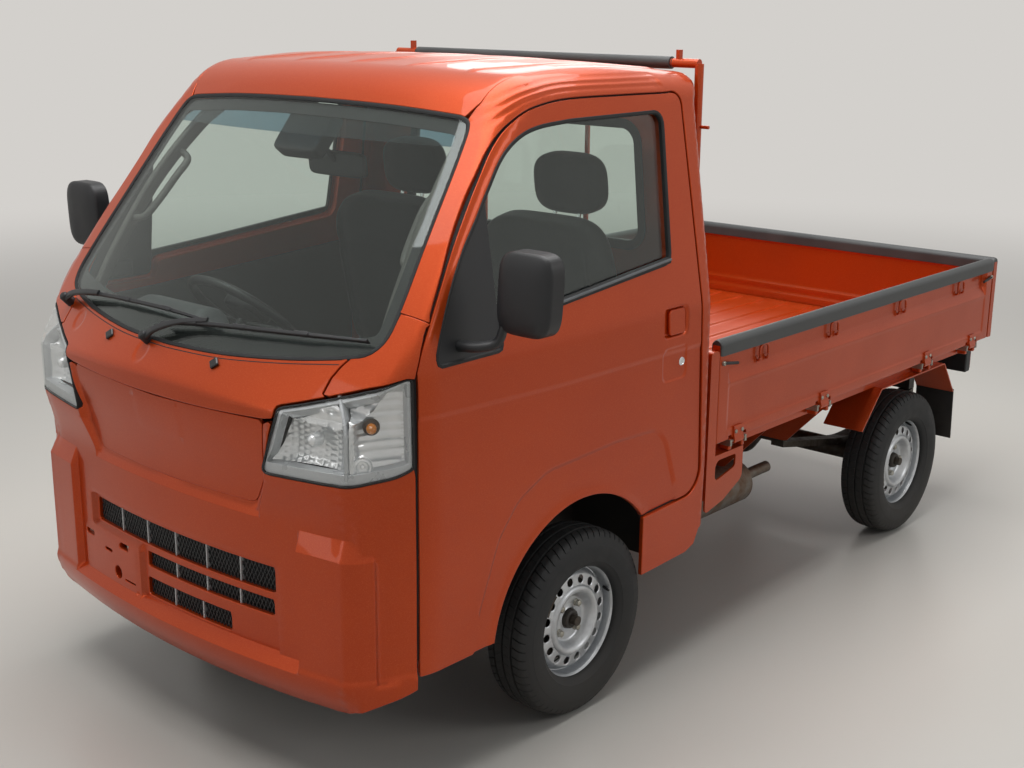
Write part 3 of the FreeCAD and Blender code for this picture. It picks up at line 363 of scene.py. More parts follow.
def turned_profile(profile: Array, centre: Sequence[float], axis: Sequence[float] = (1, 0, 0),
                   count: int = 48) -> Shape:
    """A profile of rows (distance along the axis, radius) turned into a round shape.

    Its first and last rings are closed by a face each.
    """
    axis = unit(np.asarray(axis, float))
    side = unit(np.cross(axis, [0.0, 0.1, 1.0] if abs(axis[2]) < 0.9 else [0.0, 1.0, 0.0]))
    other = np.cross(axis, side)
    turn = np.arange(count) * 2 * math.pi / count
    ring = np.cos(turn)[:, None] * side + np.sin(turn)[:, None] * other
    profile = np.asarray(profile, float)
    net = (np.asarray(centre, float) + profile[:, None, :1] * axis
           + profile[:, None, 1:] * ring[None])
    return solid_of(net)


def rounded_slab(loop: Array, origin: Sequence[float], u: Sequence[float], v: Sequence[float],
                 depth: float, edge: float, rows: int = 3) -> Shape:
    """A plate with a plane outline and rolled edges.

    Its front face lies on the plane through origin, and its body goes back against u cross v.
    Each edge is a quarter circle: inset edge times 1 - sin t at depth edge times 1 - cos t.

    Args:
        loop: the outline (k, 2), in metres along u and v.
        origin: where the outline's zero lies.
        u: the outline's first unit vector.
        v: the outline's second unit vector.
        depth: the plate's thickness.
        edge: radius of the rolled edges.
        rows: faces in each roll.

    Returns:
        The closed plate.
    """
    loop = np.asarray(loop, float)
    if area_of(loop) < 0:
        loop = loop[::-1]
    origin, u, v = (np.asarray(x, float) for x in (origin, u, v))
    back = -unit(np.cross(u, v))
    turn = np.linspace(0, math.pi / 2, rows + 1)
    insets = np.concatenate([edge * (1 - np.sin(turn)), (edge * (1 - np.sin(turn)))[::-1]])
    deep = np.concatenate([edge * (1 - np.cos(turn)), (depth - edge * (1 - np.cos(turn)))[::-1]])
    net = []
    for inset, down in zip(insets, deep):
        flat = outset(loop, -inset)
        net.append(origin + flat[:, :1] * u + flat[:, 1:] * v + back * down)
    return grid(np.array(net), False, True, True)


def block(low: Sequence[float], high: Sequence[float], edge: float = 0.002,
          rows: int = 2) -> Shape:
    """A moulded block between two corners, with its edges and corners rolled.

    Its outline seen from above is a rectangle with arcs of radius edge, and the roll of each
    level follows the same radius.
    """
    low, high = np.minimum(low, high), np.maximum(low, high)
    edge = float(min(edge, 0.49 * np.min(high - low)))
    loop = oblong(low[0], low[1], high[0], high[1], edge, 30)
    return rounded_slab(loop, (0, 0, high[2]), X_UNIT, Y_UNIT, float(high[2] - low[2]),
                        edge * 0.98, rows)


class Slot(Enum):
    """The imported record's material slots."""

    PAINT = "body_paint"
    CHASSIS = "chassis_black"
    GLASS = "glass"
    LENS = "lamp_lens"
    TAIL_LENS = "tail_lens"
    BLACK_PLASTIC = "black_plastic"
    CABIN_PLASTIC = "cabin_plastic"
    SEAT = "seat_fabric"
    TYRE = "tyre_rubber"
    WHEEL = "wheel_silver"
    STEEL = "bare_steel"
    FLAP = "flap_rubber"
    TANK = "tank_steel"
    EXHAUST = "exhaust_steel"


def place(name: str, shape: Shape, finish: "Finish", body: str = "chassis",
          slot: Slot | None = None, replaces: Sequence[str] = (),
          smooth_angle: float = 38.0) -> bpy.types.Object:
    """Puts a shape into the scene as one piece of the truck.

    Args:
        name: the piece's name.
        shape: its mesh, in the row frame.
        finish: its material.
        body: the CAD body that it rides on.
        slot: the record's slot that its finish stands for, if it isn't the finish's usual one; not
            used.
        replaces: the CAD nodes that it stands for.
        smooth_angle: an edge sharper than this, in degrees, is shown sharp.

    Returns:
        The new object.
    """
    mesh = bpy.data.meshes.new(name)
    mesh.from_pydata(shape.points.tolist(), [], [tuple(map(int, f)) for f in shape.faces])
    mesh.validate(clean_customdata=False)
    mesh.polygons.foreach_set("use_smooth", np.ones(len(mesh.polygons), bool))
    thing = bpy.data.objects.new(name, mesh)
    bpy.context.scene.collection.objects.link(thing)
    mesh.materials.append(finish.material())
    if shape.normals is not None and len(shape.normals) == len(mesh.vertices):
        mesh.normals_split_custom_set_from_vertices([tuple(n) for n in shape.normals.tolist()])
    else:
        mesh.set_sharp_from_angle(angle=math.radians(smooth_angle))
        weighted = thing.modifiers.new("Weighted", "WEIGHTED_NORMAL")
        weighted.keep_sharp = True
    slot = slot or finish.slot
    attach(thing, body)
    if replaces:
        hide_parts(*replaces)
    LOG.info("%-28s %6d faces on %s", name, len(shape.faces), body)
    return thing


class Side(Enum):
    """The vehicle's two sides. The value is the sign of X."""

    LEFT = 1
    RIGHT = -1

    @property
    def word(self) -> str:
        """The side's name as the CAD nodes end."""
        return self.name.lower()

    def of(self, shape: Shape) -> Shape:
        """A shape made for the left side, on this side."""
        return shape if self is Side.LEFT else shape.mirrored()


def place_both(name: str, shape: Shape, finish: "Finish", body: str = "chassis",
               slot: Slot | None = None, replaces: Sequence[str] = (),
               smooth_angle: float = 38.0) -> None:
    """The same piece on both sides.

    SIDE in its name, body or nodes turns into left or right. A name without SIDE gets the side at
    its end.
    """
    for side in Side:
        def here(text: str) -> str:
            """A name with its side put in."""
            return text.replace("SIDE", side.word)
        whole = here(name) if "SIDE" in name else f"{name}_{side.word}"
        place(whole, side.of(shape), finish, here(body), slot,
              [here(n) for n in replaces], smooth_angle)


# ---------------------------------------------------------------- finishes

def linear(colour: str) -> tuple[float, float, float, float]:
    """An sRGB hex colour as linear light.

    Each part is divided by 12.92 below 0.04045, and otherwise is ((c + 0.055) / 1.055) to 2.4.
    """
    parts = [int(colour[i:i + 2], 16) / 255 for i in (1, 3, 5)]
    return (*(p / 12.92 if p <= 0.04045 else ((p + 0.055) / 1.055) ** 2.4 for p in parts), 1.0)


def add_node(material: bpy.types.Material, kind: str, settings: dict | None = None,
             inputs: dict | None = None) -> bpy.types.Node:
    """Adds a shader node.

    Args:
        material: the material whose tree gets the node.
        kind: the node's type name.
        settings: its properties by name.
        inputs: its sockets by name or number, each a value or another node's output to link.

    Returns:
        The node.
    """
    tree = material.node_tree
    made = tree.nodes.new(kind)
    for name, value in (settings or {}).items():
        setattr(made, name, value)
    for name, value in (inputs or {}).items():
        if isinstance(value, bpy.types.NodeSocket):
            tree.links.new(value, made.inputs[name])
        else:
            made.inputs[name].default_value = value
    return made


def ranged(material: bpy.types.Material, value: bpy.types.NodeSocket, low: float, high: float,
           to: tuple[float, float] = (0.0, 1.0)) -> bpy.types.NodeSocket:
    """A number whose span from low to high is laid on another span, and held at its ends."""
    return add_node(material, "ShaderNodeMapRange", None,
                    {"Value": value, "From Min": low, "From Max": high, "To Min": to[0],
                     "To Max": to[1]}).outputs["Result"]


def blended(material: bpy.types.Material, factor: bpy.types.NodeSocket,
            first: bpy.types.NodeSocket | tuple, second: tuple) -> bpy.types.NodeSocket:
    """Two colours mixed: the first where factor is 0, the second where it is 1."""
    return add_node(material, "ShaderNodeMix", {"data_type": "RGBA"},
                    {"Factor": factor, 6: first, 7: second}).outputs[2]


@dataclass(frozen=True)
class Finish:
    """One real material. The colour wanders between two close tones, the gloss between two
    roughnesses, and a fine grain raises the surface."""

    name: str
    colour: str
    tint: str
    slot: Slot
    roughness: tuple[float, float] = (0.4, 0.5)
    metallic: float = 0.0
    ior: float = 1.5
    coat: float = 0.0
    coat_roughness: float = 0.05
    blotch_mm: float = 120.0
    grain_mm: float = 1.5
    grain_height_mm: float = 0.02
    grain_cells: bool = False
    sheen: float = 0.0
    transmission: float = 0.0
    glow: float = 0.0
    dust: str = ""
    dust_low: float = 0.0
    dust_high: float = 0.5

    def material(self) -> bpy.types.Material:
        """The Blender material, made once and then shared."""
        found = bpy.data.materials.get(self.name)
        return found if found is not None else self.made()

    def made(self) -> bpy.types.Material:
        """Builds the material's nodes.

        Returns:
            The new material.
        """
        m = bpy.data.materials.new(self.name)
        m.use_nodes = True
        shader = m.node_tree.nodes["Principled BSDF"]
        where = add_node(m, "ShaderNodeTexCoord").outputs["Object"]
        blotch = add_node(m, "ShaderNodeTexNoise", None, {
            "Vector": where, "Scale": 1000 / self.blotch_mm, "Detail": 3.0, "Roughness": 0.55})
        spread = ranged(m, blotch.outputs["Fac"], 0.32, 0.68)
        colour = blended(m, spread, linear(self.colour), linear(self.tint))
        if self.dust:
            colour = self.dusted(m, where, blotch.outputs["Fac"], colour)
        m.node_tree.links.new(colour, shader.inputs["Base Color"])
        gloss = ranged(m, blotch.outputs["Fac"], 0.3, 0.7, self.roughness)
        m.node_tree.links.new(gloss, shader.inputs["Roughness"])
        if self.grain_height_mm > 0:
            height = self.grain(m, where)
            bump = add_node(m, "ShaderNodeBump", None, {
                "Height": height, "Strength": 1.0, "Distance": self.grain_height_mm * MM})
            m.node_tree.links.new(bump.outputs["Normal"], shader.inputs["Normal"])
        sockets = {"Metallic": self.metallic, "IOR": self.ior, "Coat Weight": self.coat,
                   "Coat Roughness": self.coat_roughness, "Sheen Weight": self.sheen,
                   "Transmission Weight": self.transmission}
        for socket, value in sockets.items():
            shader.inputs[socket].default_value = value
        if self.glow > 0:
            shader.inputs["Emission Color"].default_value = linear(self.colour)
            shader.inputs["Emission Strength"].default_value = self.glow
        m.diffuse_color = linear(self.colour)
        return m

    def grain(self, m: bpy.types.Material, where: bpy.types.NodeSocket) -> bpy.types.NodeSocket:
        """The fine relief: cells like leather or cast grain, or plain noise like orange peel."""
        if self.grain_cells:
            cells = add_node(m, "ShaderNodeTexVoronoi", {"feature": "SMOOTH_F1"}, {
                "Vector": where, "Scale": 1000 / self.grain_mm})
            return cells.outputs["Distance"]
        noise = add_node(m, "ShaderNodeTexNoise", None, {
            "Vector": where, "Scale": 1000 / self.grain_mm, "Detail": 2.0})
        return noise.outputs["Fac"]

    def dusted(self, m: bpy.types.Material, where: bpy.types.NodeSocket,
               noise: bpy.types.NodeSocket, colour: bpy.types.NodeSocket) -> bpy.types.NodeSocket:
        """Road dust, thick at dust_low metres above the road and gone at dust_high."""
        height = add_node(m, "ShaderNodeSeparateXYZ", None, {"Vector": where}).outputs["Z"]
        share = ranged(m, height, self.dust_low, self.dust_high, (0.55, 0.0))
        amount = add_node(m, "ShaderNodeMath", {"operation": "MULTIPLY"}, {0: share, 1: noise})
        return blended(m, amount.outputs["Value"], colour, linear(self.dust))


@dataclass(frozen=True)
class FlakePaint(Finish):
    """Two-coat metallic enamel: aluminium flakes in a coloured base under a clear coat.

    Each flake is a cell about 1.2 mm wide, coarser than the real 0.05 mm so that it shows, and some
    cells are a little lighter.
    """

    flake_mm: float = 1.2
    flake_tint: str = "#F08A4A"

    def made(self) -> bpy.types.Material:
        """Builds the flakes on top of the plain finish's nodes: lighter flecks in the base colour,
        partly the flakes' own tone and partly a painted sparkle.
        """
        m = super().made()
        shader = m.node_tree.nodes["Principled BSDF"]
        where = add_node(m, "ShaderNodeTexCoord").outputs["Object"]
        cells = add_node(m, "ShaderNodeTexVoronoi", None, {
            "Vector": where, "Scale": 1000 / self.flake_mm})
        grey = add_node(m, "ShaderNodeSeparateColor", None, {"Color": cells.outputs["Color"]})
        # Lighter flecks in the base colour: partly the flakes' own tone, partly painted sparkle.
        bright = ranged(m, grey.outputs[0], 0.72, 1.0, (0.0, 0.16))
        base = shader.inputs["Base Color"].links[0].from_socket
        flecked = blended(m, bright, base, linear(self.flake_tint))
        m.node_tree.links.new(flecked, shader.inputs["Base Color"])
        return m


# Base coat with aluminium flakes under clear lacquer: deep orange, browner where it turns away.
PAINT = FlakePaint("metallic_enamel", "#BE4208", "#B83E07", Slot.PAINT, (0.34, 0.38),
                   metallic=0.52, ior=1.35, coat=0.35, coat_roughness=0.03, blotch_mm=420,
                   grain_mm=9, grain_height_mm=0.006)
# The same enamel where the bed and frame got less lacquer.
BED_PAINT = FlakePaint("bed_enamel", "#BC420A", "#B23E0B", Slot.PAINT, (0.36, 0.44), metallic=0.4,
                       ior=1.35, coat=0.4, coat_roughness=0.08, blotch_mm=300, grain_mm=7,
                       grain_height_mm=0.02, dust="#8F6F5B", dust_low=0.1, dust_high=0.6)
# Polypropylene with a fine moulded grain: satin black that greys a little on its edges.
PLASTIC = Finish("grained_polypropylene", "#1B1C1E", "#232427", Slot.BLACK_PLASTIC, (0.42, 0.55),
                 grain_mm=1.4, grain_height_mm=0.08, grain_cells=True, blotch_mm=70)
# Gloss ABS: smooth black for washer nozzles, the blank radio panel and the gauge face.
GLOSS = Finish("gloss_abs", "#121315", "#17181B", Slot.BLACK_PLASTIC, (0.12, 0.2), coat=0.3,
               blotch_mm=90, grain_height_mm=0.0)
# Grey gloss strip on the waist moulding: smooth PVC.
STRIP = Finish("grey_pvc_strip", "#5B5F63", "#666A6E", Slot.BLACK_PLASTIC, (0.2, 0.28), coat=0.4,
               blotch_mm=60, grain_height_mm=0.0)
# Gate cap: extruded rubber, worn to a satin dark grey.
PAD = Finish("extruded_rubber_cap", "#3B3D3E", "#474949", Slot.BLACK_PLASTIC, (0.38, 0.5),
             grain_mm=2.0, grain_height_mm=0.03, blotch_mm=160)
# EPDM seal: dull black with a slightly dusty bloom.
RUBBER = Finish("epdm_seal", "#101113", "#191A1C", Slot.BLACK_PLASTIC, (0.6, 0.75), grain_mm=0.8,
                grain_height_mm=0.04, blotch_mm=45)
# Tyre compound: matt black with a brown-grey bloom near the road.
TYRE = Finish("tyre_compound", "#17181A", "#222324", Slot.TYRE, (0.62, 0.8), grain_mm=1.1,
              grain_height_mm=0.05, blotch_mm=40, dust="#4B463F", dust_low=0.0, dust_high=0.35)
# Wheel enamel: bright silver over pressed steel, a soft satin.
SILVER = Finish("wheel_enamel", "#C9CCCF", "#B7BABD", Slot.WHEEL, (0.30, 0.42), metallic=0.75,
                grain_mm=0.9, grain_height_mm=0.02, blotch_mm=35)
# Mirror glass, key cylinders and headrest posts: chrome, vacuum coated.
CHROME = Finish("vacuum_chrome", "#E9ECEE", "#DDE1E4", Slot.STEEL, (0.03, 0.09), metallic=1.0,
                grain_height_mm=0.0, blotch_mm=30)
# Lamp reflectors: lacquered aluminium on a moulding, softer than chrome. Their near-white diffuse
# share, beside a metallic share of 0.45, is a painted reflection of the bright room.
REFLECTOR = Finish("lacquered_reflector", "#F4F5F5", "#E9ECEC", Slot.LENS, (0.10, 0.16),
                   metallic=0.45, grain_height_mm=0.0, blotch_mm=40)
# Zinc-plated bolts and brackets.
ZINC = Finish("zinc_plate", "#A9A79E", "#938F84", Slot.STEEL, (0.3, 0.5), metallic=0.9, grain_mm=2,
              grain_height_mm=0.02, blotch_mm=15)
# Underbody primer: soot black, chipped and dusty near the road.
CHASSIS = Finish("chassis_primer", "#1A1A1B", "#242322", Slot.CHASSIS, (0.5, 0.7), grain_mm=3,
                 grain_height_mm=0.12, blotch_mm=60, dust="#6E6355", dust_low=0.15, dust_high=0.6)
# Cast and machined steel under the truck: dull grey with a brown film.
CAST = Finish("cast_steel", "#57534D", "#43382F", Slot.STEEL, (0.45, 0.7), metallic=0.7,
              grain_mm=2.5, grain_height_mm=0.15, blotch_mm=35)
# Hot-rolled exhaust steel: grey-brown with rust blooms.
EXHAUST = Finish("aluminised_steel", "#77726B", "#6A5240", Slot.EXHAUST, (0.4, 0.65),
                 metallic=0.75, grain_mm=3, grain_height_mm=0.08, blotch_mm=45)
# Terne-coated fuel tank: flat dark grey.
TANK = Finish("terne_steel", "#2A2B2C", "#373735", Slot.TANK, (0.4, 0.55), metallic=0.3, grain_mm=4,
              grain_height_mm=0.1, blotch_mm=90, dust="#6E6355", dust_low=0.2, dust_high=0.6)
# Cabin plastic: dark grey polypropylene with a leather grain.
CABIN = Finish("cabin_polypropylene", "#3A3B3D", "#424345", Slot.CABIN_PLASTIC, (0.5, 0.62),
               grain_mm=2.2, grain_height_mm=0.1, grain_cells=True, blotch_mm=110)
# Lighter cabin lining: grey headliner board.
LINING = Finish("headliner_felt", "#8C8B87", "#96958F", Slot.CABIN_PLASTIC, (0.8, 0.9),
                grain_mm=1.0, grain_height_mm=0.12, blotch_mm=60, sheen=0.3)
# Pillar and wall trim: grey-brown polypropylene with a leather grain.
LINING_DARK = Finish("pillar_polypropylene", "#55534F", "#5E5C57", Slot.CABIN_PLASTIC, (0.5, 0.6),
                     grain_mm=2.0, grain_height_mm=0.08, grain_cells=True, blotch_mm=120)
# Seat cloth: dark grey woven polyester; its 1.2 mm ribs are drawn 2.4 mm wide so that they show.
CLOTH = Finish("woven_polyester", "#2C2D30", "#3A3B3E", Slot.SEAT, (0.85, 0.95), grain_mm=2.4,
               grain_height_mm=0.35, grain_cells=True, blotch_mm=14, sheen=0.35)
# Reinforced rubber flap.
FLAP = Finish("flap_rubber_sheet", "#141415", "#202021", Slot.FLAP, (0.55, 0.7), grain_mm=3,
              grain_height_mm=0.1, blotch_mm=50, dust="#5A5147", dust_low=0.2, dust_high=0.5)
# Amber lamp glass.
AMBER = Finish("amber_polycarbonate", "#E08A1E", "#D97D14", Slot.LENS, (0.08, 0.14), coat=0.6,
               transmission=0.35, blotch_mm=12, grain_height_mm=0.0, glow=0.08)
# Red lamp lens.
RED = Finish("red_acrylic", "#A61214", "#8E0D10", Slot.TAIL_LENS, (0.08, 0.15), coat=0.6,
             transmission=0.25, blotch_mm=15, grain_mm=3, grain_height_mm=0.05)
# White lamp lens with flutes.
WHITE_LENS = Finish("white_acrylic", "#E7E7E4", "#DADAD6", Slot.TAIL_LENS, (0.1, 0.2), coat=0.5,
                    transmission=0.3, blotch_mm=15, grain_mm=3, grain_height_mm=0.05)


@dataclass(frozen=True)
class Pane(Finish):
    """Flat glass. It lets light through with its own tint and mirrors the room by its IOR."""

    see: str = "#C9D2CF"

    def made(self) -> bpy.types.Material:
        """A clear tinted layer under a mirror layer, so that thin glass casts no dark shadow and
        bends nothing. The mirror's share is Schlick's: head on ((n - 1) / (n + 1)) squared, and
        towards the edge the fifth power of the facing."""
        m = bpy.data.materials.new(self.name)
        m.use_nodes = True
        tree = m.node_tree
        tree.nodes.remove(tree.nodes["Principled BSDF"])
        through = add_node(m, "ShaderNodeBsdfTransparent", None, {"Color": linear(self.see)})
        mirror = add_node(m, "ShaderNodeBsdfGlossy", None, {
            "Roughness": 0.0, "Color": linear("#F4F8F8")})
        edge = add_node(m, "ShaderNodeLayerWeight", None, {"Blend": 0.5})
        steep = add_node(m, "ShaderNodeMath", {"operation": "POWER"}, {
            0: edge.outputs["Facing"], 1: 5.0})
        head_on = ((self.ior - 1) / (self.ior + 1)) ** 2
        share = ranged(m, steep.outputs["Value"], 0.0, 1.0, (head_on, 0.9))
        mixed = add_node(m, "ShaderNodeMixShader", None, {0: share, 1: through.outputs[0],
                                                          2: mirror.outputs[0]})
        out = tree.nodes["Material Output"]
        tree.links.new(mixed.outputs[0], out.inputs["Surface"])
        return m


# Laminated windscreen, faintly green.
SCREEN = Pane("laminated_glass", "#C9D2CF", "#C9D2CF", Slot.GLASS, see="#F4F8F6")
# Head lamp lens: hard-coated clear polycarbonate.
LAMP_LENS = Pane("clear_polycarbonate", "#F4F6F6", "#F4F6F6", Slot.LENS, ior=1.35, see="#FEFEFE")
# Lamp bezel: satin grey moulding under the lens.
BEZEL = Finish("satin_grey_moulding", "#C2C5C7", "#CDD0D1", Slot.LENS, (0.25, 0.35), metallic=0.3,
               grain_height_mm=0.0, blotch_mm=60)
# Toughened glass in the doors and the rear window, green-grey.
TINTED = Pane("tinted_glass", "#B4BFBA", "#B4BFBA", Slot.GLASS, ior=1.55, see="#EEF3F0")
# Blue shade band along the top of the windscreen.
SHADE = Pane("blue_shade_band", "#9DB6C4", "#9DB6C4", Slot.GLASS, see="#B9CDD8")


# ---------------------------------------------------------------- stage

@dataclass
class Studio:
    """Pale floor, soft lamps and the camera."""

    camera_at: tuple[float, float, float] = (2.9167, -3.6461, 1.9008)
    azimuth: float = 41.413
    pitch: float = 15.146
    roll: float = 0.498
    lens: float = 49.72
    floor_colour: str = "#D2CDC4"
    floor_mottle: str = "#CFCDC7"
    wall_colour: str = "#D3D0CC"
    sky_colour: str = "#DDE0E4"
    sky_strength: float = 0.27
    floor_roughness: float = 0.30
    fade: tuple[float, float] = (3.5, 10.0)

    def build(self) -> None:
        """Makes the floor, the world, the lamps and the camera."""
        self.camera()
        self.world()
        self.floor()
        self.lamps()
        bpy.context.scene.view_settings.view_transform = "Standard"

    def camera(self) -> None:
        """Looks along the azimuth and pitch, and is rolled a little about its own line."""
        az, pitch, roll = (math.radians(a) for a in (self.azimuth, self.pitch, self.roll))
        back = np.array([math.sin(az) * math.cos(pitch), -math.cos(az) * math.cos(pitch),
                         math.sin(pitch)])
        right = unit(np.cross(Z_UNIT, back))
        up = np.cross(back, right)
        right, up = (math.cos(roll) * right + math.sin(roll) * up,
                     math.cos(roll) * up - math.sin(roll) * right)
        data = bpy.data.cameras.new("camera")
        data.lens, data.sensor_width = self.lens, 36.0
        data.clip_start, data.clip_end = 0.05, 80.0
        thing = bpy.data.objects.new("camera", data)
        bpy.context.scene.collection.objects.link(thing)
        turn = Matrix([[right[i], up[i], back[i]] for i in range(3)])
        thing.matrix_world = Matrix.Translation(Vector(self.camera_at)) @ turn.to_4x4()
        bpy.context.scene.camera = thing

    def world(self) -> None:
        """Even pale light, and the pale wall colour for whatever looks past the floor."""
        world = bpy.data.worlds.new("studio")
        bpy.context.scene.world = world
        world.use_nodes = True
        nodes, links = world.node_tree.nodes, world.node_tree.links
        sky = nodes["Background"]
        sky.inputs["Color"].default_value = linear(self.sky_colour)
        sky.inputs["Strength"].default_value = self.sky_strength
        wall = nodes.new("ShaderNodeBackground")
        wall.inputs["Color"].default_value = linear(self.wall_colour)
        path = nodes.new("ShaderNodeLightPath")
        seen = self.any_of(world.node_tree, path)
        mix = nodes.new("ShaderNodeMixShader")
        links.new(seen, mix.inputs[0])
        links.new(sky.outputs[0], mix.inputs[1])
        links.new(wall.outputs[0], mix.inputs[2])
        links.new(mix.outputs[0], nodes["World Output"].inputs["Surface"])

    @staticmethod
    def any_of(tree: bpy.types.NodeTree, path: bpy.types.Node) -> bpy.types.NodeSocket:
        """1 for a camera, glossy or transmission ray, and 0 for any other."""
        names = ("Is Camera Ray", "Is Glossy Ray", "Is Transmission Ray")
        found = path.outputs[names[0]]
        for name in names[1:]:
            most = tree.nodes.new("ShaderNodeMath")
            most.operation = "MAXIMUM"
            tree.links.new(found, most.inputs[0])
            tree.links.new(path.outputs[name], most.inputs[1])
            found = most.outputs[0]
        return found

    def floor(self) -> None:
        """Polished screed: a pale disc with faint mottling that fades into the wall's colour."""
        turn = np.arange(96) * 2 * math.pi / 96
        radii = np.array([0.001, 2.0, 5.0, 9.0, 16.0, 30.0])
        net = np.stack([np.outer(radii, np.cos(turn)), np.outer(radii, np.sin(turn)),
                        np.zeros((len(radii), 96))], -1)
        shape = grid(net, False, True)
        mesh = bpy.data.meshes.new("floor")
        mesh.from_pydata(shape.points.tolist(), [], shape.faces)
        thing = bpy.data.objects.new("floor", mesh)
        bpy.context.scene.collection.objects.link(thing)
        m = bpy.data.materials.new("polished_screed")
        m.use_nodes = True
        shader = m.node_tree.nodes["Principled BSDF"]
        where = add_node(m, "ShaderNodeTexCoord").outputs["Object"]
        mottle = add_node(m, "ShaderNodeTexNoise", None, {"Vector": where, "Scale": 0.8,
                                                          "Detail": 4.0})
        tone = blended(m, mottle.outputs["Fac"], linear(self.floor_colour),
                       linear(self.floor_mottle))
        m.node_tree.links.new(tone, shader.inputs["Base Color"])
        shader.inputs["Roughness"].default_value = self.floor_roughness
        away = add_node(m, "ShaderNodeVectorMath", {"operation": "LENGTH"}, {0: where})
        far = add_node(m, "ShaderNodeMapRange", {"interpolation_type": "SMOOTHSTEP"}, {
            "Value": away.outputs["Value"], "From Min": self.fade[0], "From Max": self.fade[1]})
        seen = self.any_of(m.node_tree, add_node(m, "ShaderNodeLightPath"))
        share = add_node(m, "ShaderNodeMath", {"operation": "MULTIPLY"}, {
            0: far.outputs["Result"], 1: seen})
        wall = add_node(m, "ShaderNodeEmission", None, {"Color": linear(self.wall_colour)})
        mixed = add_node(m, "ShaderNodeMixShader", None, {
            0: share.outputs["Value"], 1: shader.outputs[0], 2: wall.outputs[0]})
        m.node_tree.links.new(mixed.outputs[0],
                              m.node_tree.nodes["Material Output"].inputs["Surface"])
        mesh.materials.append(m)

    def lamps(self) -> None:
        """One broad lamp overhead, one long strip ahead and a weaker one beside the truck."""
        rows = (("overhead", (0.0, -0.4, 4.6), (0.0, -0.4, 0.0), (3.0, 6.0), 225.0),
                ("front_strip", (-1.8, -5.6, 3.4), (0.0, -0.8, 0.9), (0.8, 3.2), 15.0),
                ("side_soft", (5.0, 1.2, 3.2), (0.6, 0.3, 0.6), (2.6, 1.4), 33.0),
                ("rear_soft", (-3.0, 4.5, 3.6), (0.0, 0.8, 0.6), (3.0, 2.0), 50.0))
        for name, at, aim, size, power in rows:
            data = bpy.data.lights.new(name, "AREA")
            data.shape, data.size, data.size_y, data.energy = "RECTANGLE", *size, power
            thing = bpy.data.objects.new(name, data)
            thing.location = at
            thing.rotation_mode = "QUATERNION"
            thing.rotation_quaternion = (Vector(aim) - Vector(at)).to_track_quat("-Z", "Y")
            bpy.context.scene.collection.objects.link(thing)


# ---------------------------------------------------------------- the cab's form and its panels

def round_max(one: tuple[Array, Array], two: tuple[Array, Array],
              radius: float | Array) -> tuple[Array, Array]:
    """The larger of two distances, with the edge between them rounded by a true arc.

    The arc's middle lies radius below both faces. A point's offset from it is alpha times the
    first way out plus beta times the second, and the arc holds where both are above zero.

    Args:
        one: a distance and its way out, arrays (n,) and (n, 3).
        two: the same for the other face.
        radius: the arc's radius, one number or (n,).

    Returns:
        The joined distance and its way out.
    """
    (a, na), (b, nb) = one, two
    cosine = np.clip(np.sum(na * nb, -1), -0.995, 0.995)
    up, down = a + radius, b + radius
    span = 1 - cosine ** 2
    alpha, beta = (up - down * cosine) / span, (down - up * cosine) / span
    arc = (alpha > 0) & (beta > 0)
    reach = np.sqrt(np.maximum(up * alpha + down * beta, 1e-18))
    bent = (alpha[..., None] * na + beta[..., None] * nb) / reach[..., None]
    plain = np.where((a > b)[..., None], na, nb)
    return (np.where(arc, reach - radius, np.maximum(a, b)),
            np.where(arc[..., None], bent, plain))


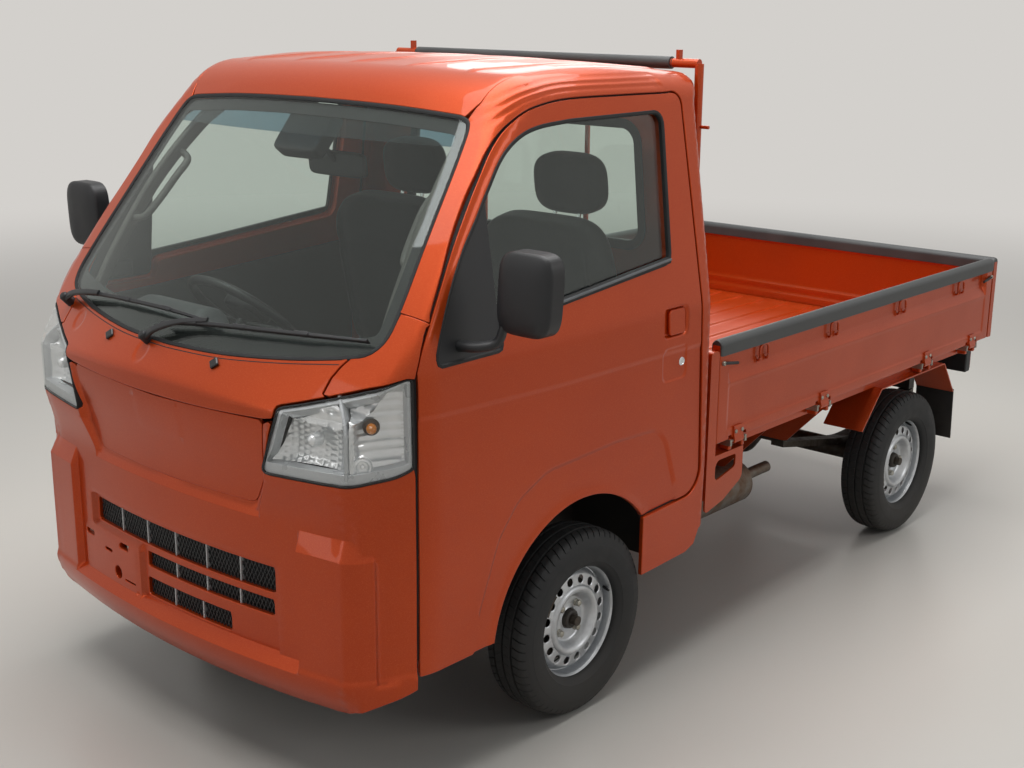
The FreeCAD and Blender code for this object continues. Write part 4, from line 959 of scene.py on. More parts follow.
@dataclass
class CabForm:
    """The cab's outer form as one signed distance, below zero inside."""

    nose_radius: float = 3.125
    screen_radius: float = 3.15
    screen_flatter: float = 2.9
    screen_lean: float = math.radians(39.7)
    foot: tuple[float, float] = (-1.6375, 1.072)
    corner_at: tuple[float, float] = (0.7375, -1.4465)
    pillar_ridge: float = 0.035
    roof_ridge: float = 0.10
    side: Array = field(default_factory=lambda: rounded(
        [(0.7275, 0.15), (0.7375, 0.6, 1.5), (0.7325, 1.08, 0.3), (0.6305, 1.743, 0.3),
         (0.60, 1.95)], closed=False, step=1.0))
    roof: Array = field(default_factory=lambda: rounded(
        [(-1.5, 1.7117), (-1.087, 1.735, 0.9), (-0.6975, 1.757, 2.5), (-0.2655, 1.724, 0.4),
         (0.2, 1.66)], closed=False, step=0.5))
    back: Array = field(default_factory=lambda: rounded(
        [(-0.3055, 0.1), (-0.3055, 1.642, 0.02), (-0.2655, 1.702, 0.02), (-0.2655, 1.9)],
        closed=False))

    def field_at(self, points: Array) -> tuple[Array, Array]:
        """How far each point lies outside the form, and the way out there.

        The nose is a cylinder, the windscreen a bow that is flatter higher up, the front corners
        are planes, and the sides, the roof and the back are profiles. They meet in true arcs.
        """
        sign = np.where(points[..., 0] < 0, -1.0, 1.0)
        x, y, z = points[..., 0] * sign, points[..., 1], points[..., 2]
        nought = np.zeros_like(x)

        def ways(*parts: Array) -> Array:
            """Vectors of unit length from their three parts."""
            return unit(np.stack(np.broadcast_arrays(*parts, nought)[:3], -1))
        deep = y - FRONT_Y - self.nose_radius
        nose = np.hypot(x, deep) - self.nose_radius, ways(x, deep, nought)
        cosine, sine = math.cos(self.screen_lean), math.sin(self.screen_lean)
        bend = self.screen_radius + self.screen_flatter * np.clip(z - 1.12, -0.1, 0.6)
        ahead = -(y - self.foot[0]) * cosine + (z - self.foot[1]) * sine
        rise = np.hypot(1, x / bend)
        screen = (ahead + x * x / (2 * bend)) / rise, ways(x / bend, nought - cosine, nought + sine)
        out = unit(np.array([0.256, -0.129]))
        corner = ((x - self.corner_at[0]) * out[0] + (y - self.corner_at[1]) * out[1],
                  ways(nought + out[0], nought + out[1], nought))
        width = np.interp(z, self.side[:, 1], self.side[:, 0])
        lean = -(np.interp(z + 0.004, self.side[:, 1], self.side[:, 0])
                 - np.interp(z - 0.004, self.side[:, 1], self.side[:, 0])) / 0.008
        flank = (x - width) / np.hypot(1, lean), ways(nought + 1, nought, lean)
        slope = (np.interp(y + 0.004, self.roof[:, 0], self.roof[:, 1])
                 - np.interp(y - 0.004, self.roof[:, 0], self.roof[:, 1])) / 0.008
        level = np.interp(y, self.roof[:, 0], self.roof[:, 1]) - 0.014 * (x / 0.6305) ** 2
        crown = ((z - level) / np.hypot(1, slope),
                 ways(0.028 * x / 0.6305 ** 2, -slope, nought + 1))
        tail = y - np.interp(z, self.back[:, 1], self.back[:, 0]), ways(nought, nought + 1, nought)
        body = round_max(round_max(nose, corner, 0.08), flank, 0.2)
        upper = round_max(crown, screen, 0.2)
        edge = (self.pillar_ridge + (self.roof_ridge - self.pillar_ridge)
                * smooth_step(1.50, 1.72, z))
        whole = round_max(round_max(body, upper, edge), tail, 0.02)
        way = whole[1].copy()
        way[..., 0] *= sign
        return whole[0], way

    def distance(self, points: Array) -> Array:
        """How far each point lies outside the form."""
        return self.field_at(points)[0]

    def normal(self, points: Array) -> Array:
        """The way out at each point."""
        return self.field_at(points)[1]

    def cast(self, start: Array, way: Array, reach: float = 2.0) -> Array:
        """Where rays from inside leave the form, by halving the span 34 times."""
        low, high = np.zeros(len(start)), np.full(len(start), reach)
        for _ in range(34):
            middle = (low + high) / 2
            out = self.distance(start + way * middle[:, None]) > 0
            low, high = np.where(out, low, middle), np.where(out, middle, high)
        return start + way * ((low + high) / 2)[:, None]


FORM = CabForm()


class View(Enum):
    """How a panel's two numbers become a ray from inside the cab."""

    SIDE = "y and z, looking out along X"
    TOP = "x and y, looking up"
    BACK = "x and z, looking back"
    SCREEN = "x and z, looking forwards"
    ROUND = "turn about an upright axis in the cab, times 0.5, and z"
    CORNER = "y and z on a plane 0.7 to the left, seen from a point in the cab"

    def rays(self, uv: Array) -> tuple[Array, Array]:
        """Each ray's start and unit direction."""
        u, v, nought = uv[:, 0], uv[:, 1], np.zeros(len(uv))
        if self is View.SIDE:
            return np.stack([nought + 0.2, u, v], 1), np.broadcast_to(X_UNIT, (len(uv), 3))
        if self is View.TOP:
            return np.stack([u, v, nought + 1.2], 1), np.broadcast_to(Z_UNIT, (len(uv), 3))
        if self is View.BACK:
            return np.stack([u, nought - 0.8, v], 1), np.broadcast_to(Y_UNIT, (len(uv), 3))
        if self is View.SCREEN:
            return np.stack([u, nought - 0.6, v], 1), np.broadcast_to(-Y_UNIT, (len(uv), 3))
        if self is View.ROUND:
            turn = u / 0.5
            return (np.stack([nought, nought - 1.25, v], 1),
                    np.stack([np.sin(turn), -np.cos(turn), nought], 1))
        return (np.broadcast_to(np.array([0, -0.95, 1.0]), (len(uv), 3)),
                unit(np.stack([nought + 0.7, u + 0.95, v - 1.0], 1)))

    def flat(self, points: Array) -> Array:
        """The two numbers whose ray passes through each point."""
        points = np.asarray(points, float)
        x, y, z = points[:, 0], points[:, 1], points[:, 2]
        if self is View.SIDE:
            return np.stack([y, z], 1)
        if self is View.TOP:
            return np.stack([x, y], 1)
        if self in (View.BACK, View.SCREEN):
            return np.stack([x, z], 1)
        if self is View.ROUND:
            return np.stack([np.arctan2(x, -(y + 1.25)) * 0.5, z], 1)
        scale = 0.7 / x
        return np.stack([(y + 0.95) * scale - 0.95, (z - 1.0) * scale + 1.0], 1)

    def on_form(self, uv: Array) -> Array:
        """The form's own points at two numbers each."""
        start, way = self.rays(np.asarray(uv, float))
        return FORM.cast(start, way)


Depth = Callable[[Array], Array]


def no_depth(points: Array) -> Array:
    """A panel that follows the form."""
    return np.zeros(len(points))


def sunk_by(distance: float) -> Depth:
    """A panel that lies evenly behind the form."""
    return lambda points: distance + 0 * points[:, 0]


@dataclass
class Panel:
    """A sheet cut from the cab's form.

    A point is the form's point less its normal times a depth, which creases and recesses change.
    The edges roll inwards by a quarter circle and end in an inner skin, so that it is closed.
    """

    view: View
    outline: Array
    holes: list[Array] = field(default_factory=list)
    depth: Depth = no_depth
    thickness: float = 0.012
    roll: float = 0.0025
    step: float = 0.022
    lines: list[Array] = field(default_factory=list)

    def at(self, uv: Array) -> Array:
        """The sheet's outer face."""
        base = self.view.on_form(uv)
        return base - FORM.normal(base) * self.depth(base)[:, None]

    def normals_at(self, uv: Array, outward: Array) -> Array:
        """The sheet's true normals, from differences of its own face."""
        e = 6e-4
        along_u = self.at(uv + [e, 0]) - self.at(uv - [e, 0])
        along_v = self.at(uv + [0, e]) - self.at(uv - [0, e])
        found = unit(np.cross(along_u, along_v))
        return found * np.sign(np.sum(found * outward, 1))[:, None]

    def flat_mesh(self) -> tuple[Array, list, list[Array]]:
        """Triangles of the outline with its holes, on a net of points at the panel's step.

        Returns:
            The plane points, the triangles, and each loop's point numbers in order.
        """
        loops = [evened(loop, self.step * 0.5) if len(loop) < 8 else
                 resampled(np.asarray(loop, float), self.step * 0.6)
                 for loop in [self.outline, *self.holes]]
        low, high = loops[0].min(0), loops[0].max(0)
        u, v = np.meshgrid(np.arange(low[0], high[0], self.step),
                           np.arange(low[1], high[1], self.step))
        u = u + (np.arange(len(v)) % 2)[:, None] * self.step / 2
        net = np.stack([u.ravel(), v.ravel()], 1)
        keep = inside(net, loops[0]) & (apart(net, loops[0], True) > self.step * 0.42)
        for hole in loops[1:]:
            keep &= ~inside(net, hole) & (apart(net, hole, True) > self.step * 0.42)
        for line in self.lines:
            keep &= apart(net, line) > self.step * 0.3
        net = net[keep]
        points, edges, spans = [], [], []
        start = 0
        for loop in loops:
            spans.append(range(start, start + len(loop)))
            edges += [(start + k, start + (k + 1) % len(loop)) for k in range(len(loop))]
            points.append(loop)
            start += len(loop)
        for line in self.lines:
            inner = resampled(line, self.step * 0.7, False)
            good = inside(inner, loops[0]) & (apart(inner, loops[0], True) > self.step * 0.15)
            for hole in loops[1:]:
                good &= ~inside(inner, hole) & (apart(inner, hole, True) > self.step * 0.15)
            edges += [(start + k, start + k + 1) for k in range(len(inner) - 1)
                      if good[k] and good[k + 1]]
            points.append(inner[good])
            number = np.cumsum(good) - 1
            edges = [e if e[0] < start else (start + int(number[e[0] - start]),
                                             start + int(number[e[1] - start])) for e in edges]
            start += int(good.sum())
        points.append(net)
        flat = np.vstack(points)
        made = delaunay_2d_cdt([Vector(p) for p in flat.tolist()], edges, [], 0, 1e-7)
        out, faces, origin = np.array([tuple(p) for p in made[0]]), made[2], made[3]
        where = {old: new for new, olds in enumerate(origin) for old in olds}
        middle = out[np.array(faces)].mean(1)
        good = inside(middle, loops[0])
        for hole in loops[1:]:
            good &= ~inside(middle, hole)
        faces = [tuple(f) for f, g in zip(faces, good) if g]
        return out, faces, [np.array([where[k] for k in span]) for span in spans]

    def shape(self) -> Shape:
        """The whole closed sheet, with exact normals."""
        uv, faces, loops = self.flat_mesh()
        base = self.view.on_form(uv)
        outward = FORM.normal(base)
        front = base - outward * self.depth(base)[:, None]
        normals = self.normals_at(uv, outward)
        corners = front[np.array(faces)]
        way = np.cross(corners[:, 1] - corners[:, 0], corners[:, 2] - corners[:, 0])
        if np.sum(way * normals[np.array(faces)[:, 0]]) < 0:
            faces = [f[::-1] for f in faces]
        count = len(front)
        points, all_normals = [front, front - outward * self.thickness], [normals, -normals]
        out_faces = faces + [tuple(i + count for i in f[::-1]) for f in faces]
        start = 2 * count
        for k, loop in enumerate(loops):
            flat = uv[loop]
            along = tangents(flat)
            sign = math.copysign(1, area_of(flat)) * (1 if k == 0 else -1)
            away = np.stack([along[:, 1], -along[:, 0]], 1) * sign
            there = self.view.on_form(flat + away * 1e-3) - base[loop]
            run = tangents(front[loop])
            out = there - normals[loop] * np.sum(there * normals[loop], 1)[:, None]
            out = unit(out - run * np.sum(out * run, 1)[:, None])
            rows, row_normals = [], []
            for t in (30, 60, 90):
                c, s = math.cos(math.radians(t)), math.sin(math.radians(t))
                rows.append(front[loop] + self.roll * (s * out - (1 - c) * normals[loop]))
                row_normals.append(unit(c * normals[loop] + s * out))
            rows.append(front[loop] + self.roll * out - self.thickness * outward[loop])
            row_normals.append(out)
            size = len(loop)
            rings = [loop] + [np.arange(size) + start + i * size for i in range(4)]
            rings.append(loop + count)
            points += rows
            all_normals += row_normals
            start += 4 * size
            quads = []
            for one, two in zip(rings[:-1], rings[1:]):
                quads += list(zip(one.tolist(), two.tolist(), np.roll(two, -1).tolist(),
                                  np.roll(one, -1).tolist()))
            stacked = np.vstack(points)
            q = quads[len(loop)]
            facing = np.cross(stacked[q[1]] - stacked[q[0]], stacked[q[3]] - stacked[q[0]])
            if float(facing @ (normals[loop[0]] + out[0])) < 0:
                quads = [f[::-1] for f in quads]
            out_faces += quads
        return Shape(np.vstack(points), out_faces, np.vstack(all_normals))


def on_cab(view: View, uv: Array, lift: float = 0.0) -> Array:
    """Points of the form, lifted along its normal."""
    base = view.on_form(np.asarray(uv, float))
    return base + FORM.normal(base) * lift


def strip_on_cab(view: View, line: Array, profile: Array, closed: bool = False) -> Shape:
    """A moulding along a line on the form.

    Args:
        view: how the line's numbers are read.
        line: its points (n, 2).
        profile: rows (across, out), in metres from the line and from the form's face.
        closed: whether the line closes on itself.

    Returns:
        The moulding as a closed shape.
    """
    base = view.on_form(line)
    outward = FORM.normal(base)
    along = tangents(base, closed)
    across = unit(np.cross(along, outward))
    return carried(base, across, outward, profile, closed)


def ramp(points: Array, axis: int, low: float, high: float) -> Array:
    """A smooth rise from 0 to 1 between two places along an axis."""
    return smooth_step(low, high, points[:, axis])


def bezier_like(points: Array, count: int) -> Array:
    """A smooth line through points: each run is a cubic whose end slopes are half the span of
    its neighbours (Catmull and Rom's rule)."""
    points = np.asarray(points, float)
    padded = np.vstack([2 * points[0] - points[1], points, 2 * points[-1] - points[-2]])
    at = np.linspace(0, len(points) - 1, count)
    index = np.minimum(at.astype(int), len(points) - 2)
    t = (at - index)[:, None]
    a, b, c, d = (padded[index + k] for k in range(4))
    return 0.5 * (2 * b + (c - a) * t + (2 * a - 5 * b + 4 * c - d) * t ** 2
                  + (3 * b - a - 3 * c + d) * t ** 3)


# ---------------------------------------------------------------- cab skin

def arc_points(centre: Sequence[float], radius: float, start: float, end: float,
               count: int = 24) -> Array:
    """Points of a plane arc from one angle to another, in degrees."""
    turn = np.radians(np.linspace(start, end, count))
    return np.stack([centre[0] + radius * np.cos(turn), centre[1] + radius * np.sin(turn)], 1)


@dataclass
class Outlines:
    """The cab's gaps and openings, as plane lines of the left side."""

    door_front: float = -1.4775
    arch: tuple[float, float, float] = (-0.8725, 0.290, 0.345)
    pillar: tuple = ((-1.4790, 1.090), (-1.4607, 1.141), (-1.4262, 1.198), (-1.3763, 1.274),
                     (-1.3245, 1.351), (-1.2735, 1.421), (-1.2192, 1.492), (-1.1644, 1.557),
                     (-1.1089, 1.605), (-1.0432, 1.639), (-0.9752, 1.656), (-0.8612, 1.6675),
                     (-0.6398, 1.6675), (-0.46, 1.666))
    window_front: tuple = ((-1.4165, 1.123), (-1.3975, 1.165), (-1.3541, 1.250),
                           (-1.3004, 1.334), (-1.2383, 1.410), (-1.1849, 1.478),
                           (-1.1282, 1.543), (-1.0606, 1.585), (-0.9831, 1.605),
                           (-0.860, 1.614))
    screen_edge: tuple = ((0.0, 1.070), (0.20, 1.0745), (0.40, 1.089), (0.52, 1.103),
                          (0.5828, 1.1138), (0.6120, 1.1260), (0.6290, 1.1470),
                          (0.6338, 1.1700), (0.6327, 1.1950), (0.6258, 1.2521),
                          (0.6119, 1.342), (0.5997, 1.4250), (0.5865, 1.5150),
                          (0.5744, 1.5800), (0.5660, 1.6080), (0.5560, 1.6210),
                          (0.5390, 1.6285), (0.5100, 1.6330), (0.336, 1.6440),
                          (0.17, 1.6490), (0.0, 1.651))

    def door_gap(self) -> Array:
        """Middle of the gap round the door, from its lower front corner over the top to the
        arch, in y and z."""
        front = [(self.door_front, 0.338), (self.door_front, 1.05)]
        top = bezier_like(self.pillar, 60)
        rear = rounded([top[-1], (-0.3785, 1.668, 0.06), (-0.3385, 0.522, 0.075),
                        (-0.6095, 0.512)], closed=False, step=6)
        return resampled(np.vstack([front, top, rear[1:]]), 0.02, False)

    def arch_line(self, radius: float) -> Array:
        """The wheel opening's edge inside the door, from its rear end to its front foot."""
        centre = self.arch[:2]
        rear = math.degrees(math.asin((0.512 - centre[1]) / radius))
        front = 180 - math.degrees(math.asin((0.338 - centre[1]) / radius))
        return arc_points(centre, radius, rear, front, 40)

    def door(self, gap: float) -> Array:
        """The door skin's edge, gap inside the gap's middle."""
        line = self.door_gap()
        return np.vstack([line + right_of(line) * gap, self.arch_line(self.arch[2] + 0.004)[1:]])

    def window(self) -> Array:
        """The door's window opening with its sail corner."""
        front = bezier_like(self.window_front, 40)
        rest = rounded([front[-1], (-0.4695, 1.618, 0.035), (-0.4915, 1.215, 0.03),
                        (-1.1945, 1.150, 0.03), (-1.1995, 1.096, 0.012),
                        (-1.4200, 1.094, 0.018), front[0]], closed=False, step=8)
        return evened(np.vstack([front, rest[1:-1]]), 0.012)

    def screen(self) -> Array:
        """The windscreen's opening, in x and z."""
        left = bezier_like(self.screen_edge, 90)
        left[0, 0] = left[-1, 0] = 0.0
        return evened(whole_loop(left), 0.014)

    def rear_window(self) -> Array:
        """The opening in the cab's back, in x and z."""
        return resampled(tapered(0.485, 1.21, 0.45, 1.56, (0.05, 0.06)), 0.02)


LINES = Outlines()
SCREEN_GAP = 0.0045


def corner_y(x: float) -> float:
    """Roughly where the front corner lies along Y, at an x between 0.60 and 0.73."""
    return -1.624 + (x - 0.648) * 1.98


def round_uv(points: Sequence[Sequence[float]]) -> Array:
    """Rough (x, z) points ahead of the axis as ROUND numbers, cast forwards onto the form."""
    flat = np.asarray(points, float)
    return View.ROUND.flat(View.SCREEN.on_form(flat))


@dataclass
class CabSkin:
    """The cab's painted panels, their seals and the glass."""

    seam: float = 0.0022
    lamp_gap: float = 0.003
    lid_depth: float = 0.033

    def build(self) -> None:
        """Makes the fixed panels and the glass."""
        self.side_frame()
        self.roof()
        self.back()
        self.cowl()
        self.lid()
        self.screen()
        self.rear_window()
        self.seals()

    LAMP = ((0.437, -1.659, 0.996, 0.016), (0.494, -1.632, 1.011, 0.2),
            (0.563, -1.601, 1.030, 0.2), (0.606, -1.580, 1.043, 0.2),
            (0.649, -1.557, 1.057, 0.2), (0.702, -1.515, 1.075, 0.1),
            (0.7190, -1.4845, 1.082, 0.012), (0.723, -1.4835, 0.862, 0.012),
            (0.701, -1.518, 0.843, 0.1), (0.644, -1.620, 0.832, 0.1),
            (0.570, -1.645, 0.829, 0.2), (0.483, -1.660, 0.826, 0.2),
            (0.383, -1.674, 0.822, 0.014))

    def lamp_edge(self) -> Array:
        """The head lamp's outline as ROUND numbers: inner top, along the top to the door gap,
        down, and back along the bottom."""
        flat = View.ROUND.flat([p[:3] for p in self.LAMP])
        rows = [(*c, p[3]) for c, p in zip(flat.tolist(), self.LAMP)]
        return evened(rounded(rows, step=12), 0.010)

    PILLAR_SEAM = ((0.6324, -1.4452, 1.212), (0.6605, -1.4409, 1.2085),
                   (0.7078, -1.4275, 1.1974))

    def side_frame(self) -> None:
        """Pillars, roof rail and sill as one pressing round the door."""
        gap = LINES.door_gap()
        gap = gap - right_of(gap) * self.seam * 2
        door_side = gap[int(np.argmax(gap[:, 1] > 1.203)):]
        edge = View.SIDE.on_form(door_side)
        sill = View.SIDE.on_form(resampled([(-0.6095, 0.500), (-0.6055, 0.337), (-0.3945, 0.344),
                                            (-0.3535, 0.358), (-0.332, 0.40)], 0.03, False))
        rear = View.BACK.on_form(resampled([(0.70, 0.452), (0.602, 0.46), (0.602, 1.0),
                                            (0.602, 1.60)], 0.03, False))
        rail = View.TOP.on_form(resampled([(0.578, -0.278), (0.578, -0.7), (0.575, -1.02),
                                           (0.566, -1.10)], 0.03, False))
        rows = [edge, sill, rear, rail, View.SCREEN.on_form(self.screen_side(SCREEN_GAP)),
                np.array(self.PILLAR_SEAM) + [0, 0, 0.0015]]
        uv = self.cleaned(View.CORNER.flat(np.vstack(rows)))
        shape = Panel(View.CORNER, uv, depth=self.rail_creases, step=0.018,
                      lines=self.crease_lines()).shape()
        place_both("cab_side_skin", shape, PAINT, replaces=["cab_side_SIDE"])

    def screen_side(self, gap: float) -> Array:
        """The left edge of the windscreen's opening from its top corner to the pillar's seam."""
        loop = outset(LINES.screen(), gap)
        keep = loop[(loop[:, 0] > 0.55) & (loop[:, 1] > 1.213) & (loop[:, 1] < 1.632)]
        return keep[np.argsort(-keep[:, 1])]

    RAIL_LINES = (0.020, 0.034, 0.048)

    def rail_path(self, out: float) -> Array:
        """A line along the roof rail, out above the door's gap, in y and z seen from the side."""
        line = bezier_like(np.array(LINES.pillar)[1:], 60)
        return line - right_of(line) * out

    def crease_lines(self) -> list[Array]:
        """The rail's creases and lines close on each side of them, as CORNER numbers."""
        rows = []
        for out in self.RAIL_LINES:
            for shift in (-0.004, 0.0, 0.004):
                path = self.rail_path(out + shift)
                inner = path[(path[:, 0] > -1.20) & (path[:, 0] < -0.47)]
                rows.append(View.CORNER.flat(View.SIDE.on_form(inner)))
        return rows

    def rail_creases(self, points: Array) -> Array:
        """Fine grooves that sweep from the pillar along the roof rail, 1.6 mm deep."""
        flat = points[:, 1:]
        found = np.zeros(len(points))
        for out in self.RAIL_LINES:
            away = apart(flat, self.rail_path(out))
            found += 0.0016 * np.exp(-(away / 0.0035) ** 2)
        return found * ramp(points, 2, 1.575, 1.635)

    ROOF_BEADS = (-0.44, -0.22, 0.0, 0.22, 0.44)

    @staticmethod
    def bead_half(y: Array) -> Array:
        """Half a bead's width, narrowing to nothing at the front."""
        return 0.055 * smooth_step(-1.06, -0.80, y) + 0.002

    def beads(self, points: Array) -> Array:
        """Raised beads along the roof, 4.5 mm high, that taper out at the front."""
        x, y = points[:, 0], points[:, 1]
        found = np.zeros(len(points))
        half = self.bead_half(y)
        for middle in self.ROOF_BEADS:
            top = smooth_step(0, 1, (half - np.abs(x - middle)) / 0.018 + 0.5)
            found -= 0.0045 * top * smooth_step(-1.05, -0.95, y) * smooth_step(-0.28, -0.33, y)
        return found

    def roof(self) -> None:
        """The roof and the header above the windscreen."""
        top = outset(LINES.screen(), SCREEN_GAP)
        edge = top[(top[:, 1] > 1.632) & (np.abs(top[:, 0]) < 0.556)]
        edge = edge[np.argsort(-edge[:, 0])]
        front = View.TOP.flat(View.SCREEN.on_form(edge))
        half = 0.575
        loop = np.vstack([front, [(-0.562, -1.10), (-0.572, -1.02), (-half, -0.7),
                                  (-half, -0.278), (half, -0.278), (half, -0.7),
                                  (0.572, -1.02), (0.562, -1.10)]])
        lines = []
        for middle in self.ROOF_BEADS:
            for shift in (-0.009, 0.0, 0.009):
                run = np.linspace(-1.0, -0.33, 30)
                away = np.maximum(self.bead_half(run) + shift, 0.0025)
                lines += [np.column_stack([middle + side * away, run]) for side in (-1, 1)]
        shape = Panel(View.TOP, loop, depth=self.beads, step=0.022, lines=lines).shape()
        place("roof_skin", shape, PAINT, replaces=["roof_panel"])

    def back(self) -> None:
        """The cab's back with its window and two pressed ribs below it."""
        def ribs(points: Array) -> Array:
            """Horizontal ribs, 5 mm deep."""
            z, x = points[:, 2], np.abs(points[:, 0])
            reach = smooth_step(0.56, 0.53, x)
            return reach * 0.005 * sum(np.exp(-((z - level) / 0.02) ** 2)
                                       for level in (0.68, 0.84, 1.0, 1.13))
        loop = np.array([(-0.598, 0.524), (0.598, 0.524), (0.598, 1.60), (0.575, 1.695),
                         (0.3, 1.70), (-0.3, 1.70), (-0.575, 1.695), (-0.598, 1.60)])
        shape = Panel(View.BACK, resampled(loop, 0.03), [outset(LINES.rear_window(), 0.003)],
                      ribs, step=0.024).shape()
        place("cab_back_skin", shape, PAINT, replaces=["cab_back_panel"])

    DIAGONAL = ((0.5616, -1.5404, 1.1085), (0.5503, -1.5583, 1.090), (0.5410, -1.5794, 1.066),
                (0.5410, -1.6050, 1.034))

    def cowl(self) -> None:
        """The panel under the windscreen, and the caps beside it over the lamps."""
        lamp = outset(self.lamp_edge(), self.lamp_gap)
        diagonal = View.ROUND.flat(self.DIAGONAL)
        screen = outset(LINES.screen(), SCREEN_GAP)
        lower = screen[(screen[:, 1] < 1.2) & (screen[:, 0] >= -1e-9)]
        lower = lower[np.argsort(lower[:, 0] + 2 * np.maximum(lower[:, 1] - 1.12, 0))]
        middle = View.ROUND.flat(View.SCREEN.on_form(lower[lower[:, 0] < 0.556]))
        middle = middle[middle[:, 0] < diagonal[0, 0] - 0.004]
        middle[0, 0] = 0.0
        bottom = round_uv([(x, 0.953 + 0.010 * (x / 0.4) ** 2) for x in np.linspace(0, 0.405, 12)])
        lamp_top = self.along_lamp(lamp, bottom[-1] + (0.008, 0.004), diagonal[-1])
        left = self.cleaned(np.vstack([bottom, lamp_top, diagonal[::-1] - (self.seam, 0.0),
                                       middle[::-1]]))
        loop = np.vstack([left[:-1], middle[:1], left[1:-1][::-1] * [-1, 1]])
        rims = [round_uv(np.vstack([ring, ring[:1]]) + [x, z]) for x, z in self.WIPER_SHAFTS
                for ring in (circle(0.0315, 28), circle(0.0230, 24), circle(0.0148, 20))]
        shape = Panel(View.ROUND, loop, depth=self.cowl_depth, step=0.012, lines=rims).shape()
        place("cowl_skin", shape, PAINT, replaces=["front_panel"])
        # A thin black strip just proud of the cowl along its seam: painted shade for the seam's
        # dark groove.
        seam = np.array([(-0.0012, -0.004), (0.0012, -0.004), (0.0012, 0.0003), (-0.0012, 0.0003)])
        place("cowl_seam", strip_on_cab(View.ROUND, round_uv(self.cowl_line()), seam), RUBBER)
        corner = View.ROUND.flat(View.SCREEN.on_form(lower[lower[:, 0] > 0.556]))
        corner = corner[corner[:, 0] > diagonal[0, 0] + 0.006]
        gap = View.SIDE.on_form([(-1.482, 1.090), (-1.4650, 1.141), (-1.4490, 1.172),
                                 (-1.4375, 1.188)])
        cap = np.vstack([diagonal + (self.seam + 0.001, 0.0),
                         self.along_lamp(lamp, diagonal[-1] + (0.006, 0),
                                         View.ROUND.flat(gap[:1])[0] + (0, -0.01)),
                         View.ROUND.flat(gap),
                         View.ROUND.flat(np.array(self.PILLAR_SEAM)[::-1] - [0, 0, 0.004]),
                         corner[::-1]])
        shape = Panel(View.ROUND, self.cleaned(cap), step=0.011, roll=0.002).shape()
        place_both("fender_cap", shape, PAINT)

    WIPER_SHAFTS = ((-0.085, 1.040), (-0.455, 1.055))
    COWL_SEAM = ((0.0, 1.0605), (0.20, 1.0645), (0.38, 1.0775), (0.50, 1.0895), (0.545, 1.094))

    def cowl_line(self) -> Array:
        """The thin seam along the screen's foot, both halves, in x and z."""
        half = bezier_like(self.COWL_SEAM, 24)
        return np.vstack([half[::-1] * [-1, 1], half[1:]])

    def cowl_depth(self, points: Array) -> Array:
        """Round dimples at the wipers' shafts."""
        found = 0 * points[:, 0]
        for x, z in self.WIPER_SHAFTS:
            near = np.hypot(points[:, 0] - x, points[:, 2] - z)
            found = found + 0.003 * smooth_step(0.030, 0.016, near)
        return found

    @staticmethod
    def cleaned(loop: Array) -> Array:
        """A loop without points closer than 2 mm to the one before."""
        keep = [loop[0]]
        for point in loop[1:]:
            if np.linalg.norm(point - keep[-1]) > 0.002:
                keep.append(point)
        if np.linalg.norm(keep[-1] - keep[0]) < 0.002:
            keep.pop()
        return np.array(keep)

    @staticmethod
    def along_lamp(loop: Array, start: Array, end: Array, over: bool = True) -> Array:
        """The lamp's edge from the point nearest start to the one nearest end, over or under."""
        a = int(np.argmin(np.linalg.norm(loop - start, axis=1)))
        b = int(np.argmin(np.linalg.norm(loop - end, axis=1)))
        rows = np.roll(loop, -a, 0)
        b = (b - a) % len(loop)
        one, other = rows[:b + 1], np.vstack([rows[:1], rows[b:][::-1]])
        return one if (one[:, 1].mean() > other[:, 1].mean()) == over else other

    def lid_sink(self, z: Array) -> Array:
        """How far the lid lies behind the form at a height: flush above, sunk below."""
        return self.lid_depth * smooth_step(0.965, 0.72, z) + 0.007

    def lid(self) -> None:
        """The lid between the lamps, sunk by its depth."""
        corners = [(0.0, 0.9418), (0.393, 0.9518, 0.01), (0.368, 0.80, 0.05), (0.331, 0.7310, 0.03),
                   (0.0, 0.7260)]
        left = rounded(corners, closed=False, step=12)
        uv = round_uv(evened(whole_loop(left), 0.012))

        x0, x1, z0, z1, wall = -0.098, 0.092, 0.842, 0.938, 0.006

        def sunk(points: Array) -> Array:
            """Flush at its upper edge and sunk below, with a faint square pad in the middle."""
            x, z = points[:, 0], points[:, 2]
            pad = window_of(x, x0, x1, wall) * window_of(z, z0, z1, wall)
            return self.lid_sink(z) - 0.0015 * pad
        pads = [round_uv(evened([(x0 + g, z0 + g), (x1 - g, z0 + g), (x1 - g, z1 - g),
                                 (x0 + g, z1 - g), (x0 + g, 0.8425 + g)], 0.02, False))
                for g in (0.0, wall)]
        place("front_lid", Panel(View.ROUND, uv, depth=sunk, step=0.02, lines=pads).shape(), PAINT)

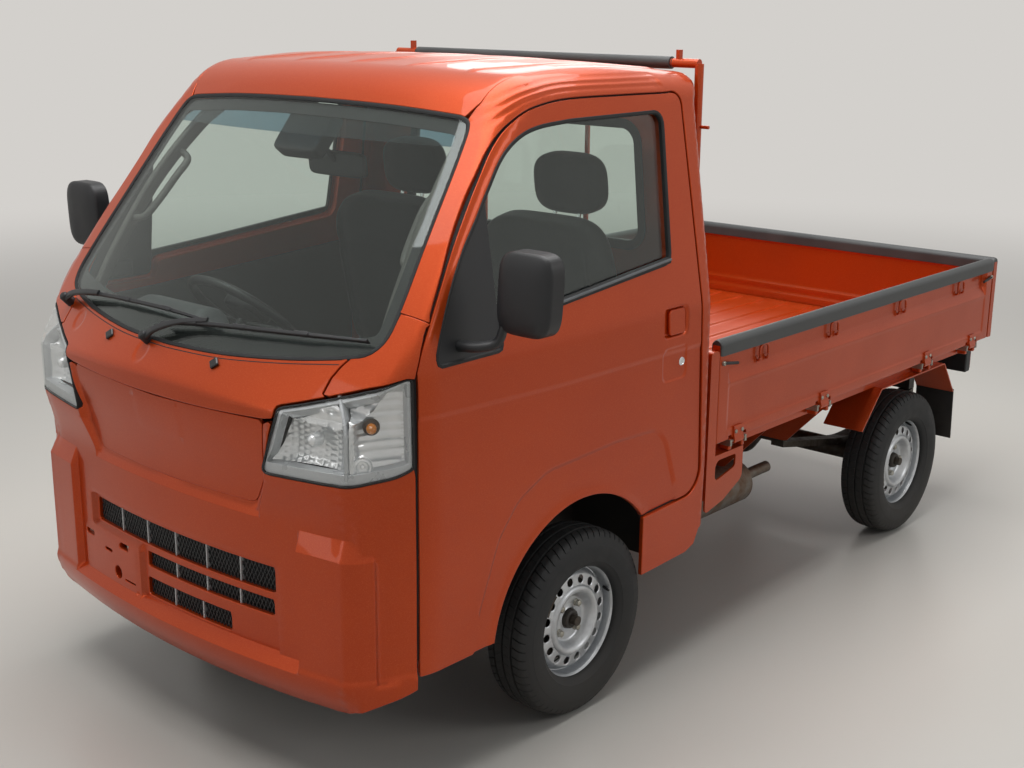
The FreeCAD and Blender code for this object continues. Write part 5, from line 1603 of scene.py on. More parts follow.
    def screen(self) -> None:
        """The windscreen, its black border and its seal."""
        opening = LINES.screen()
        glass = Panel(View.SCREEN, outset(opening, -0.004), depth=sunk_by(0.003), thickness=0.005,
                      roll=0.001, step=0.04).shape()
        place("windscreen_glass", glass, SCREEN, replaces=["windscreen"])
        inner = outset(opening, -0.036)
        inner[:, 1] = np.where(inner[:, 1] < 1.2, inner[:, 1] + 0.022 * (1 - smooth_step(
            1.08, 1.2, inner[:, 1])), inner[:, 1])
        border = Panel(View.SCREEN, outset(opening, -0.006), [inner], depth=sunk_by(0.0095),
                       thickness=0.001, roll=0.0003, step=0.03).shape()
        place("windscreen_border", border, RUBBER)
        band = outset(opening, -0.030)
        band = band[band[:, 1] > band[:, 1].max() - 0.062]
        shade = Panel(View.SCREEN, band, depth=sunk_by(0.0115), thickness=0.0008, roll=0.0002,
                      step=0.03).shape()
        place("windscreen_shade_band", shade, SHADE)
        edge = np.array([(-0.004, -0.012), (0.0035, -0.012), (0.0045, -0.002), (0.002, 0.0005),
                         (-0.003, 0.0005), (-0.0075, -0.0022)])
        place("windscreen_seal", strip_on_cab(View.SCREEN, opening, edge, True), RUBBER)

    def rear_window(self) -> None:
        """The rear pane in its rubber."""
        loop = LINES.rear_window()
        place("rear_glass", Panel(View.BACK, loop, depth=sunk_by(0.006), thickness=0.004,
                                  roll=0.001, step=0.06).shape(), TINTED, replaces=["rear_window"])
        edge = np.array([(-0.016, -0.014), (0.012, -0.014), (0.014, 0.0), (0.009, 0.004),
                         (-0.006, 0.005), (-0.016, 0.001)])
        place("rear_window_seal", strip_on_cab(View.BACK, loop, edge, True), RUBBER)

    def seals(self) -> None:
        """Black strips behind the open seams, so that no light shows through them."""
        flat = np.array([(-0.014, -0.019), (0.014, -0.019), (0.014, -0.013), (-0.014, -0.013)])
        gap = LINES.door_gap()
        rear = gap[int(np.argmax(gap[:, 1] > 0.36)):]
        place_both("door_seal", strip_on_cab(View.SIDE, rear, flat), RUBBER)


@dataclass
class Doors:
    """The front doors with their glass, mouldings, handles and mirrors."""

    gap: float = 0.0047
    # Each recess: its middle and half size in y and z, its depth and its walls' width.
    cup: tuple = ((-0.4795, 1.048), (0.058, 0.046), 0.016, 0.014)
    key_field: tuple = ((-0.4795, 0.930), (0.060, 0.052), 0.003, 0.010)
    key_at: tuple = (-0.4455, 0.930)

    def build(self) -> None:
        """Makes both doors."""
        self.skin()
        self.inner()
        self.glass()
        self.waist()
        self.sail()
        self.handle()
        self.mirror()

    SWAGE = ((-1.462, 0.983), (-0.987, 0.969), (-0.35, 0.966))
    ARCH_SWAGE = ((-1.280, 0.446), (-1.215, 0.618), (-1.140, 0.703), (-1.025, 0.753),
                  (-0.733, 0.766), (-0.549, 0.759), (-0.504, 0.713), (-0.458, 0.583))

    def swage(self) -> Array:
        """The line where the arch's flare meets the door's flat."""
        rows = [(*p, 0.12) for p in self.ARCH_SWAGE]
        return rounded(rows, closed=False, step=8)

    def skin_depth(self, points: Array) -> Array:
        """The shoulder's soft step, the sunk flat round the wheel arch and the rolled arch lip."""
        flat = points[:, 1:]
        y, z = flat[:, 0], flat[:, 1]
        shoulder = np.interp(y, [p[0] for p in self.SWAGE], [p[1] for p in self.SWAGE])
        step = 0.0035 * smooth_step(shoulder + 0.004, shoulder - 0.012, z)
        swage = self.swage()
        ring = np.vstack([swage, [(-0.44, 0.2), (-1.32, 0.2)]])
        within = inside(flat, ring)
        away = apart(flat, swage)
        sunk = np.where(within, smooth_step(0, 0.014, away), 0.0)
        handle = self.sunk(flat, *self.cup)
        card = self.sunk(flat, *self.key_field)
        centre = LINES.arch
        ring_away = np.hypot(y - centre[0], z - centre[1]) - centre[2]
        lip = 0.006 * smooth_step(0.030, 0.006, ring_away)
        return 0.002 + step + 0.0065 * sunk + handle + card - lip * 0.6

    @staticmethod
    def sunk(flat: Array, middle: Sequence[float], half: Sequence[float], depth: float,
             edge: float) -> Array:
        """A recess with a rounded rectangle's outline and sloping walls."""
        over = np.abs(flat - np.asarray(middle)) - np.asarray(half) + 0.022
        away = np.hypot(np.maximum(over[:, 0], 0), np.maximum(over[:, 1], 0)) - 0.022
        return depth * smooth_step(0.0, -edge, away)

    @staticmethod
    def box_lines(middle: Sequence[float], half: Sequence[float],
                  edge: float) -> list[Array]:
        """Lines that mark a recess's walls."""
        rows = []
        for grow in (0.001, -edge * 0.5, -edge, -edge - 0.006):
            a, b = half[0] + grow, half[1] + grow
            loop = oblong(-a, -b, a, b, 0.02, 15)
            rows.append(np.vstack([loop, loop[:1]]) + np.asarray(middle))
        return rows

    def skin(self) -> None:
        """The painted outer sheet."""
        shoulder = [np.array([(y, z + d) for y, z in self.SWAGE])
                    for d in (0.006, 0.0, -0.006, -0.013)]
        swage = self.swage()
        flare = [swage + right_of(swage) * d for d in (-0.003, 0.003, 0.009, 0.015)]
        marks = [line for middle, half, _, edge in (self.cup, self.key_field)
                 for line in self.box_lines(middle, half, edge)]
        lip = [LINES.arch_line(LINES.arch[2] + d)[2:-2] for d in (0.010, 0.018, 0.028)]
        shape = Panel(View.SIDE, LINES.door(self.gap), [outset(LINES.window(), 0.004)],
                      self.skin_depth, step=0.02, lines=shoulder + flare + marks + lip).shape()
        place_both("door_skin", shape, PAINT, "door_SIDE", replaces=["door_SIDE"])

    def inner(self) -> None:
        """The inner frame of the door and its trim card."""
        loop = outset(LINES.door(self.gap), -0.012)
        frame_shape = Panel(View.SIDE, loop, [outset(LINES.window(), 0.012)], sunk_by(0.0145),
                            thickness=0.022, step=0.05).shape()
        place_both("door_inner_frame", frame_shape, PAINT, "door_SIDE")
        card = rounded([(-1.41, 0.56, 0.05), (-1.235, 0.62, 0.05), (-1.12, 0.72, 0.08),
                        (-0.62, 0.73, 0.08), (-0.42, 0.56, 0.04), (-0.40, 1.12, 0.03),
                        (-1.19, 1.06, 0.05), (-1.41, 1.05, 0.03)])
        shape = Panel(View.SIDE, card, depth=sunk_by(0.0375), thickness=0.012, roll=0.004,
                      step=0.05).shape()
        place_both("door_card", shape, CABIN, "door_SIDE")

    def glass(self) -> None:
        """The pane, set back behind the frame, and the seal round it."""
        window = LINES.window()
        place_both("door_pane", Panel(View.SIDE, outset(window, 0.003), depth=sunk_by(0.014),
                                      thickness=0.004, roll=0.0008, step=0.06).shape(), TINTED,
                   "door_SIDE", replaces=["door_glass_SIDE"])
        edge = np.array([(-0.0065, -0.013), (0.0055, -0.013), (0.0055, -0.003), (0.002, -0.0002),
                         (-0.004, -0.0002), (-0.0065, -0.004)])
        place_both("door_window_seal", strip_on_cab(View.SIDE, window, edge, True), RUBBER,
                   "door_SIDE")

    def waist(self) -> None:
        """The double moulding under the pane: a black base with a grey gloss strip on it."""
        line = resampled([(-1.19, 1.1535), (-0.985, 1.1705), (-0.492, 1.2185)], 0.03, False)
        base = np.array([(-0.012, -0.012), (0.006, -0.012), (0.006, -0.002), (0.003, 0.0005),
                         (-0.008, 0.0005), (-0.012, -0.003)])
        place_both("waist_base", strip_on_cab(View.SIDE, line, base), RUBBER, "door_SIDE")
        strip = np.array([(-0.008, 0.0), (-0.001, 0.0), (-0.001, 0.0025), (-0.003, 0.0035),
                          (-0.006, 0.0035), (-0.008, 0.002)])
        place_both("waist_strip", strip_on_cab(View.SIDE, line, strip), STRIP, "door_SIDE")

    def sail(self) -> None:
        """The black panel in the window's front corner, with the divider behind it."""
        window = LINES.window()
        keep = window[window[:, 0] < -1.197]
        start = int(np.argmax(np.linalg.norm(np.diff(keep, axis=0), axis=1)))
        front = np.roll(keep, -(start + 1), 0)
        loop = outset(front, -0.004)
        shape = Panel(View.SIDE, loop, depth=sunk_by(0.004), thickness=0.016, roll=0.003,
                      step=0.02).shape()
        place_both("sail_panel", shape, PLASTIC, "door_SIDE")

    def handle(self) -> None:
        """The flush handle: a cup in the skin with a painted flap, and the key's cylinder."""
        centre_y, centre_z = self.cup[0]
        u, v = Y_UNIT, unit(np.array([-0.06, 0, 1.0]))
        face_x = float(View.SIDE.on_form([(centre_y, centre_z)])[0, 0]) - 0.0045
        loop = oblong(-0.030, -0.036, 0.044, 0.036, 0.012)
        flap = rounded_slab(loop, (face_x, centre_y, centre_z), u, v, 0.010, 0.004, 4)
        place_both("door_handle", flap, PAINT, "door_SIDE")
        key_x = float(View.SIDE.on_form([self.key_at])[0, 0]) - 0.006
        profile = np.array([(-0.004, 0.0125), (0.0, 0.0125), (0.0018, 0.011), (0.002, 0.0085),
                            (0.001, 0.008), (0.001, 0.0015), (-0.001, 0.001), (-0.001, 0.0)])
        place_both("door_key", turned_profile(profile, (key_x, *self.key_at)), CHROME, "door_SIDE")

    def mirror(self) -> None:
        """The outside mirror: a grained pod on an arm from the sail panel, glass at its back."""
        rows, columns = 28, 40
        turn = np.linspace(0, 2 * math.pi, columns, endpoint=False)
        net = []
        for t in np.linspace(0, 1, rows):
            deep = -1.323 + 0.060 * t
            swell = (1 - (1 - min(1, t * 2.6)) ** 2.4) ** 0.5
            half_x, half_z = 0.080 * (0.25 + 0.75 * swell), 0.097 * (0.25 + 0.75 * swell)
            power = 2 / 4.2
            cosine, sine = np.cos(turn), np.sin(turn)
            x = np.sign(cosine) * np.abs(cosine) ** power * half_x
            z = np.sign(sine) * np.abs(sine) ** power * half_z
            x = x + 0.886 + z * 0.06
            net.append(np.stack([x, np.full(columns, deep), z + 1.267], 1))
        pod = grid(np.array(net), False, True, True)
        # Known fault: this turns the faces inwards. The order that grid gives is the outward one.
        pod.faces = [f[::-1] for f in pod.faces]
        place_both("mirror_pod", pod, PLASTIC, "door_SIDE", replaces=["mirror_SIDE"])
        face = rounded([(-0.070, -0.084, 0.03), (0.070, -0.084, 0.03), (0.074, 0.084, 0.03),
                        (-0.064, 0.084, 0.03)])
        pane = rounded_slab(face, (0.886, -1.2615, 1.267), -X_UNIT, Z_UNIT, 0.003, 0.001)
        place_both("mirror_glass", pane, CHROME, "door_SIDE", slot=Slot.GLASS)
        path = np.array([(0.700, -1.335, 1.128), (0.735, -1.335, 1.130), (0.775, -1.325, 1.134),
                         (0.808, -1.305, 1.148), (0.822, -1.298, 1.19)])
        smooth = bezier_like(path, 18)
        across, up = frames_along(smooth)
        flat = circle(0.016, 18, 0.72)
        sizes = np.linspace(1.25, 0.9, len(smooth))[:, None, None]
        arm = carried(smooth, across, up, flat[None] * sizes)
        foot = block((0.694, -1.372, 1.100), (0.714, -1.268, 1.148), 0.008, 3)
        place_both("mirror_arm", joined(arm, foot), PLASTIC, "door_SIDE")


# ---------------------------------------------------------------- front

def window_of(value: Array, low: float, high: float, edge: float) -> Array:
    """1 between low and high and 0 outside, with smooth walls of width edge inside."""
    return smooth_step(low, low + edge, value) * smooth_step(high, high - edge, value)


def rise(low: float, high: float, value: Array) -> Array:
    """A straight rise from 0 at low to 1 at high, or the same downwards."""
    return np.clip((value - low) / (high - low), 0, 1)


@dataclass
class Bumper:
    """The moulded bumper with its stepped corners, grille and plate seat."""

    base: float = 0.026
    proud: float = 0.003
    rows: tuple = ((-0.388, 0.388, 0.502, 0.574, 6), (-0.128, 0.382, 0.440, 0.488, 4),
                   (-0.134, 0.226, 0.358, 0.414, 3))
    bar: float = 0.004

    def build(self) -> None:
        """Makes the cover, the grille's mesh and the small parts on it."""
        self.cover()
        self.mesh()
        self.fittings()

    def edge(self) -> Array:
        """The cover's outline as ROUND numbers: the lid's sill, the lamps' undersides, the door
        gap and the lower edge."""
        skin = CabSkin()
        lid = rounded([(0.0, 0.7220), (0.336, 0.7265, 0.03), (0.372, 0.80, 0.05),
                       (0.3985, 0.9505, 0.004), (0.4125, 0.951, 0.002)], closed=False, step=12)
        lamp = outset(skin.lamp_edge(), 0.0035)
        start = round_uv([(0.416, 0.951)])[0]
        end = View.ROUND.flat([(0.723, -1.4835, 0.853)])[0]
        under = skin.along_lamp(lamp, start, end, over=False)
        flank = View.ROUND.flat(View.SIDE.on_form([(-1.4835, 0.84), (-1.4835, 0.60),
                                                   (-1.4835, 0.40), (-1.4835, 0.305)]))
        low = View.ROUND.flat([(0.70, -1.52, 0.290), (0.648, -1.625, 0.258)])
        foot = round_uv([(0.58, 0.246), (0.42, 0.240), (0.20, 0.237), (0.0, 0.236)])
        left = skin.cleaned(np.vstack([round_uv(evened(lid, 0.02, False)), under, flank, low,
                                       foot]))
        left[0, 0] = left[-1, 0] = 0.0
        return whole_loop(left)

    def relief(self, points: Array) -> Array:
        """How far the cover lies behind the form.

        The middle lies back by base. The stepped corners and the lower lip stand forward by the
        rest, with bevelled tops, the grille's field is sunk, and the foot tucks under.
        """
        x, y, z = points[:, 0], points[:, 1], points[:, 2]
        wide = np.abs(x)
        flank = (0.7 * smooth_step(0.640, 0.662, wide) + 0.3 * rise(-1.585, -1.525, y)
                 * smooth_step(0.60, 0.64, wide))
        step = (rise(0.474, 0.482, wide) * rise(0.694, 0.646, z) * rise(-1.556, -1.574, y))
        lip = rise(0.354, 0.330, z)
        high = np.maximum(step, lip)
        around = np.maximum(rise(0.7225, 0.697, z), rise(0.0, 0.018, wide - self.sill(z)))
        base = self.base * smooth_step(0.85, 0.70, z)
        found = base * (1 - np.maximum(high, flank)) + self.proud
        found = found * around + (CabSkin().lid_sink(z) + 0.001) * (1 - around)
        found = found - 0.006 * np.exp(-np.abs(wide - 0.615) / 0.022) * step
        upper = window_of(x, -0.404, 0.404, 0.010) * window_of(z, 0.490, 0.588, 0.009)
        lower = window_of(x, -0.150, 0.404, 0.010) * window_of(z, 0.345, 0.508, 0.009)
        found = found + 0.012 * np.maximum(upper, lower)
        plate = window_of(x, -0.455, -0.160, 0.008) * window_of(z, 0.345, 0.480, 0.008)
        found = found - 0.004 * plate
        found = found + 0.006 * rise(0.336, 0.350, z) * np.maximum(step, flank)
        tuck = np.clip((0.345 - z) / 0.11, 0, 1) ** 2
        return found + 0.045 * tuck * (1 - 0.75 * flank)

    @staticmethod
    def sill(z: Array) -> Array:
        """Half the width of the lid's opening at a height."""
        return np.interp(z, (0.72, 0.80, 0.95), (0.336, 0.372, 0.3985))

    def marks(self) -> list[Array]:
        """Lines along the relief's edges, so that the mesh follows them."""
        rows = []
        for sign in (-1, 1):
            for x in (0.473, 0.475, 0.481, 0.483, 0.615, 0.640, 0.651, 0.662):
                rows.append(round_uv([(sign * x, z) for z in np.linspace(0.332, 0.70, 14)])
                            if x < 0.63 else self.turned_line(x, sign))
            for z in (0.645, 0.647, 0.670, 0.693, 0.695):
                corner = View.ROUND.flat([(x, corner_y(x), z)
                                          for x in (0.648, 0.660, 0.672, 0.680)])
                rows.append(np.vstack([round_uv([(x, z) for x in np.linspace(0.476, 0.62, 6)]),
                                       corner]) * [sign, 1])
        for y in (-1.5535, -1.5585, -1.5715, -1.5765):
            for sign in (-1, 1):
                rows.append(View.ROUND.flat(View.SIDE.on_form(
                    [(y, z) for z in np.linspace(0.335, 0.697, 10)])) * [sign, 1])
        for z in (0.329, 0.331, 0.342, 0.353, 0.355):
            rows.append(round_uv([(x, z) for x in np.linspace(-0.60, 0.60, 24)]))
        for sign in (-1, 1):
            for away in (0.009, 0.017, 0.019):
                rows.append(round_uv([(sign * (self.sill(z) + away), z)
                                      for z in np.linspace(0.70, 0.94, 16)]))
        for z in (0.695, 0.699, 0.710):
            rows.append(round_uv([(x, z) for x in np.linspace(-0.33, 0.33, 14)]))
        for z0, z1, x0, x1 in ((0.490, 0.588, -0.404, 0.404), (0.345, 0.486, -0.150, 0.404),
                               (0.345, 0.480, -0.455, -0.160)):
            for grow in (0.0, 0.010):
                a, b, c, d = x0 + grow, x1 - grow, z0 + grow, z1 - grow
                rows.append(round_uv(resampled([(a, c), (b, c), (b, d), (a, d), (a, c)], 0.04,
                                               False)))
        return rows

    @staticmethod
    def turned_line(x: float, sign: int) -> Array:
        """An upright line at the corner, where the form turns to the side."""
        flat = View.ROUND.flat([(x, corner_y(x), z) for z in np.linspace(0.345, 0.70, 10)])
        return flat * [sign, 1]

    def holes(self) -> list[Array]:
        """The grille's three openings, the plate seat's slots and the towing eye's hole."""
        found = []
        for x0, x1, z0, z1, _ in self.rows:
            cell = oblong(x0, z0, x1, z1, 0.005, 30)
            found.append(round_uv(evened(cell, 0.014)))
        for x, z, half_x, half_z in ((-0.418, 0.462, 0.026, 0.010), (-0.225, 0.470, 0.026, 0.010),
                                     (-0.310, 0.440, 0.022, 0.007), (-0.200, 0.376, 0.030, 0.005)):
            slot = oblong(x - half_x, z - half_z, x + half_x, z + half_z, 0.004, 30)
            found.append(round_uv(evened(slot, 0.008)))
        eye = circle(0.021, 20) + [-0.262, 0.388]
        found.append(round_uv(eye))
        return found

    def cover(self) -> None:
        """The painted moulding."""
        shape = Panel(View.ROUND, self.edge(), self.holes(), self.relief, step=0.0135,
                      thickness=0.016, roll=0.003, lines=self.marks()).shape()
        place("bumper_cover", shape, PAINT, replaces=["front_bumper"])

    def mesh(self) -> None:
        """Expanded black mesh behind the grille: crossed strands 13 mm apart, and a dark back."""
        rows = []
        strand = np.array([(-0.0012, -0.001), (0.0012, -0.001), (0.0012, 0.001),
                           (-0.0012, 0.001)])
        for x0, x1, z0, z1, _ in self.rows:
            for x in np.arange(x0 - 0.04, x1, 0.013):
                line = round_uv([(x, z0 - 0.004), (x + (z1 - z0) * 0.6, z1 + 0.004)])
                rows.append(self.strand(line, strand))
                line = round_uv([(x + (z1 - z0) * 0.6, z0 - 0.004), (x, z1 + 0.004)])
                rows.append(self.strand(line, strand))
        place("grille_mesh", joined(*rows), PLASTIC)
        bars = []
        blade = tapered(self.bar / 2, -0.012, self.bar / 2, 0.0, (0.001, 0.0015), 30)
        for x0, x1, z0, z1, count in self.rows:
            for x in np.linspace(x0, x1, count + 1)[1:-1]:
                base = on_cab(View.ROUND, round_uv([(x, z0 - 0.003), (x, z1 + 0.003)]), -0.046)
                bars.append(outward(carried(base, X_UNIT, -Y_UNIT, blade)))
        place("grille_bars", joined(*bars), BEZEL, slot=Slot.BLACK_PLASTIC)
        loop = round_uv(evened([(-0.50, 0.32), (0.44, 0.32), (0.44, 0.62), (-0.50, 0.62)], 0.05))
        back = Panel(View.ROUND, loop, depth=sunk_by(0.070), thickness=0.004, step=0.08).shape()
        place("grille_back", back, RUBBER)

    @staticmethod
    def strand(line: Array, profile: Array) -> Shape:
        """One strand, 52 mm behind the form."""
        base = on_cab(View.ROUND, line, -0.052)
        return carried(base, unit(np.cross(base[-1] - base[0], Y_UNIT)), -Y_UNIT, profile)

    def fittings(self) -> None:
        """Silver clips in the plate seat's slots and the reddish eye behind its hole."""
        clips = []
        for x, z in ((-0.430, 0.462), (-0.212, 0.470)):
            y = float(on_cab(View.ROUND, round_uv([(x, z)]), -0.036)[0, 1])
            clips.append(block((x - 0.010, y, z - 0.008), (x + 0.010, y + 0.006, z + 0.008),
                               0.002, 3))
        place("plate_clips", joined(*clips), ZINC)
        y = float(on_cab(View.ROUND, round_uv([(-0.262, 0.388)]), -0.046)[0, 1])
        ring = turned_profile([(0.012, 0.006), (0.003, 0.007), (0.0, 0.010), (0.003, 0.014),
                               (0.012, 0.016)], (-0.262, y, 0.388), (0, 1, 0), 32)
        place("towing_eye", ring, PAINT)


@dataclass
class HeadLamps:
    """Both head lamps: lens, gasket, grey bezel and three reflector cells."""

    split: float = 0.640
    lens_depth: float = 0.002

    def build(self) -> None:
        """Makes the lamps from the outside inwards."""
        loop = CabSkin().lamp_edge()
        lens = Panel(View.ROUND, outset(loop, -0.0055), depth=self.lens_ribs, thickness=0.003,
                     roll=0.0015, step=0.010).shape()
        place_both("lamp_lens", lens, LAMP_LENS)
        gasket = np.array([(-0.0030, -0.030), (0.0030, -0.030), (0.0030, -0.0040),
                           (0.0018, -0.0025), (-0.0012, -0.0025), (-0.0030, -0.005)])
        place_both("lamp_gasket", strip_on_cab(View.ROUND, outset(loop, -0.003), gasket, True),
                   RUBBER)
        self.bezel(loop)
        self.cells(loop)
        self.bulbs()

    def lens_ribs(self, points: Array) -> Array:
        """Smooth over the inner cell, with upright flutes 12 mm apart on the outer one."""
        x, y = points[:, 0], points[:, 1]
        along = np.hypot(x - 0.645, y + 1.63)
        outer = smooth_step(0.0, 0.01, y + 1.612) * smooth_step(0.0, 0.02, x - 0.60)
        return self.lens_depth + 0.0004 * outer * np.sin(along * 2 * math.pi / 0.012)

    def border(self, loop: Array) -> Array:
        """The cells' common outline inside the bezel: wider grey below than above."""
        inner = outset(loop, -0.010)
        low, high = inner[:, 1].min(), inner[:, 1].max()
        share = (inner[:, 1] - low) / (high - low)
        inner[:, 1] += 0.020 * smooth_step(0.25, 0.0, share)
        return inner

    def bezel(self, loop: Array) -> None:
        """The satin grey frame round the cells."""
        ring = Panel(View.ROUND, outset(loop, -0.006), [self.border(loop)], depth=sunk_by(0.008),
                     thickness=0.030, roll=0.002, step=0.012).shape()
        place_both("lamp_bezel", ring, BEZEL, replaces=["headlamps"])

    def cells(self, loop: Array) -> None:
        """The main cell beside the nose and the turn signal's cell round the corner."""
        border = self.border(loop)
        split = float(View.ROUND.flat([(self.split, -1.628, 0.9)])[0, 0])
        for name, keep, bowl in (("main", border[:, 0] < split - 0.004, self.main_bowl),
                                 ("turn", border[:, 0] > split + 0.004, self.turn_bowl)):
            part = border[keep]
            jump = int(np.argmax(np.linalg.norm(np.roll(part, -1, 0) - part, axis=1)))
            part = np.roll(part, -(jump + 1), 0)
            edge = split - 0.005 if name == "main" else split + 0.005
            part = np.vstack([part, [(edge, part[-1, 1]), (edge, part[0, 1])]])
            shape = Panel(View.ROUND, evened(part, 0.007), depth=bowl, thickness=0.002,
                          roll=0.0005, step=0.0065).shape()
            place_both(f"lamp_{name}_reflector", shape, REFLECTOR)
        z = np.linspace(0.842, 1.050, 8)
        wall = View.ROUND.flat([(self.split, -1.628, v) for v in z])
        profile = np.array([(-0.004, -0.045), (0.004, -0.045), (0.0055, -0.010), (0.003, -0.006),
                            (-0.003, -0.006), (-0.0055, -0.010)])
        place_both("lamp_divider", strip_on_cab(View.ROUND, wall, profile), BEZEL)

    @staticmethod
    def main_bowl(points: Array) -> Array:
        """A parabola of facets: each facet is a shallow hollow 16 mm wide."""
        x, z = points[:, 0], points[:, 2]
        u, v = (x - 0.515) / 0.118, (z - 0.925) / 0.085
        reach = np.clip(1 - np.abs(u) ** 2.6, 0, 1) * np.clip(1 - np.abs(v) ** 3.4, 0, 1)
        facet = 0.0022 * np.abs(np.sin(x * math.pi / 0.016)) + 0.0010 * np.abs(
            np.sin(z * math.pi / 0.026))
        return 0.012 + 0.052 * np.sqrt(reach) + facet * smooth_step(0.0, 0.3, reach)

    @staticmethod
    def turn_bowl(points: Array) -> Array:
        """A hollow with level flutes 9 mm apart."""
        y, z = points[:, 1], points[:, 2]
        v, w = (z - 0.955) / 0.11, (y + 1.545) / 0.068
        reach = np.clip(1 - np.abs(v) ** 3, 0, 1) * np.clip(1 - np.abs(w) ** 3, 0, 1)
        return (0.012 + 0.038 * np.sqrt(reach)
                + 0.0016 * np.abs(np.sin(z * math.pi / 0.009)) * smooth_step(0.0, 0.3, reach))

    def bulbs(self) -> None:
        """The main bulb's shield, the amber turn bulb and the small position lamp."""
        def socket(x: float, z: float, sink: float) -> tuple[Array, Array]:
            """A place in a reflector and the way out of it."""
            flat = (round_uv([(x, z)]) if x < 0.60
                    else View.ROUND.flat([(x, corner_y(x), z)]))
            base = View.ROUND.on_form(flat)
            way = FORM.normal(base)[0]
            way = unit(way * [1, 1, 0.2] + [0, -0.35, 0])
            return base[0] - way * sink, way
        centre, way = socket(0.530, 0.925, 0.048)
        shield = np.array([(0.0, 0.0), (0.0, 0.017), (0.012, 0.0165), (0.026, 0.0145),
                           (0.031, 0.010), (0.0335, 0.004), (0.034, 0.0)])
        place_both("lamp_shield", turned_profile(shield[::-1], centre, way, 28), REFLECTOR)
        centre, way = socket(0.672, 0.965, 0.036)
        bulb = np.array([(0.0, 0.0), (0.0, 0.010), (0.006, 0.0115), (0.016, 0.0125),
                         (0.024, 0.0105), (0.029, 0.006), (0.031, 0.0)])
        place_both("turn_bulb", turned_profile(bulb[::-1], centre, way, 28), AMBER)
        collar = np.array([(-0.002, 0.0), (-0.002, 0.020), (0.004, 0.0195), (0.006, 0.013),
                           (0.006, 0.0)])
        place_both("turn_collar", turned_profile(collar[::-1], centre, way, 28), CAST,
                   slot=Slot.LENS)
        centre, way = socket(0.662, 0.876, 0.026)
        small = np.array([(-0.004, 0.0), (-0.004, 0.022), (0.004, 0.0225), (0.008, 0.020),
                          (0.009, 0.016), (0.004, 0.012), (0.003, 0.006), (0.008, 0.004),
                          (0.009, 0.0)])
        place_both("position_lamp", turned_profile(small[::-1], centre, way, 32), REFLECTOR)


@dataclass
class Wipers:
    """Two wipers that lie along the windscreen's foot, and the washer nozzles."""

    arms: tuple = (
        (((-0.085, -1.642, 1.068), (-0.045, -1.634, 1.094), (0.030, -1.617, 1.120),
          (0.125, -1.600, 1.136)),
         ((-0.040, -1.6215, 1.110), (0.10, -1.6075, 1.126), (0.25, -1.590, 1.136),
          (0.42, -1.560, 1.143), (0.600, -1.513, 1.148))),
        (((-0.560, -1.572, 1.090), (-0.520, -1.574, 1.108), (-0.455, -1.578, 1.122),
          (-0.375, -1.584, 1.132)),
         ((-0.520, -1.567, 1.112), (-0.38, -1.580, 1.128), (-0.22, -1.592, 1.136),
          (-0.05, -1.600, 1.140), (0.115, -1.603, 1.136))))

    def build(self) -> None:
        """Makes both wipers and both nozzles."""
        for k, (arm, blade) in enumerate(self.arms):
            self.wiper(("near", "far")[k], np.array(arm), np.array(blade))
        nozzles = []
        for x, z in ((0.197, 1.052), (-0.252, 1.051)):
            base = on_cab(View.SCREEN, [(x, z)])[0]
            way = FORM.normal(base[None])[0]
            across = X_UNIT
            up = np.cross(way, across)
            loop = rounded([(0.0, -0.017, 0.003), (0.017, 0.0, 0.003), (0.0, 0.017, 0.003),
                            (-0.017, 0.0, 0.003)], step=20)
            nozzles.append(outward(rounded_slab(loop, base + way * 0.008, across, up, 0.010,
                                                0.004, 3)))
        place("washer_nozzles", joined(*nozzles), GLOSS)

    @staticmethod
    def wiper(name: str, arm: Array, blade: Array) -> None:
        """One wiper: a pivot cap, a tapering arm, the blade's frame and its rubber.

        Args:
            name: tells the two apart.
            arm: the arm's middle line from the pivot.
            blade: the blade's middle line.
        """
        out = unit(np.array([0.0, -0.75, 0.66]))
        path = bezier_like(arm, 16)
        across = unit(np.cross(tangents(path, False), out))
        share = np.linspace(0, 1, len(path))[:, None, None]
        bar = tapered(0.011, -0.004, 0.009, 0.006, (0.003, 0.004), 30)
        profile = bar[None] * (1.15 - 0.5 * share)
        lift = out * 0.010
        pieces = [carried(path + lift, across, out, profile)]
        cap = np.array([(0.020, 0.0), (0.019, 0.008), (0.014, 0.0125), (0.0, 0.0135),
                        (-0.012, 0.0145), (-0.018, 0.015)])
        pieces.append(turned_profile(cap, arm[0] + lift * 0.6, out, 28))
        line = bezier_like(blade, 26)
        side = unit(np.cross(tangents(line, False), out))
        frame_bar = tapered(0.0065, -0.001, 0.0045, 0.007, (0.002, 0.002), 30)
        taper = 1 - 0.35 * np.abs(np.linspace(-1, 1, len(line)))[:, None, None] ** 2
        pieces.append(carried(line + out * 0.006, side, out, frame_bar[None] * taper))
        for at in (0.22, 0.5, 0.78):
            middle = line[int(at * (len(line) - 1))] + out * 0.013
            along = tangents(line, False)[int(at * (len(line) - 1))]
            loop = oblong(-0.022, -0.006, 0.022, 0.006, 0.004, 30)
            pieces.append(rounded_slab(loop, middle + out * 0.002, along,
                                       np.cross(out, along), 0.010, 0.003))
        place(f"wiper_{name}", joined(*pieces), PLASTIC)
        edge = np.array([(-0.0035, 0.0), (0.0035, 0.0), (0.001, -0.010), (-0.001, -0.010)])
        place(f"wiper_rubber_{name}", carried(line + out * 0.005, side, out, edge), RUBBER,
              slot=Slot.FLAP)


# ---------------------------------------------------------------- wheels

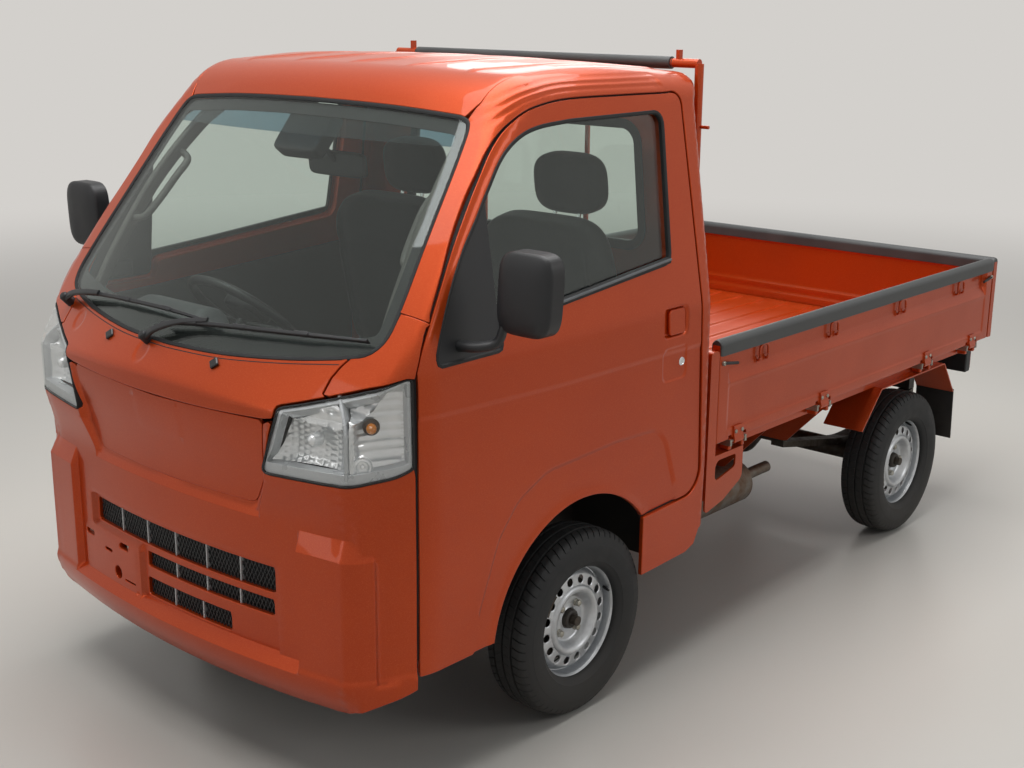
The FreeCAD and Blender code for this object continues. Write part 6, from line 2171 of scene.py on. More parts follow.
def welded(shape: Shape, gap: float = 2e-5) -> Shape:
    """A shape whose points nearer than gap are one, without the faces that this folds up."""
    keys = np.round(shape.points / gap).astype(np.int64)
    _, first, back = np.unique(keys, axis=0, return_index=True, return_inverse=True)
    back = back.ravel()
    faces = []
    for face in shape.faces:
        row = [int(back[i]) for i in face]
        row = [v for k, v in enumerate(row) if v != row[k - 1]]
        if len(set(row)) == len(row) and len(row) > 2:
            faces.append(tuple(row))
    return Shape(shape.points[first], faces)


@dataclass
class Tyre:
    """A 145 mm tyre with three grooves round it and slots across its shoulders.

    Its section is carried round the axle. Every pitch has one open slot in the shoulders and one
    fine slot in the ribs, and the columns of the net lie on the slots' edges.
    """

    pitches: int = 62
    columns: tuple = (0.0, 0.03, 0.11, 0.14, 0.36, 0.53, 0.555, 0.58, 0.80)
    slot: float = 0.0052
    sipe: float = 0.0030
    flank: tuple = ((0.0480, 0.1565), (0.0540, 0.1590), (0.0590, 0.1630), (0.0625, 0.1690),
                    (0.0655, 0.1735), (0.0672, 0.1750), (0.0672, 0.1770), (0.0690, 0.1830),
                    (0.0712, 0.1960), (0.0721, 0.2080), (0.0716, 0.2190), (0.0712, 0.2205),
                    (0.0706, 0.2215), (0.0695, 0.2300), (0.0675, 0.2380))
    crown: tuple = ((0.0650, 0.2440, 0.4), (0.0632, 0.2480, 0.8), (0.0610, 0.2518, 1.0),
                    (0.0575, 0.2556, 1.0), (0.0530, 0.2588, 1.0), (0.0450, 0.2612, 1.0),
                    (0.0345, 0.2626, 1.0), (0.0330, 0.2618, 1.0), (0.0322, 0.2560, 0.0),
                    (0.0268, 0.2560, 0.0), (0.0260, 0.2622, -1.0), (0.0250, 0.2632, -1.0),
                    (0.0140, 0.2638, -1.0), (0.0042, 0.2640, -1.0), (0.0032, 0.2632, -1.0),
                    (0.0024, 0.2570, 0.0))

    def shape(self) -> Shape:
        """The tyre about the X axis, its outside towards +X, in its own place."""
        half = [(a, r, 0.0) for a, r in self.flank] + list(self.crown)
        rows = np.array(half + [(-a, r, k) for a, r, k in half[::-1]])
        share = np.array(self.columns)
        turn = ((np.arange(self.pitches)[:, None] + share[None]) / self.pitches * 2 * math.pi)
        open_slot = np.tile((share > 0.02) & (share < 0.12), self.pitches)
        fine_slot = np.tile(np.abs(share - 0.555) < 0.01, self.pitches)
        turn = turn.ravel()[None] + (np.abs(rows[:, :1]) * 1.6 - 0.05) * (rows[:, 2:] != 0)
        kind = rows[:, 2:]
        radius = (rows[:, 1:2] - self.slot * np.maximum(kind, 0) * open_slot[None]
                  - self.sipe * (kind < 0) * fine_slot[None])
        net = np.stack([np.broadcast_to(rows[:, :1], radius.shape), radius * np.cos(turn),
                        radius * np.sin(turn)], -1)
        return outward(grid(net, True, True))


@dataclass
class Rim:
    """A pressed steel wheel: barrel, disc with a ring of round holes, and a dished centre.

    The band of holes is made of equal sectors. In each, rings of points go from the hole's
    circle out to the sector's border on the front, and the same on the back.
    """

    holes: int = 16
    per: int = 6
    hole: float = 0.0115
    ring: tuple = (0.1005, 0.1310)
    front: tuple = (0.0325, 0.0285)
    wall: float = 0.0034
    barrel: tuple = (
        (0.0285, 0.1310), (0.0262, 0.1345), (0.0190, 0.1392), (0.0110, 0.1430), (0.0055, 0.1470),
        (0.0060, 0.1490), (0.0100, 0.1500), (0.0220, 0.1508), (0.0340, 0.1516), (0.0385, 0.1530),
        (0.0420, 0.1562), (0.0450, 0.1582), (0.0500, 0.1592), (0.0540, 0.1606), (0.0564, 0.1634),
        (0.0582, 0.1662), (0.0580, 0.1680), (0.0563, 0.1687), (0.0545, 0.1674), (0.0528, 0.1646),
        (0.0500, 0.1625), (0.0300, 0.1560), (0.0100, 0.1530), (-0.0300, 0.1540),
        (-0.0500, 0.1615), (-0.0560, 0.1680), (-0.0580, 0.1672), (-0.0570, 0.1640),
        (-0.0500, 0.1580), (-0.0300, 0.1505), (-0.0020, 0.1480), (0.0020, 0.1440),
        (0.0080, 0.1402), (0.0165, 0.1362), (0.0230, 0.1325), (0.0251, 0.1310))
    centre: tuple = (
        (0.0325, 0.1005), (0.0352, 0.0985), (0.0386, 0.0950), (0.0398, 0.0910), (0.0394, 0.0870),
        (0.0370, 0.0820), (0.0310, 0.0768), (0.0200, 0.0718), (0.0115, 0.0676), (0.0078, 0.0640),
        (0.0066, 0.0600), (0.0064, 0.0420), (0.0070, 0.0350), (0.0095, 0.0322), (0.0110, 0.0300),
        (0.0100, 0.0285), (0.0060, 0.0280), (0.0030, 0.0284), (0.0030, 0.0600),
        (0.0050, 0.0660), (0.0120, 0.0712), (0.0250, 0.0768), (0.0335, 0.0830),
        (0.0360, 0.0880), (0.0362, 0.0912), (0.0350, 0.0942), (0.0312, 0.0984),
        (0.0291, 0.1005))

    def disc(self) -> Shape:
        """Barrel, band of holes and centre as one closed surface about the X axis."""
        count = self.holes * self.per
        pieces = [self.turned(np.array(rows), count) for rows in (self.barrel, self.centre)]
        width = 2 * math.pi / self.holes
        low, high = self.ring
        along = np.linspace(-width / 2, width / 2, self.per + 1)
        radial = np.linspace(low, high, 5)
        border = np.vstack([np.column_stack([np.full(5, along[0]), radial])[:-1],
                            np.column_stack([along, np.full(self.per + 1, high)])[:-1],
                            np.column_stack([np.full(5, along[-1]), radial[::-1]])[:-1],
                            np.column_stack([along[::-1], np.full(self.per + 1, low)])[:-1]])
        flat = np.column_stack([border[:, 1] * np.cos(border[:, 0]),
                                border[:, 1] * np.sin(border[:, 0])])
        middle = np.array([(low + high) / 2, 0.0])
        away = flat - middle
        turn = np.arctan2(away[:, 1], away[:, 0])
        inner = middle + self.hole * np.column_stack([np.cos(turn), np.sin(turn)])
        lip = middle + (self.hole + 0.0018) * np.column_stack([np.cos(turn), np.sin(turn)])
        half = middle + (self.hole + 0.0045) * np.column_stack([np.cos(turn), np.sin(turn)])
        rows = []
        for flat_row, sink in ((flat, 0.0), (half, 0.0), (lip, 0.0006), (inner, 0.0022),
                               (inner, self.wall), (lip, self.wall), (flat, self.wall)):
            radius = np.hypot(*flat_row.T)
            height = np.interp(radius, self.ring, self.front) - sink
            rows.append(np.column_stack([height, flat_row]))
        sector = grid(np.array(rows), False, True)
        for k in range(self.holes):
            pieces.append(sector.turned(X_UNIT, (k + 0.5) * width, (0, 0, 0)))
        return outward(welded(joined(*pieces), 1e-4))

    @staticmethod
    def turned(rows: Array, count: int, caps: bool = False) -> Shape:
        """(axial, radius) rows carried round the X axis, with end faces if caps is true."""
        turn = np.arange(count) * 2 * math.pi / count
        net = np.stack([np.broadcast_to(rows[:, :1], (len(rows), count)),
                        rows[:, 1:] * np.cos(turn), rows[:, 1:] * np.sin(turn)], -1)
        shape = grid(net, False, True, caps)
        return outward(shape) if caps else shape


@dataclass
class Wheels:
    """Four wheels: tyre, rim, nuts, hub cap, valve and a balance weight."""

    places: tuple = (("front", -0.8475), ("rear", 1.0525))
    axle: tuple = (0.6525, 0.264)

    def build(self) -> None:
        """Places all four."""
        tyre, disc = Tyre().shape(), Rim().disc()
        parts = ((tyre, TYRE, Slot.TYRE, "tread"), (disc, SILVER, Slot.WHEEL, "rim"),
                 (self.nuts(), ZINC, Slot.WHEEL, "nuts"),
                 (self.cap(), CHASSIS, Slot.WHEEL, "cap"),
                 (self.valve(), RUBBER, Slot.WHEEL, "valve"),
                 (self.weight(), CAST, Slot.WHEEL, "weight"),
                 (self.drum(), CAST, Slot.WHEEL, "drum"))
        for end, y in self.places:
            for side in Side:
                body = f"wheel_{end}_{side.word}"
                for shape, finish, slot, what in parts:
                    turned = shape.turned(X_UNIT, 0.35 if end == "front" else 1.1, (0, 0, 0))
                    made = turned.moved((self.axle[0], y, self.axle[1]))
                    if side is Side.RIGHT:
                        made = made.mirrored()
                    node = {"tread": [f"tyre_{end}_{side.word}"],
                            "rim": [f"rim_{end}_{side.word}"]}.get(what, [])
                    place(f"{body}_{what}", made, finish, body, slot, node,
                          smooth_angle=38 if what != "tread" else 30)

    @staticmethod
    def nuts() -> Shape:
        """Four nuts on a 100 mm circle: a hexagon with a domed top on a cone."""
        rows = np.array([(0.0060, 0.0115), (0.0085, 0.0112), (0.0095, 0.0098), (0.0185, 0.0098),
                         (0.0200, 0.0088), (0.0215, 0.0060), (0.0220, 0.0001)])
        nuts = []
        for k in range(4):
            angle = k * math.pi / 2 + 0.4
            nut = Rim.turned(rows, 6, True)
            nuts.append(nut.moved((0, 0.05 * math.cos(angle), 0.05 * math.sin(angle))))
        return joined(*nuts)

    @staticmethod
    def cap() -> Shape:
        """The grease cap: a dished drum in the hub's hole."""
        return Rim.turned(np.array([(-0.004, 0.0272), (0.0180, 0.0272), (0.0225, 0.0262),
                                    (0.0255, 0.0235), (0.0262, 0.0200), (0.0240, 0.0170),
                                    (0.0236, 0.0100), (0.0236, 0.0001)]), 40, True)

    @staticmethod
    def valve() -> Shape:
        """The valve's rubber stem through the barrel."""
        path = np.array([(0.020, 0.1500, 0.0), (0.032, 0.1455, 0.0), (0.046, 0.1420, 0.0)])
        return tube(path, np.array([0.0045, 0.0040, 0.0032]), 12, (0, 0, 1), 2)

    @staticmethod
    def weight() -> Shape:
        """A clip-on lead weight that follows the lip for 60 mm."""
        turn = np.linspace(2.0, 2.38, 12)
        path = np.column_stack([np.full(12, 0.0560), 0.1585 * np.cos(turn),
                                0.1585 * np.sin(turn)])
        profile = oblong(-0.003, -0.004, 0.003, 0.004, 0.002, 30)
        return outward(carried(path, X_UNIT, unit(path * [0, 1, 1]), profile))

    @staticmethod
    def drum() -> Shape:
        """The brake drum's face behind the disc."""
        return Rim.turned(np.array([(-0.0040, 0.0001), (-0.0040, 0.1120), (-0.0010, 0.1150),
                                    (0.0008, 0.1120), (0.0008, 0.0600), (0.0020, 0.0400),
                                    (0.0020, 0.0001)][::-1]), 64, True)


# ---------------------------------------------------------------- bed

def bar(path: Sequence[Sequence[float]], radius: float, count: int = 12, steps: int = 0) -> Shape:
    """A round bar along a path, smoothed through its points when steps is given."""
    points = np.asarray(path, float)
    if steps:
        points = bezier_like(points, steps)
    return tube(points, np.full(len(points), radius), count)


@dataclass
class Gates:
    """The two side gates and the tail gate with their pads, hooks, latches and hinges.

    A gate's section is carried along it. Near its ends the section turns plain, so that the
    sunk fields end in upright creases.
    """

    outer: tuple = ((0.0020, 0.640), (0.0, 0.643), (0.0, 0.668), (0.0012, 0.672),
                    (0.0034, 0.678), (0.0034, 0.695), (0.0034, 0.750), (0.0030, 0.800),
                    (0.0012, 0.810), (0.0006, 0.8155), (0.0016, 0.8200), (0.0160, 0.8475),
                    (0.0178, 0.8520), (0.0180, 0.8600), (0.0180, 0.8800), (0.0180, 0.8980),
                    (0.0170, 0.9040), (0.0140, 0.9080), (0.0030, 0.910), (0.0040, 0.938))
    inner: tuple = ((0.0290, 0.938), (0.0305, 0.926), (0.0305, 0.906), (0.0290, 0.900),
                    (0.0255, 0.896), (0.0255, 0.820), (0.0255, 0.740), (0.0262, 0.726),
                    (0.0300, 0.721), (0.0305, 0.714), (0.0290, 0.704), (0.0278, 0.699),
                    (0.0278, 0.690), (0.0315, 0.684), (0.0320, 0.676), (0.0320, 0.643),
                    (0.0300, 0.640))
    hook_at: tuple = (0.0025, 0.4335, 0.9135, 1.3875)
    hinge_at: tuple = (0.035, 0.305, 0.70, 0.90)
    tail_hinges: tuple = (-0.56, -0.19, 0.19, 0.56)
    pin_length: float = 0.090
    ear: float = 0.010
    notch: float = 0.6505
    side_y: tuple = (-0.2485, 1.6525)
    face: float = 0.7295
    tail: float = 1.6895

    def build(self) -> None:
        """Makes both side gates, then the tail gate."""
        self.side()
        self.tail_gate()

    def panel(self, start: float, end: float, margin: float, hinges: Sequence[float]) -> Array:
        """The gate's net: rows along it, each row the section as (depth behind the face, height).

        The foot is cut back over the bed's hinge ears, so that they clear it as the gate opens.

        Args:
            start: where the gate starts along its length.
            end: where it ends.
            margin: how far from an end the sunk fields stop.
            hinges: where each hinge pin starts along the gate. An ear stands at each of its ends.

        Returns:
            The net as (along, depth, height).
        """
        near = np.array([0.0, 0.0015, 0.004, margin - 0.008, margin - 0.004, margin,
                         margin + 0.004, margin + 0.008])
        middle = np.linspace(start + margin + 0.05, end - margin - 0.05, 16)
        ears = np.array([h + e for h in hinges for e in (0.0, self.pin_length - self.ear)])
        walls = (ears[:, None] + [-0.0045, -0.0030, self.ear + 0.0030, self.ear + 0.0045]).ravel()
        plain_rows = np.concatenate([start + near, middle, end - near[::-1]])
        clear = np.abs(plain_rows[:, None] - ears - self.ear / 2).min(1) > self.ear / 2 + 0.0065
        along = np.sort(np.concatenate([plain_rows[clear], walls]))
        over = np.abs(along[:, None] - ears - self.ear / 2).min(1) < self.ear / 2 + 0.0035
        full = np.array(self.outer + self.inner)
        plain = full.copy()
        count = len(self.outer)
        plain[1:count - 1, 0] = 0.0006
        plain[count + 1:-1, 0] = 0.0310
        away = np.minimum(along - start, end - along)
        share = smooth_step(margin - 0.004, margin + 0.006, away)[:, None, None]
        section = plain[None] * (1 - share) + full[None] * share
        section = section + (0.016 - section) * np.array([0.10, 0.0]) * (
            smooth_step(0.004, 0.0, away)[:, None, None])
        section[over, 0] = (0.0026, self.notch)
        section[over, 1] = (0.0008, self.notch + 0.0012)
        return np.concatenate([np.broadcast_to(along[:, None, None],
                                               (len(along), len(full), 1)), section], -1)

    def side(self) -> None:
        """The side gate, hinged along the sill."""
        y0, y1 = self.side_y
        pins = [y0 + share * (y1 - y0) for share in self.hinge_at]
        net = self.panel(y0, y1, 0.052, pins)
        solid = np.stack([self.face - net[..., 1], net[..., 0], net[..., 2]], -1)
        place_both("side_gate_SIDE_panel", solid_of(solid), BED_PAINT, "side_gate_SIDE",
                   replaces=["side_gate_SIDE"])
        runs = (y0 + 0.001, y0 + 0.004, y0 + 0.010, *np.linspace(y0 + 0.05, y1 - 0.05, 12),
                y1 - 0.012, y1 - 0.004, y1)
        path = np.array([(self.face - 0.0160, y, 0.0) for y in runs])
        place_both("side_gate_SIDE_pad", self.pad(path, X_UNIT), PAD, "side_gate_SIDE")
        hooks = [self.hook().moved((self.face - 0.018, y, 0.0)) for y in self.hook_at]
        place_both("side_gate_SIDE_hooks", joined(*hooks), BED_PAINT, "side_gate_SIDE")
        leaves, roots, bolts = [], [], []
        for a in pins:
            leaves.append(self.leaf(a))
            roots += [block((0.694, a + 0.002, 0.604), (0.7290, a + 0.018, 0.640), 0.004, 3),
                      block((0.694, a + 0.072, 0.604), (0.7290, a + 0.088, 0.640), 0.004, 3)]
            bolts += [self.bolt((self.face + 0.0042, a + d, 0.660), X_UNIT) for d in (0.028, 0.062)]
        place_both("side_gate_SIDE_leaves", joined(*leaves), BED_PAINT, "side_gate_SIDE")
        place_both("side_gate_SIDE_bolts", joined(*bolts), ZINC, "side_gate_SIDE")
        place_both("sill_hinge_roots_SIDE", joined(*roots), BED_PAINT)
        self.latch()

    @staticmethod
    def hook() -> Shape:
        """A rope hook: an arch of round bar with two legs down, on two small feet."""
        arch = bar([(-0.002, -0.023, 0.853), (0.006, -0.0235, 0.853), (0.0105, -0.0235, 0.858),
                    (0.0105, -0.0235, 0.880), (0.0105, -0.0215, 0.893), (0.0105, -0.012, 0.9005),
                    (0.0105, 0.0, 0.902), (0.0105, 0.012, 0.9005), (0.0105, 0.0215, 0.893),
                    (0.0105, 0.0235, 0.880), (0.0105, 0.0235, 0.858), (0.006, 0.0235, 0.853),
                    (-0.002, 0.023, 0.853)], 0.0040, 10, 44)
        feet = [block((-0.001, y - 0.009, 0.8495), (0.0022, y + 0.009, 0.866), 0.001, 2)
                for y in (-0.0235, 0.0235)]
        return joined(arch, *feet)

    def leaf(self, start: float) -> Shape:
        """A hinge's leaf: a strap bent round the pin and up the gate's face."""
        profile = np.array([(self.face - 0.0095, 0.6320), (self.face - 0.0067, 0.6253),
                            (self.face, 0.6225), (self.face + 0.0067, 0.6253),
                            (self.face + 0.0095, 0.6320), (self.face + 0.0070, 0.6420),
                            (self.face + 0.0048, 0.6480), (self.face + 0.0045, 0.6740),
                            (self.face + 0.0030, 0.6765), (self.face - 0.0010, 0.6765),
                            (self.face - 0.0010, 0.6415), (self.face - 0.0062, 0.6392)])
        rows = [start + 0.0205, start + 0.0215, start + 0.0685, start + 0.0695]
        grow = np.array([0.94, 1.0, 1.0, 0.94])
        middle = profile.mean(0)
        net = np.array([[(*(middle + (p - middle) * g), y) for p in profile]
                        for y, g in zip(rows, grow)])
        return solid_of(net[..., [0, 2, 1]])

    @staticmethod
    def bolt(at: Sequence[float], way: Array) -> Shape:
        """A low hexagon bolt head."""
        rows = np.array([(0.0045, 0.0), (0.0045, 0.0050), (0.0030, 0.0066), (-0.001, 0.0066)])
        return turned_profile(rows, at, way, 6)

    def pad(self, path: Array, across: Array) -> Shape:
        """The rounded rubber cap over a gate's top rail.

        Args:
            path: middle line; its height is ignored.
            across: the way across the gate, outwards.
        """
        half = 0.0195
        section = rounded([(half - 0.001, 0.905, 0.002), (half, 0.9440, 0.016),
                           (0.004, 0.9553, 0.05), (-0.004, 0.9553, 0.05), (-half, 0.9440, 0.016),
                           (-half + 0.001, 0.905, 0.002), (-half + 0.0045, 0.905, 0.002),
                           (-half + 0.0045, 0.936, 0.003), (half - 0.0045, 0.936, 0.003),
                           (half - 0.0045, 0.905, 0.002)], step=18)
        middle = np.array([0.0, 0.930])
        ends = np.array([0.86, 0.95] + [1.0] * (len(path) - 4) + [0.95, 0.86])
        net = [[p + across * s[0] + Z_UNIT * s[1] for s in middle + (section - middle) * e]
               for p, e in zip(path * [1, 1, 0], ends)]
        return solid_of(net)

    def latch(self) -> None:
        """The latches at both ends of a side gate: a plate, a lever and its keeper's hook."""
        dark, bright = [], []
        for y, way in ((self.side_y[0], 1), (self.side_y[1], -1)):
            a, b = sorted((y + way * 0.006, y + way * 0.046))
            dark.append(block((self.face - 0.0185, a, 0.852), (self.face - 0.0040, b, 0.898),
                              0.003, 3))
            dark.append(bar([(self.face - 0.004, y + way * 0.014, 0.884),
                             (self.face + 0.003, y + way * 0.020, 0.884),
                             (self.face + 0.0045, y + way * 0.036, 0.882),
                             (self.face + 0.0045, y + way * 0.088, 0.874)], 0.0048, 12, 24))
            bright.append(turned_profile([(0.004, 0.0), (0.004, 0.006), (0.001, 0.0075),
                                          (-0.010, 0.0075)],
                                         (self.face + 0.003, y + way * 0.016, 0.884), X_UNIT, 20))
        place_both("side_gate_SIDE_latches", joined(*dark), CHASSIS, "side_gate_SIDE",
                   slot=Slot.STEEL)
        place_both("side_gate_SIDE_latch_pins", joined(*bright), ZINC, "side_gate_SIDE")

    def tail_gate(self) -> None:
        """The tail gate: the same section across the truck, with two pull handles."""
        net = self.panel(-self.face, self.face, 0.052, [x - 0.045 for x in self.tail_hinges])
        solid = np.stack([net[..., 0], self.tail - net[..., 1], net[..., 2]], -1)
        place("tail_gate_panel", solid_of(solid), BED_PAINT, "tail_gate", replaces=["tail_gate"])
        xs = np.array([-0.7285, -0.7245, -0.7180, *np.linspace(-0.66, 0.66, 9), 0.7180, 0.7245,
                       0.7285])
        path = np.column_stack([xs, np.full(len(xs), self.tail - 0.016), np.zeros(len(xs))])
        place("tail_gate_pad", self.pad(path, Y_UNIT), PAD, "tail_gate")
        leaves, leaf = [], self.leaf(-0.045)
        quarter = self.hook().turned(Z_UNIT, math.pi / 2, (0, 0, 0))
        hooks = [quarter.moved((x, self.tail - 0.018, 0.0)) for x in (-0.46, -0.155, 0.155, 0.46)]
        for x in self.tail_hinges:
            turned = np.column_stack([x + leaf.points[:, 1],
                                      leaf.points[:, 0] - self.face + self.tail,
                                      leaf.points[:, 2]])
            leaves.append(outward(Shape(turned, leaf.faces)))
        place("tail_gate_hooks", joined(*hooks), BED_PAINT, "tail_gate")
        place("tail_gate_leaves", joined(*leaves), BED_PAINT, "tail_gate")
        levers = []
        for side in (-1, 1):
            x = side * (self.face - 0.030)
            levers.append(block((x - 0.020, self.tail - 0.0185, 0.852),
                                (x + 0.020, self.tail - 0.003, 0.898), 0.003, 3))
            levers.append(bar([(x, self.tail - 0.004, 0.886), (x - side * 0.006, self.tail + 0.004,
                                                               0.885),
                               (x - side * 0.030, self.tail + 0.005, 0.880),
                               (x - side * 0.085, self.tail + 0.005, 0.872)], 0.0048, 12, 24))
        place("tail_gate_latches", joined(*levers), CHASSIS, "tail_gate", slot=Slot.STEEL)


@dataclass
class Bed:
    """The ribbed floor, the front wall, the drip rails and the guard frame's pad."""

    floor_z: tuple = (0.651, 0.6555, 0.6625)
    half: float = 0.692
    span: tuple = (-0.2535, 1.6505)
    rib_pitch: float = 0.1130
    ribs: int = 12

    def build(self) -> None:
        """Makes the floor, the front wall and the pad."""
        self.floor()
        self.front_wall()
        self.guard_pad()
        self.tail_lamps()

    def floor(self) -> None:
        """Pressed sheet: flat-topped ribs run fore and aft and fade out before both ends.

        Height over x is a train of smooth ramps; over y it is scaled to zero at the ends.
        """
        low, valley, top = self.floor_z
        x = [-self.half]
        first = -self.rib_pitch * (self.ribs - 1) / 2
        for k in range(self.ribs):
            middle = first + k * self.rib_pitch
            x += [middle + d for d in (-0.034, -0.031, -0.027, -0.024, 0.024, 0.027, 0.031, 0.034)]
        x = np.array(x + [self.half])
        rib = np.zeros(len(x))
        for k in range(self.ribs):
            away = np.abs(x - (first + k * self.rib_pitch))
            rib = np.maximum(rib, smooth_step(0.033, 0.0245, away))
        y0, y1 = self.span
        y = np.array([y0, y0 + 0.03, y0 + 0.034, y0 + 0.042, y0 + 0.046, *np.linspace(
            y0 + 0.2, y1 - 0.2, 10), y1 - 0.046, y1 - 0.042, y1 - 0.034, y1 - 0.03, y1])
        fade = smooth_step(0.032, 0.045, np.minimum(y - y0, y1 - y))
        height = valley + (top - valley) * rib[None] * fade[:, None]
        upper = np.stack([np.broadcast_to(x, height.shape),
                          np.broadcast_to(y[:, None], height.shape), height], -1)
        under = upper[:, ::-1].copy()
        under[..., 2] = low
        net = np.concatenate([upper, under], 1)
        place("bed_floor_sheet", solid_of(net), BED_PAINT, replaces=["bed_floor"])
        rows = []
        for side in (-1, 1):
            strip = tapered(0.010, 0.0, 0.008, 0.0045, (0.001, 0.002), 30)
            path = np.array([(side * 0.668, y, self.floor_z[1]) for y in
                             np.linspace(y0 + 0.05, y1 - 0.05, 10)])
            rows.append(carried(path, X_UNIT, Z_UNIT, strip))
        place("bed_drip_strips", joined(*rows), ZINC)

    def front_wall(self) -> None:
        """The wall behind the cab, pressed with two long fields."""
        back, front = -0.2535, -0.2955
        profile = np.array([(front + 0.001, 0.602), (front, 0.606), (front, 0.880),
                            (front, 0.916), (front + 0.004, 0.923), (front + 0.012, 0.926),
                            (back - 0.010, 0.926), (back - 0.003, 0.922), (back, 0.915),
                            (back, 0.898), (back - 0.002, 0.892), (back - 0.008, 0.887),
                            (back - 0.008, 0.800), (back - 0.008, 0.745), (back - 0.002, 0.739),
                            (back, 0.733), (back, 0.722), (back - 0.002, 0.716),
                            (back - 0.006, 0.711), (back - 0.006, 0.690), (back - 0.001, 0.684),
                            (back, 0.676), (back, 0.606), (back - 0.001, 0.602)])
        plain = profile.copy()
        plain[8:-1, 0] = back
        xs = np.array([-0.7295, -0.7275, -0.69, -0.686, -0.680, -0.676, *np.linspace(-0.6, 0.6, 9),
                       0.676, 0.680, 0.686, 0.69, 0.7275, 0.7295])
        share = smooth_step(0.687, 0.679, np.abs(xs))[:, None, None]
        section = plain[None] * (1 - share) + profile[None] * share
        net = np.concatenate([np.broadcast_to(xs[:, None, None], (*section.shape[:2], 1)),
                              section], -1)
        place("bed_front_wall_panel", solid_of(net), BED_PAINT, replaces=["bed_front_wall"])

    @staticmethod
    def guard_pad() -> None:
        """The rubber sleeve on the guard frame's top bar."""
        xs = np.array([-0.520, -0.518, -0.512, *np.linspace(-0.45, 0.45, 9), 0.512, 0.518, 0.520])
        path = np.column_stack([xs, np.full(len(xs), -0.2405), np.full(len(xs), 1.735)])
        radius = np.array([0.0150, 0.0170, 0.0178] + [0.0180] * 9 + [0.0178, 0.0170, 0.0150])
        place("guard_pad", tube(path, radius, 24), PAD)

    @staticmethod
    def tail_lamps() -> None:
        """Three cells in a black box: red outside, amber in the middle, clear inside."""
        box = block((0.5025, 1.5915, 0.500), (0.6825, 1.6300, 0.600), 0.006, 4)
        place_both("tail_lamp_box_SIDE", box, PLASTIC, replaces=["tail_lamps"])
        for name, low, high, finish in (("red", 0.6170, 0.6785, RED),
                                        ("amber", 0.5660, 0.6150, AMBER),
                                        ("clear", 0.5065, 0.5640, WHITE_LENS)):
            cell = block((low, 1.6240, 0.5045), (high, 1.6460, 0.5955), 0.008, 5)
            place_both(f"tail_lamp_{name}_SIDE", cell, finish, slot=Slot.TAIL_LENS)


# ---------------------------------------------------------------- cabin

def cushion(size: Sequence[float], centre: Sequence[float], tilt: float = 0.0,
            power: float = 5.0, crown: float = 0.012, channels: Sequence[float] = (),
            wide: float = 0.0) -> Shape:
    """A stuffed block: a superellipsoid with a crowned face and sewn channels.

    A point is size times the sign-kept (2/power) powers of cosines and sines of latitude and
    longitude. The face swells by crown in the middle and sinks by 5 mm along each channel.

    Args:
        size: half sizes along X, along its thickness and along its length.
        centre: where its middle lies.
        tilt: turn about X in radians.
        power: how square it is; 2 is an ellipsoid.
        crown: how far the middle of the face stands out.
        channels: places of level channels, from -1 to 1 along its length.
        wide: width of the two bolsters along the sides, as a share; 0 for none.

    Returns:
        The closed cushion, its face towards -Y before the tilt.
    """
    rows, columns = 56, 80
    lat = np.linspace(-math.pi / 2, math.pi / 2, rows)[:, None]
    lon = np.linspace(-math.pi, math.pi, columns, endpoint=False)[None]

    def part(value: Array) -> Array:
        """A sine or cosine raised to 2/power with its sign kept."""
        return np.sign(value) * np.abs(value) ** (2 / power)
    x = part(np.cos(lat)) * part(np.cos(lon))
    y = part(np.cos(lat)) * part(np.sin(lon))
    z = np.broadcast_to(part(np.sin(lat)), x.shape)
    face = smooth_step(0.1, 0.9, -y) * np.clip(1 - x ** 2, 0, 1) * np.clip(1 - z ** 2, 0, 1)
    out = crown * face
    for level in channels:
        out = out - 0.005 * np.exp(-((z - level) / 0.035) ** 2) * smooth_step(0.2, 0.8, -y)
    if wide:
        ridge = np.exp(-((np.abs(x) - (1 - wide / 2)) / (wide * 0.45)) ** 2)
        out = out + 0.014 * ridge * smooth_step(0.2, 0.9, -y) * smooth_step(1.0, 0.7, np.abs(z))
    pinch = 1 - 0.02 * z ** 2 * np.sign(size[0])
    points = np.stack([x * size[0] * pinch, y * size[1] - out, z * size[2]], -1)
    c, s = math.cos(tilt), math.sin(tilt)
    turned = np.stack([points[..., 0], c * points[..., 1] - s * points[..., 2],
                       s * points[..., 1] + c * points[..., 2]], -1)
    return outward(welded(grid(turned + np.asarray(centre, float), False, True, True), 1e-5))


@dataclass
class Seats:
    """Two seats with cloth cushions, backs and headrests on moulded bases."""

    middle: float = 0.320
    half: float = 0.225

    def build(self) -> None:
        """Makes both seats."""
        for side in Side:
            sign = 1 if side is Side.LEFT else -1
            x = sign * self.middle
            pads = (("seat_cushion", (self.half, 0.070, 0.240), (x, -0.825, 0.738),
                     -math.pi / 2 + 0.07, 0.16),
                    ("seat_back", (self.half - 0.004, 0.062, 0.282), (x, -0.520, 1.035), 0.20,
                     0.17),
                    ("seat_headrest", (0.122, 0.047, 0.088), (x, -0.452, 1.395), 0.14, 0.0))
            for name, size, centre, tilt, wide in pads:
                channels = () if "head" in name else (-0.45, 0.0, 0.45)
                power = 3.4 if "head" in name else 5.0
                shape = cushion(size, centre, tilt, power, 0.010, channels, wide)
                thing = place(f"{name}_{side.word}", shape, CLOTH,
                              replaces=["seats"] if side is Side.LEFT and name == "seat_cushion"
                              else [], smooth_angle=60)
            posts = [bar([(x + d, -0.474, 1.270), (x + d, -0.462, 1.330)], 0.006, 12)
                     for d in (-0.045, 0.045)]
            place(f"headrest_posts_{side.word}", joined(*posts), CHROME)
            base = block((x - 0.205, -1.035, 0.655), (x + 0.205, -0.600, 0.700), 0.012, 4)
            place(f"seat_base_{side.word}", base, CABIN)


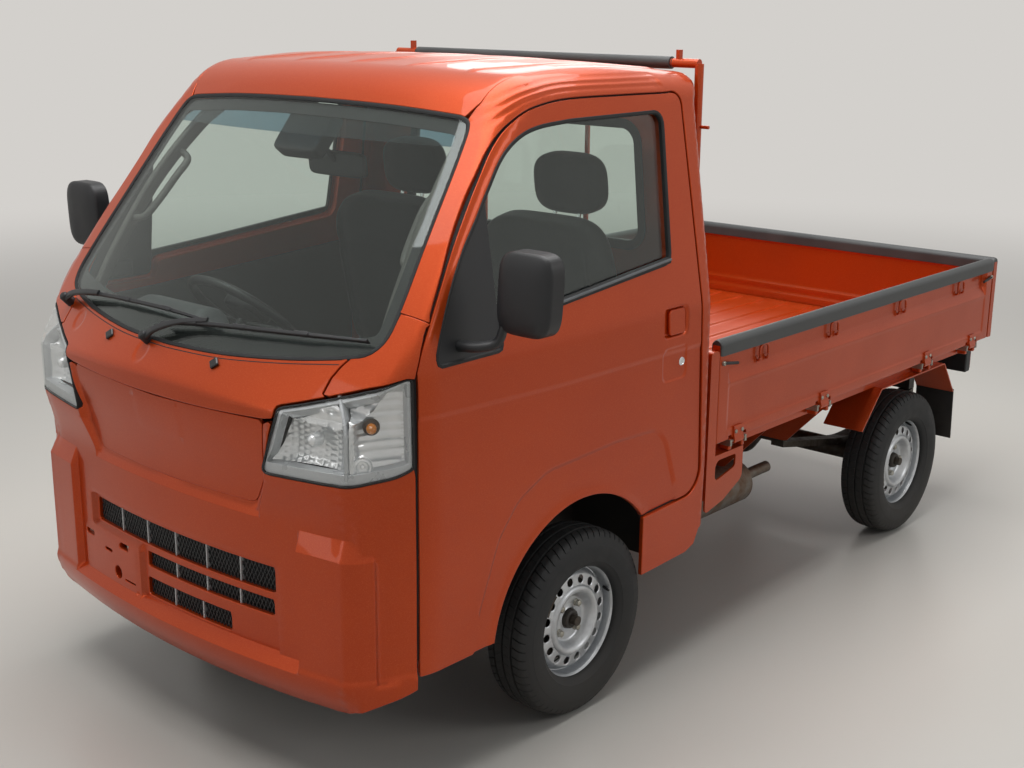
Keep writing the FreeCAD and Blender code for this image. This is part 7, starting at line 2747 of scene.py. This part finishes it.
@dataclass
class Cabin:
    """Dash, steering wheel and what else shows through the glass."""

    wheel_at: tuple = (-0.32, -1.1525, 1.02)
    wheel_axis: tuple = (0.0, 0.669131, 0.743145)
    dash: tuple = ((-1.500, 0.730), (-1.508, 0.800), (-1.516, 0.960), (-1.540, 1.030),
                   (-1.560, 1.050), (-1.540, 1.0535), (-1.470, 1.056), (-1.400, 1.052),
                   (-1.352, 1.040), (-1.330, 1.022), (-1.322, 0.995), (-1.330, 0.955),
                   (-1.352, 0.900), (-1.362, 0.840), (-1.372, 0.770), (-1.392, 0.722),
                   (-1.430, 0.708))

    def build(self) -> None:
        """Makes the cabin's pieces."""
        self.dashboard()
        self.steering_wheel()
        self.mirror_box()
        self.trim()

    def dashboard(self) -> None:
        """The dash: its section is carried across the cab and swells into the gauge hood.

        Height gains 38 mm times a bell over x around the wheel, and a shallow tray is sunk at
        the passenger's side.
        """
        section = bezier_like(self.dash + self.dash[:1], 70)[:-1]
        xs = np.array([-0.598, -0.596, -0.590, *np.linspace(-0.57, 0.57, 77), 0.590, 0.596, 0.598])
        net = np.zeros((len(xs), len(section), 3))
        net[..., 0] = xs[:, None]
        net[..., 1], net[..., 2] = section[None, :, 0], section[None, :, 1]
        top = smooth_step(1.00, 1.045, net[..., 2])
        hood = (smooth_step(-0.50, -0.45, net[..., 0]) * smooth_step(-0.14, -0.19, net[..., 0])
                * smooth_step(-1.50, -1.40, net[..., 1]))
        net[..., 2] += 0.040 * hood * top
        net[..., 1] += 0.018 * hood * smooth_step(0.95, 1.02, net[..., 2])
        tray = (smooth_step(0.02, 0.035, net[..., 0]) * smooth_step(0.50, 0.485, net[..., 0])
                * smooth_step(-1.50, -1.49, net[..., 1]) * smooth_step(-1.375, -1.385, net[..., 1]))
        net[..., 2] -= 0.014 * tray * top
        middle = net.mean(1, keepdims=True)
        ends = smooth_step(0.5985, 0.590, np.abs(xs))[:, None, None]
        net[..., 1:] = middle[..., 1:] + (net[..., 1:] - middle[..., 1:]) * (0.97 + 0.03 * ends)
        place("dash_moulding", solid_of(net), CABIN, replaces=["dashboard"])
        slots = [block((x, -1.548, 1.0515), (x + 0.0085, -1.522, 1.0562), 0.0012, 1)
                 for x in np.arange(-0.46, 0.46, 0.0135)]
        place("defroster_slots", joined(*slots), RUBBER)
        rings, blades = [], []
        for x in (-0.545, -0.075, 0.075, 0.545):
            rings.append(turned_profile([(-0.012, 0.028), (0.004, 0.030), (0.008, 0.034),
                                         (0.006, 0.039), (-0.012, 0.041)], (x, -1.326, 0.975),
                                        (0, 1, 0), 32))
            blades += [block((x - 0.028, -1.336, 0.975 + d), (x + 0.028, -1.326, 0.9775 + d),
                             0.0008, 1) for d in (-0.016, -0.005, 0.006, 0.017)]
        place("vent_rings", joined(*rings), BEZEL, slot=Slot.CABIN_PLASTIC)
        place("vent_blades", joined(*blades), PLASTIC)
        radio = block((-0.098, -1.350, 0.838), (0.098, -1.331, 0.925), 0.004, 3)
        knobs = [turned_profile([(-0.01, 0.017), (0.010, 0.016), (0.014, 0.013), (0.0145, 0.0)],
                                (x, -1.346, 0.790), (0, 1, 0), 28) for x in (-0.06, 0.0, 0.06)]
        place("blank_radio_panel", radio, GLOSS)
        place("heater_knobs", joined(*knobs), PLASTIC)
        gauge = turned_profile([(-0.004, 0.062), (0.010, 0.066), (0.014, 0.069), (0.012, 0.072),
                                (-0.004, 0.074)], (-0.32, -1.322, 1.006), (0, 0.94, 0.34), 40)
        face = turned_profile([(0.0, 0.064), (0.002, 0.060), (0.002, 0.0)], (-0.32, -1.322, 1.006),
                              (0, 0.94, 0.34), 40)
        place("gauge_ring", gauge, BEZEL, slot=Slot.CABIN_PLASTIC)
        place("gauge_face", face, GLOSS)
        lever = bar([(0.02, -1.20, 0.66), (0.02, -1.215, 0.80), (0.015, -1.19, 0.87)], 0.008, 14,
                    12)
        knob = cushion((0.020, 0.020, 0.026), (0.015, -1.187, 0.89), 0.0, 2.4, 0.0)
        tunnel = block((-0.055, -1.30, 0.60), (0.095, -1.12, 0.685), 0.02, 4)
        place("gear_lever", joined(lever, knob, tunnel), CABIN)

    def steering_wheel(self) -> None:
        """A padded rim, three spokes and a bare hub pad, square to the column."""
        axis = unit(np.array(self.wheel_axis))
        up = np.cross(X_UNIT, axis)
        centre = np.array(self.wheel_at)
        turn = np.arange(72) * 2 * math.pi / 72
        ring = (np.cos(turn)[:, None] * X_UNIT + np.sin(turn)[:, None] * up)
        rim = carried(centre + ring * 0.171, ring, axis, circle(0.0145, 18, 0.92), True)
        pieces = [outward(rim)]
        for angle in (-0.35, math.pi + 0.35, -math.pi / 2):
            way = math.cos(angle) * X_UNIT + math.sin(angle) * up
            across = np.cross(axis, way)
            path = centre + np.linspace(0.035, 0.166, 8)[:, None] * way - axis * np.linspace(
                0.028, 0.004, 8)[:, None]
            section = oblong(-0.020, -0.006, 0.020, 0.006, 0.005, 30)
            pieces.append(outward(carried(path, across, axis, section)))
        hub = tapered(0.078, -0.050, 0.066, 0.052, (0.03, 0.03), 12)
        pieces.append(outward(rounded_slab(hub, centre - axis * 0.002, X_UNIT, up, 0.045, 0.014,
                                           5)))
        place("steering_wheel_rim", joined(*pieces), PLASTIC, "steering_wheel",
              replaces=["steering_wheel"])

    def mirror_box(self) -> None:
        """The camera cover behind the glass, the inner mirror and the sun visors."""
        box = cushion((0.088, 0.024, 0.070), (-0.030, -1.138, 1.556), -0.69, 8.0, 0.0)
        place("camera_cover", box, PLASTIC)
        glass = cushion((0.112, 0.012, 0.034), (-0.010, -1.055, 1.470), 0.12, 7.0, 0.0)
        stem = bar([(-0.010, -1.120, 1.540), (-0.010, -1.065, 1.478)], 0.008, 12)
        place("inner_mirror", joined(glass, stem), PLASTIC)
        visors = [cushion((0.190, 0.010, 0.075), (x, -1.030, 1.628), -1.30, 7.0, 0.0)
                  for x in (-0.315, 0.305)]
        place("sun_visors", joined(*visors), LINING)

    def trim(self) -> None:
        """Headliner, pillar covers and the grab handles on them, and a dark panel on the back wall
        as painted shade.
        """
        loop = evened([(-0.55, -1.02), (0.55, -1.02), (0.575, -0.35), (-0.575, -0.35)], 0.06)
        lining = Panel(View.TOP, loop, depth=sunk_by(0.034), thickness=0.004, step=0.06).shape()
        place("headliner", lining, LINING)
        path = bezier_like([(0.628, -1.500, 1.060), (0.612, -1.400, 1.235), (0.590, -1.270, 1.420),
                            (0.560, -1.130, 1.570), (0.535, -1.040, 1.640)], 18)
        along = tangents(path, False)
        out = unit(np.cross(along, np.cross(X_UNIT - 0.8 * Y_UNIT, along)))
        cover = tapered(0.036, -0.010, 0.026, 0.008, (0.008, 0.007), 20)
        pillar = outward(carried(path - out * 0.034, unit(np.cross(along, out)), out, cover))
        place_both("pillar_cover", pillar, LINING_DARK)
        handle = bar([(0.572, -1.348, 1.295), (0.530, -1.330, 1.300), (0.512, -1.290, 1.345),
                      (0.500, -1.235, 1.410), (0.505, -1.190, 1.452), (0.545, -1.182, 1.475)],
                     0.0105, 14, 36)
        place_both("grab_handle", handle, LINING_DARK)
        # A dark grey block over the lower back wall, whose real finish is body colour: painted
        # shade behind the seats.
        wall = block((-0.585, -0.372, 0.700), (0.585, -0.352, 1.115), 0.006, 3)
        place("back_trim", wall, LINING_DARK)


BUILD = (CabSkin, Doors, Bumper, HeadLamps, Wipers, Wheels, Gates, Bed, Seats, Cabin)


def dress_frame(frame_nodes: dict) -> None:
    """Gives the CAD nodes that stay in view their real finishes."""
    finishes = {
        "cab_floor": CHASSIS, "frame_rails": CHASSIS, "frame_cross_members": CHASSIS,
        "spring_hangers": CHASSIS, "front_suspension": CAST, "rear_axle": CAST,
        "leaf_springs": CAST, "engine_and_shaft": CAST, "fuel_tank": TANK, "exhaust": EXHAUST,
        "bed_runners": BED_PAINT, "bed_sills": BED_PAINT, "bed_bearers": BED_PAINT,
        "bed_outriggers": BED_PAINT, "corner_plates": BED_PAINT, "gate_hinge_pins": ZINC,
        "knuckle_left": CAST, "knuckle_right": CAST, "mud_flaps": FLAP,
        "steering_column": CABIN}
    for name, thing in frame_nodes.items():
        finish = finishes.get(name, BED_PAINT)
        for slot in thing.material_slots:
            slot.material = finish.material()


def main() -> None:
    """Builds the truck round the frame, piece by piece."""
    logging.basicConfig(level=logging.INFO, format="%(message)s")
    dress_frame(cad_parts)
    Studio().build()
    for part in BUILD:
        LOG.info("-- %s", part.__name__)
        part().build()


if __name__ == "__main__":
    main()
